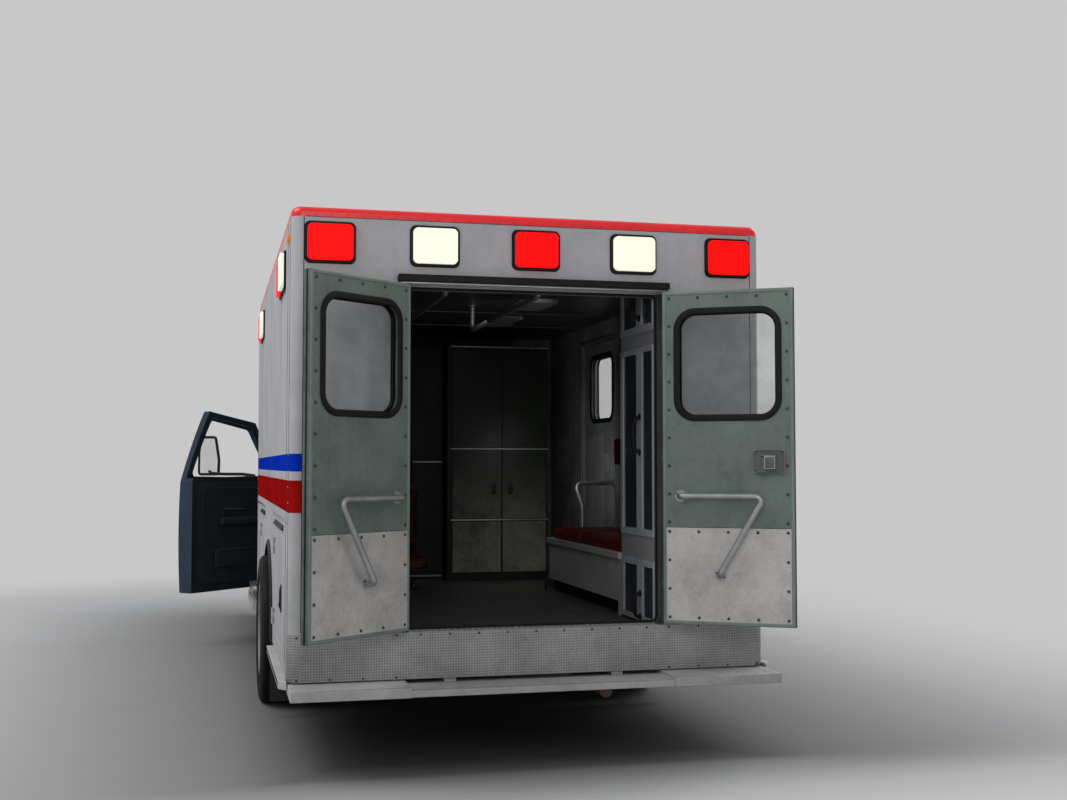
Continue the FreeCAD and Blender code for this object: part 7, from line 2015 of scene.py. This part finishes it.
def bow_handle(shape, base, way, z0, z1, out=0.036, radius=0.0055):
    """A bowed bar on two feet: way is the direction away from the door."""
    base, way = Vector(base), Vector(way)
    points = []
    for t in steps_between(0.0, math.pi, 13):
        z = z0 + (z1 - z0) * (1 - math.cos(t)) / 2
        points.append(Vector((base.x, base.y, z)) + way * (out * math.sin(t) ** 0.8 + 0.001))
    shape.tube(points, radius, 10)
    for z in (z0, z1):
        foot = Vector((base.x, base.y, z))
        shape.rod(foot, foot + way * 0.007, radius * 1.9, 14)


def right_cabinet_doors():
    """Six glazed doors with bowed handles, and the black strip under them."""
    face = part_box("right_cabinet")[0].x
    plane = upright_yz(face)
    columns = ((REAR + 0.074, REAR + 0.296), (REAR + 0.3, REAR + 0.622))
    glass_columns = ((REAR + 0.088, REAR + 0.252), (REAR + 0.344, REAR + 0.578))
    rows = ((0.655, 0.978, 0.68, 0.945), (1.105, 2.112, 1.142, 2.082), (2.192, 2.508, 2.23, 2.5))
    frames, panes = Shape(), Shape()
    for (y0, y1), (g0, g1) in zip(columns, glass_columns):
        for z0, z1, h0, h1 in rows:
            frames.slab(round_rect((y0, z0), (y1, z1), 0.003, 2), (-0.0055, 0.0005), plane,
                        holes=[round_rect((g0, h0), (g1, h1), 0.003, 2)])
            panes.slab(round_rect((g0 - 0.002, h0 - 0.002), (g1 + 0.002, h1 + 0.002), 0.003, 2), (0.001, 0.0055),
                       plane)
    finished("right_cabinet_frames", frames, "cabinet_light")
    finished("right_cabinet_glass", panes, "cabinet_glass")
    handles = Shape()
    for z0, z1 in ((1.55, 1.74), (2.27, 2.44), (0.675, 0.8)):
        bow_handle(handles, (face - 0.0055, REAR + 0.282, 0), LEFT, z0, z1, 0.04, 0.0095)
    finished("right_cabinet_handles", handles, "toe_black")
    kick = Shape()
    kick.slab(((face - 0.003, 0.642), (face + 0.001, 0.642), (face + 0.001, 0.652), (face - 0.003, 0.652)),
              (REAR + 0.073, REAR + 0.625), lengthwise)
    finished("right_cabinet_kick", kick, "toe_black")


def bench_trim():
    """Rounded nosing of the bench lid, and the toe kick."""
    low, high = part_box("squad_bench")
    lid = Shape()
    rear, front = low.y + 0.001, high.y
    x0 = low.x
    path = [(INNER - 0.002, front), (x0 + 0.06, front)]
    path += [(x0 + 0.06 - 0.06 * math.sin(t), front - 0.06 + 0.06 * math.cos(t))
             for t in steps_between(0.0, math.pi / 2, 9)][1:]
    path.append((x0, rear))
    lid.sweep(path, ((-0.001, 0.002), (-0.0045, 0.006), (-0.0045, 0.028), (-0.001, 0.033), (0.004, 0.0335),
                     (0.004, 0.0015)), level_xy(0.957), closed=False)
    finished("bench_lid_nosing", lid, "interior_light", slot="cabinet_laminate")
    toe = Shape()
    toe.slab(((x0 + 0.058, FLOOR + 0.001), (x0 + 0.061, FLOOR + 0.001), (x0 + 0.061, FLOOR + 0.079),
              (x0 + 0.058, FLOOR + 0.079)), (REAR + 0.7, high.y - 0.004), lengthwise)
    finished("bench_toe_kick", toe, "toe_black")


def front_cabinet_doors():
    """Three rows of paired doors with bright strips, and two recessed handles."""
    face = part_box("front_cabinet")[0].y
    plane = upright_xz(face)
    left, right = 0.13, 0.832
    middle = 0.497
    doors = Shape()
    for z0, z1 in ((0.702, 1.07), (1.092, 1.59), (1.612, 2.33)):
        for x0, x1 in ((left, middle - 0.007), (middle + 0.007, right)):
            framed = round_rect((x0, z0), (x1, z1), 0.003, 2)
            doors.slab(framed, (-0.0145, 0.0005), plane)
            doors.sweep(round_rect((x0 + 0.028, z0 + 0.028), (x1 - 0.028, z1 - 0.028), 0.004, 2),
                        ((-0.003, 0.001), (0.003, 0.001), (0.0015, -0.0012), (-0.0015, -0.0012)),
                        upright_xz(face - 0.0145))
    finished("front_cabinet_doors", doors, "front_laminate")
    gaps = Shape()
    for x in (left - 0.009, middle, right + 0.008):
        gaps.block((x - 0.0065, face - 0.0035, 0.7), (x + 0.0065, face + 0.0005, 2.33), 0)
    finished("front_cabinet_gaps", gaps, "toe_black")
    strips = Shape()
    for z in (1.081, 1.601, 2.352):
        strips.block((left - 0.018, face - 0.019, z - 0.006), (right + 0.015, face + 0.0005, z + 0.006), 0.003, 2)
    finished("front_cabinet_strips", strips, "cabinet_trim")
    handles = Shape()
    for x in (0.438, 0.562):
        handles.block((x - 0.015, face - 0.0235, 1.269), (x + 0.015, face - 0.0135, 1.347), 0.004, 3)
        handles.block((x - 0.009, face - 0.0265, 1.28), (x + 0.009, face - 0.0225, 1.3), 0.002, 2)
    finished("front_cabinet_handles", handles, "toe_black")


def left_cabinet_doors():
    """Sliding panes of the wall cabinets, counter doors, edge trim and handles."""
    side_face = -INNER + 0.32
    plane = upright_yz(side_face)
    frames, panes, bars = Shape(), Shape(), Shape()
    for y0, y1 in ((REAR + 0.1, REAR + 0.8), (REAR + 0.83, REAR + 1.53), (REAR + 1.56, REAR + 2.26),
                   (REAR + 2.29, REAR + 2.97)):
        framed_door(frames, plane, (y0, 1.745), (y1, 2.49), 0.035, 0.012)
        panes.slab(round_rect((y0 + 0.03, 1.775), (y1 - 0.03, 2.46), 0.003, 2), (0.001, 0.006), plane)
        bars.block((side_face + 0.012, y1 - 0.028, 1.99), (side_face + 0.024, y1 - 0.01, 2.14), 0.004, 3)
    finished("wall_cabinet_frames", frames, "cabinet_light")
    finished("wall_cabinet_glass", panes, "cabinet_glass")
    finished("wall_cabinet_handles", bars, "black_trim")
    face = -INNER + 0.44
    plane = upright_yz(face)
    doors, handles = Shape(), Shape()
    for y0, y1 in ((REAR + 0.1, REAR + 0.62), (REAR + 0.64, REAR + 1.16), (REAR + 1.18, REAR + 1.73),
                   (REAR + 1.75, REAR + 2.27)):
        doors.slab(round_rect((y0, 0.665), (y1, 1.035), 0.004, 2), (-0.0005, 0.014), plane)
        bow_handle(handles, (face + 0.014, y1 - 0.045, 0), RIGHT, 0.8, 0.93, 0.026, 0.005)
    finished("counter_doors", doors, "cabinet_light")
    finished("counter_handles", handles, "black_trim")
    edge = Shape()
    edge.slab(((face - 0.004, 1.046), (face + 0.014, 1.046), (face + 0.018, 1.05), (face + 0.018, 1.078),
               (face + 0.014, 1.0815), (face - 0.004, 1.0815)), (REAR + 0.072, REAR + 2.302), lengthwise)
    finished("counter_edge", edge, "cabinet_trim")
    boxes = Shape()
    for y in (REAR + 0.55, REAR + 0.95):
        boxes.block((-INNER + 0.002, y, 1.3), (-INNER + 0.045, y + 0.13, 1.42), 0.006, 3)
    boxes.block((-INNER + 0.002, REAR + 1.35, 1.2), (-INNER + 0.06, REAR + 2.05, 1.62), 0.01, 3)
    finished("wall_panel_boxes", boxes, "grey_plastic")
    gauges = Shape()
    for index in range(6):
        y = REAR + 1.43 + 0.1 * index
        gauges.lathe(((0.0005, 0.0005), (0.0005, 0.032), (0.01, 0.032), (0.012, 0.026), (0.009, 0.024),
                      (0.009, 0.0005)), (-INNER + 0.059, y, 1.5), 28)
        gauges.block((-INNER + 0.059, y - 0.022, 1.28), (-INNER + 0.072, y + 0.022, 1.36), 0.004, 2)
    finished("wall_panel_dials", gauges, "interior_light")


def ceiling_trim():
    """Light fittings, seams and the screws of the rails' feet under the ceiling."""
    plane = level_xy(CEILING)
    lamps, rims = Shape(), Shape()
    for x in (-0.62, 0.42):
        for y in (REAR + 0.8, REAR + 1.75, REAR + 2.7):
            outline = rect_about((x, y), (0.11, 0.22), 0.05, 6)
            lamps.slab(outline, (-0.018, 0.001), plane)
            rims.sweep(outline, ((-0.008, 0.001), (0.01, 0.001), (0.006, -0.012), (-0.004, -0.021),
                                 (-0.008, -0.019)), plane)
    finished("ceiling_lamps", lamps, "interior_light")
    finished("ceiling_lamp_rims", rims, "cabinet_trim")
    seams = Shape()
    for y in (REAR + 1.22, REAR + 2.32, REAR + 3.15):
        seams.block((-INNER + 0.33, y - 0.012, CEILING - 0.0035), (INNER - 0.002, y + 0.012, CEILING + 0.0005),
                    0.001, 1)
    finished("ceiling_seams", seams, "cabinet_trim")
    bolts = []
    for x, ends in ((0.06, (0.18, 1.955)), (-0.43, (0.18, 2.455))):
        for end in ends:
            for k in range(3):
                t = 2 * math.pi * k / 3 + 0.5
                bolts.append(((x + 0.02 * math.cos(t), REAR + end + 0.02 * math.sin(t), CEILING - 0.0075),
                              DOWN, RIGHT))
    scattered("rail_foot_screws", "Screws", bolts, (0.004, 0.0, 0.003), "screw_steel")


def floor_trim():
    """The cove strip at the bench's foot."""
    strip = Shape()
    strip.slab(((0.655, FLOOR - 0.0005), (0.64, FLOOR - 0.0005), (0.64, FLOOR + 0.0015), (0.646, FLOOR + 0.0035),
                (0.646, FLOOR + 0.052), (0.6495, FLOOR + 0.052)), (REAR + 2.3, REAR + 2.34), lengthwise)
    finished("aisle_cove", strip, "toe_black")


def wall_lining():
    """Strips round the side entry, above the bench and on the partition."""
    x = INNER
    trim = Shape()
    for y in (REAR + 2.315, REAR + 3.185):
        trim.block((x - 0.006, y - 0.012, FLOOR + 0.002), (x + 0.0005, y + 0.012, 2.4), 0.002, 2)
    trim.block((x - 0.006, REAR + 2.303, 2.388), (x + 0.0005, REAR + 3.197, 2.412), 0.002, 2)
    finished("entry_inner_frame", trim, "cabinet_trim")
    seams = Shape()
    seams.block((x - 0.003, REAR + 0.64, 1.9), (x + 0.0005, REAR + 2.3, 1.916), 0.001, 1)
    seams.block((-0.155, REAR + 3.246, 0.66), (0.088, REAR + 3.2505, 0.672), 0.001, 1)
    seams.block((-0.155, REAR + 3.246, 1.5), (0.088, REAR + 3.2505, 1.512), 0.001, 1)
    finished("wall_strips", seams, "cabinet_trim")


# ---------------------------------------------------------------- stage
BACKGROUND = 0.578
EYE = (-1.592, REAR - 6.397, 1.478)
EYE_TILT, EYE_TURN = math.radians(92.87), math.radians(-13.87)
SENSOR_MM, LENS_MM = 36.0, 44.215
FLOOR_REACH = 60.0


def seen_directly(board):
    """1 for rays that a viewer, a mirror or a pane sends, so that they meet the plain background."""
    path = board.node("ShaderNodeLightPath").outputs
    return board.maths("MAXIMUM", path["Is Camera Ray"],
                       board.maths("MAXIMUM", path["Is Glossy Ray"], path["Is Transmission Ray"]))


def distance_outside(board, x, y):
    """How far a floor point lies outside the vehicle's outline, negative beneath it."""
    along = board.maths("SUBTRACT", y, 0.15)
    behind = board.maths("SUBTRACT", board.maths("MULTIPLY", along, -1.0), 3.5)
    behind = board.maths("MAXIMUM", behind, board.maths("MULTIPLY", behind, 3.5))
    ends = board.maths("MAXIMUM", board.maths("SUBTRACT", along, 3.5), behind)
    sides = board.maths("SUBTRACT", board.maths("ABSOLUTE", x), 1.2)
    squares = [board.maths("POWER", board.maths("MAXIMUM", value, 0.0), 2.0) for value in (sides, ends)]
    outside = board.maths("SQRT", board.maths("ADD", *squares))
    beneath = board.maths("MINIMUM", board.maths("MAXIMUM", sides, ends), 0.0)
    return board.maths("ADD", outside, beneath)


def floor_finish():
    """A pale floor with a painted shadow, darker around and beneath the vehicle, that runs into the background far
    out.
    """
    board, shader = begin("stage_floor")
    spot = board.place()
    x, y = board.split(spot)[:2]
    outside = distance_outside(board, x, y)
    # painted shadow: the floor's colour is darkest beneath the vehicle and lightens over the first four metres
    # outside it
    shadow_ramp = board.node("ShaderNodeValToRGB", {0: board.span(outside, -1.0, 4.0)})
    shadow_stops = ((0.0, 0.05), (0.15, 0.07), (0.2, 0.15), (0.25, 0.225), (0.32, 0.27), (0.4, 0.32), (0.5, 0.39),
             (0.64, 0.47), (1.0, 0.5))
    band = shadow_ramp.color_ramp
    while len(band.elements) < len(shadow_stops):
        band.elements.new(0.5)
    for element, (place, tone) in zip(band.elements, shadow_stops):
        element.position = place
        element.color = rgba((tone, tone, tone))
    grain = board.span(board.noise(spot, 3.0, 3.0), 0.2, 0.8, 0.985, 1.015)
    feed(board, board("ShaderNodeVectorMath", {0: shadow_ramp.outputs["Color"], 3: grain}, operation="SCALE"),
         shader["Base Color"])
    shader["Roughness"].default_value = 0.9
    shader["Specular IOR Level"].default_value = 0.1
    tree = board.tree
    output = next(node for node in tree.nodes if node.type == "OUTPUT_MATERIAL")
    surface = output.inputs["Surface"].links[0].from_socket
    far = board("ShaderNodeMapRange", {0: outside, 1: 1.2, 2: 6.0}, interpolation_type="SMOOTHERSTEP")
    glow = board.node("ShaderNodeEmission", {"Color": rgba((BACKGROUND,) * 3), "Strength": 1.0}).outputs[0]
    mixed = board.node("ShaderNodeMixShader", {0: board.maths("MULTIPLY", far, seen_directly(board)), 1: surface,
                                               2: glow}).outputs[0]
    feed(board, mixed, output.inputs["Surface"])
    return FINISHES["stage_floor"]


def make_stage():
    """Floor, plain world, soft lights and the camera."""
    mesh = bpy.data.meshes.new("stage_floor")
    reach = FLOOR_REACH
    mesh.from_pydata([(-reach, -reach, 0), (reach, -reach, 0), (reach, reach, 0), (-reach, reach, 0)], [],
                     [(0, 1, 2, 3)])
    mesh.materials.append(floor_finish())
    floor = bpy.data.objects.new("stage_floor", mesh)
    bpy.context.scene.collection.objects.link(floor)

    world = bpy.data.worlds.new("Studio")
    bpy.context.scene.world = world
    world.use_nodes = True
    board = Board(world.node_tree)
    for node in list(world.node_tree.nodes):
        world.node_tree.nodes.remove(node)
    seen = seen_directly(board)
    shown = board.node("ShaderNodeBackground", {"Color": rgba((BACKGROUND,) * 3), "Strength": 1.0}).outputs[0]
    lit = board.node("ShaderNodeBackground", {"Color": rgba((0.95, 0.97, 1.0)), "Strength": 0.55}).outputs[0]
    mixed = board.node("ShaderNodeMixShader", {0: seen, 1: lit, 2: shown}).outputs[0]
    board.node("ShaderNodeOutputWorld", {"Surface": mixed})

    for name, spot, size, power, aim in (
            ("Key light", (-7.0, -3.0, 9.0), 7.0, 560.0, (0.0, 0.0, 1.0)),
            ("Fill light", (9.0, 2.0, 8.0), 8.0, 480.0, (0.0, 0.5, 1.2)),
            ("Rear light", (-2.0, -13.0, 5.5), 5.0, 170.0, (0.0, -3.0, 1.4)),
            ("Cabin light", (0.1, REAR + 1.3, 2.3), 0.9, 1.6, (0.55, REAR + 2.2, 0.8)),
            ("Entry light", (0.6, REAR + 2.3, 1.6), 0.4, 0.9, (1.15, REAR + 3.3, 1.0))):
        data = bpy.data.lights.new(name, "AREA")
        data.shape = "DISK"
        data.size = size
        data.energy = power
        lamp = bpy.data.objects.new(name, data)
        lamp.location = spot
        lamp.rotation_euler = (Vector(aim) - Vector(spot)).to_track_quat("-Z", "Y").to_euler()
        bpy.context.scene.collection.objects.link(lamp)

    data = bpy.data.cameras.new("Camera")
    data.sensor_width = SENSOR_MM
    data.lens = LENS_MM
    camera = bpy.data.objects.new("Camera", data)
    camera.location = EYE
    camera.rotation_euler = (EYE_TILT, 0.0, EYE_TURN)
    bpy.context.scene.collection.objects.link(camera)
    bpy.context.scene.camera = camera
    bpy.context.scene.view_settings.view_transform = "Standard"


# ---------------------------------------------------------------- operators
class AmbulanceFinishes(bpy.types.Operator):
    """Make the shared shader groups, the fittings' trees and every finish."""

    bl_idname = "ambulance.finishes"
    bl_label = "Finishes"

    def execute(self, context):
        sizes, colours = context.scene.ambulance_sizes, context.scene.ambulance_colours
        with_groups()
        with_trees()
        paint_finishes(colours, sizes)
        metal_finishes()
        plastic_finishes(colours)
        glass_finishes(colours)
        return {"FINISHED"}


class AmbulancePaintwork(bpy.types.Operator):
    """Dress the CAD nodes."""

    bl_idname = "ambulance.paintwork"
    bl_label = "Paintwork"

    def execute(self, context):
        dress_nodes()
        return {"FINISHED"}


class AmbulanceRearDoors(bpy.types.Operator):
    """Line both rear doors, and fit their gaskets, screws, seals and handles."""

    bl_idname = "ambulance.rear_doors"
    bl_label = "Rear doors"

    def execute(self, context):
        for word, side in SIDES:
            lined_door(word, side, context.scene.ambulance_sizes)
        door_handles()
        return {"FINISHED"}


class AmbulanceRearWall(bpy.types.Operator):
    """Trim the doorway, and add the walls' seams and rivets and the tail lamps."""

    bl_idname = "ambulance.rear_wall"
    bl_label = "Rear wall"

    def execute(self, context):
        doorway_trim()
        rear_wall_trim()
        return {"FINISHED"}


class AmbulanceWarningLights(bpy.types.Operator):
    """Fit the gaskets round the feet of the warning lights."""

    bl_idname = "ambulance.warning_lights"
    bl_label = "Warning lights"

    def execute(self, context):
        warning_light_details()
        return {"FINISHED"}


class AmbulanceTreadPlate(bpy.types.Operator):
    """Raise the marks of the kick panel, steps and running boards."""

    bl_idname = "ambulance.tread_plate"
    bl_label = "Tread plate"

    def execute(self, context):
        tread_marks(context.scene.ambulance_sizes)
        return {"FINISHED"}


class AmbulanceSides(bpy.types.Operator):
    """Fit the trim of the side walls, lockers, side entry door, roof and exhaust."""

    bl_idname = "ambulance.sides"
    bl_label = "Sides and roof"

    def execute(self, context):
        side_trim()
        entry_door_trim(context.scene.ambulance_sizes)
        roof_trim()
        return {"FINISHED"}


class AmbulanceCabinets(bpy.types.Operator):
    """Fit the doors, glass, handles and edges of the cabinets and the bench."""

    bl_idname = "ambulance.cabinets"
    bl_label = "Cabinets"

    def execute(self, context):
        right_cabinet_doors()
        bench_trim()
        front_cabinet_doors()
        left_cabinet_doors()
        return {"FINISHED"}


class AmbulanceInterior(bpy.types.Operator):
    """Fit the lamps, strips and wall trim inside the module."""

    bl_idname = "ambulance.interior"
    bl_label = "Ceiling, floor and walls"

    def execute(self, context):
        ceiling_trim()
        floor_trim()
        wall_lining()
        return {"FINISHED"}


class AmbulanceBenchCushions(bpy.types.Operator):
    """Blow up the cushions and backrest of the squad bench."""

    bl_idname = "ambulance.bench_cushions"
    bl_label = "Bench cushions"

    def execute(self, context):
        bench_cushions()
        return {"FINISHED"}


class AmbulanceSeats(bpy.types.Operator):
    """Make the attendant's seat and the cab seats."""

    bl_idname = "ambulance.seats"
    bl_label = "Seats"

    def execute(self, context):
        attendant_seat()
        cab_seats()
        return {"FINISHED"}


class AmbulanceCabDoors(bpy.types.Operator):
    """Trim both cab doors and give the mirrors their glass."""

    bl_idname = "ambulance.cab_doors"
    bl_label = "Cab doors and mirrors"

    def execute(self, context):
        for word, side in SIDES:
            cab_door_trim(word, side)
        return {"FINISHED"}


class AmbulanceCab(bpy.types.Operator):
    """Fit the windshield rubber, wipers, lamps, frames and dashboard details."""

    bl_idname = "ambulance.cab"
    bl_label = "Cab front and dashboard"

    def execute(self, context):
        windshield_trim()
        front_trim()
        dashboard_trim()
        return {"FINISHED"}


class AmbulanceWheels(bpy.types.Operator):
    """Add tread blocks, sidewall rings, nuts and caps."""

    bl_idname = "ambulance.wheels"
    bl_label = "Wheels and tyres"

    def execute(self, context):
        tyre_details(context.scene.ambulance_sizes)
        return {"FINISHED"}


class AmbulanceStage(bpy.types.Operator):
    """Set the floor, the world, the lights and the camera."""

    bl_idname = "ambulance.stage"
    bl_label = "Stage"

    def execute(self, context):
        make_stage()
        return {"FINISHED"}


OPERATORS = (AmbulanceFinishes, AmbulancePaintwork, AmbulanceRearDoors, AmbulanceRearWall, AmbulanceWarningLights,
             AmbulanceTreadPlate, AmbulanceSides, AmbulanceCabinets, AmbulanceInterior, AmbulanceBenchCushions,
             AmbulanceSeats, AmbulanceCabDoors, AmbulanceCab, AmbulanceWheels, AmbulanceStage)


class AmbulancePanel(bpy.types.Panel):
    """Lists the pieces, sizes and colours in the sidebar."""

    bl_idname = "VIEW3D_PT_ambulance"
    bl_label = "Ambulance"
    bl_space_type = "VIEW_3D"
    bl_region_type = "UI"
    bl_category = "Ambulance"

    def draw(self, context):
        for group in (context.scene.ambulance_sizes, context.scene.ambulance_colours):
            for field in group.__annotations__:
                self.layout.prop(group, field)
        for operator in OPERATORS:
            self.layout.operator(operator.bl_idname)


CLASSES = (AmbulanceSizes, AmbulanceColours, *OPERATORS, AmbulancePanel)


def register():
    for entry in CLASSES:
        bpy.utils.register_class(entry)
    bpy.types.Scene.ambulance_sizes = bpy.props.PointerProperty(type=AmbulanceSizes)
    bpy.types.Scene.ambulance_colours = bpy.props.PointerProperty(type=AmbulanceColours)


def unregister():
    del bpy.types.Scene.ambulance_colours
    del bpy.types.Scene.ambulance_sizes
    for entry in reversed(CLASSES):
        bpy.utils.unregister_class(entry)


def main():
    register()
    for operator in OPERATORS:
        family, action = operator.bl_idname.split(".")
        getattr(getattr(bpy.ops, family), action)()


if __name__ == "__main__":
    main()
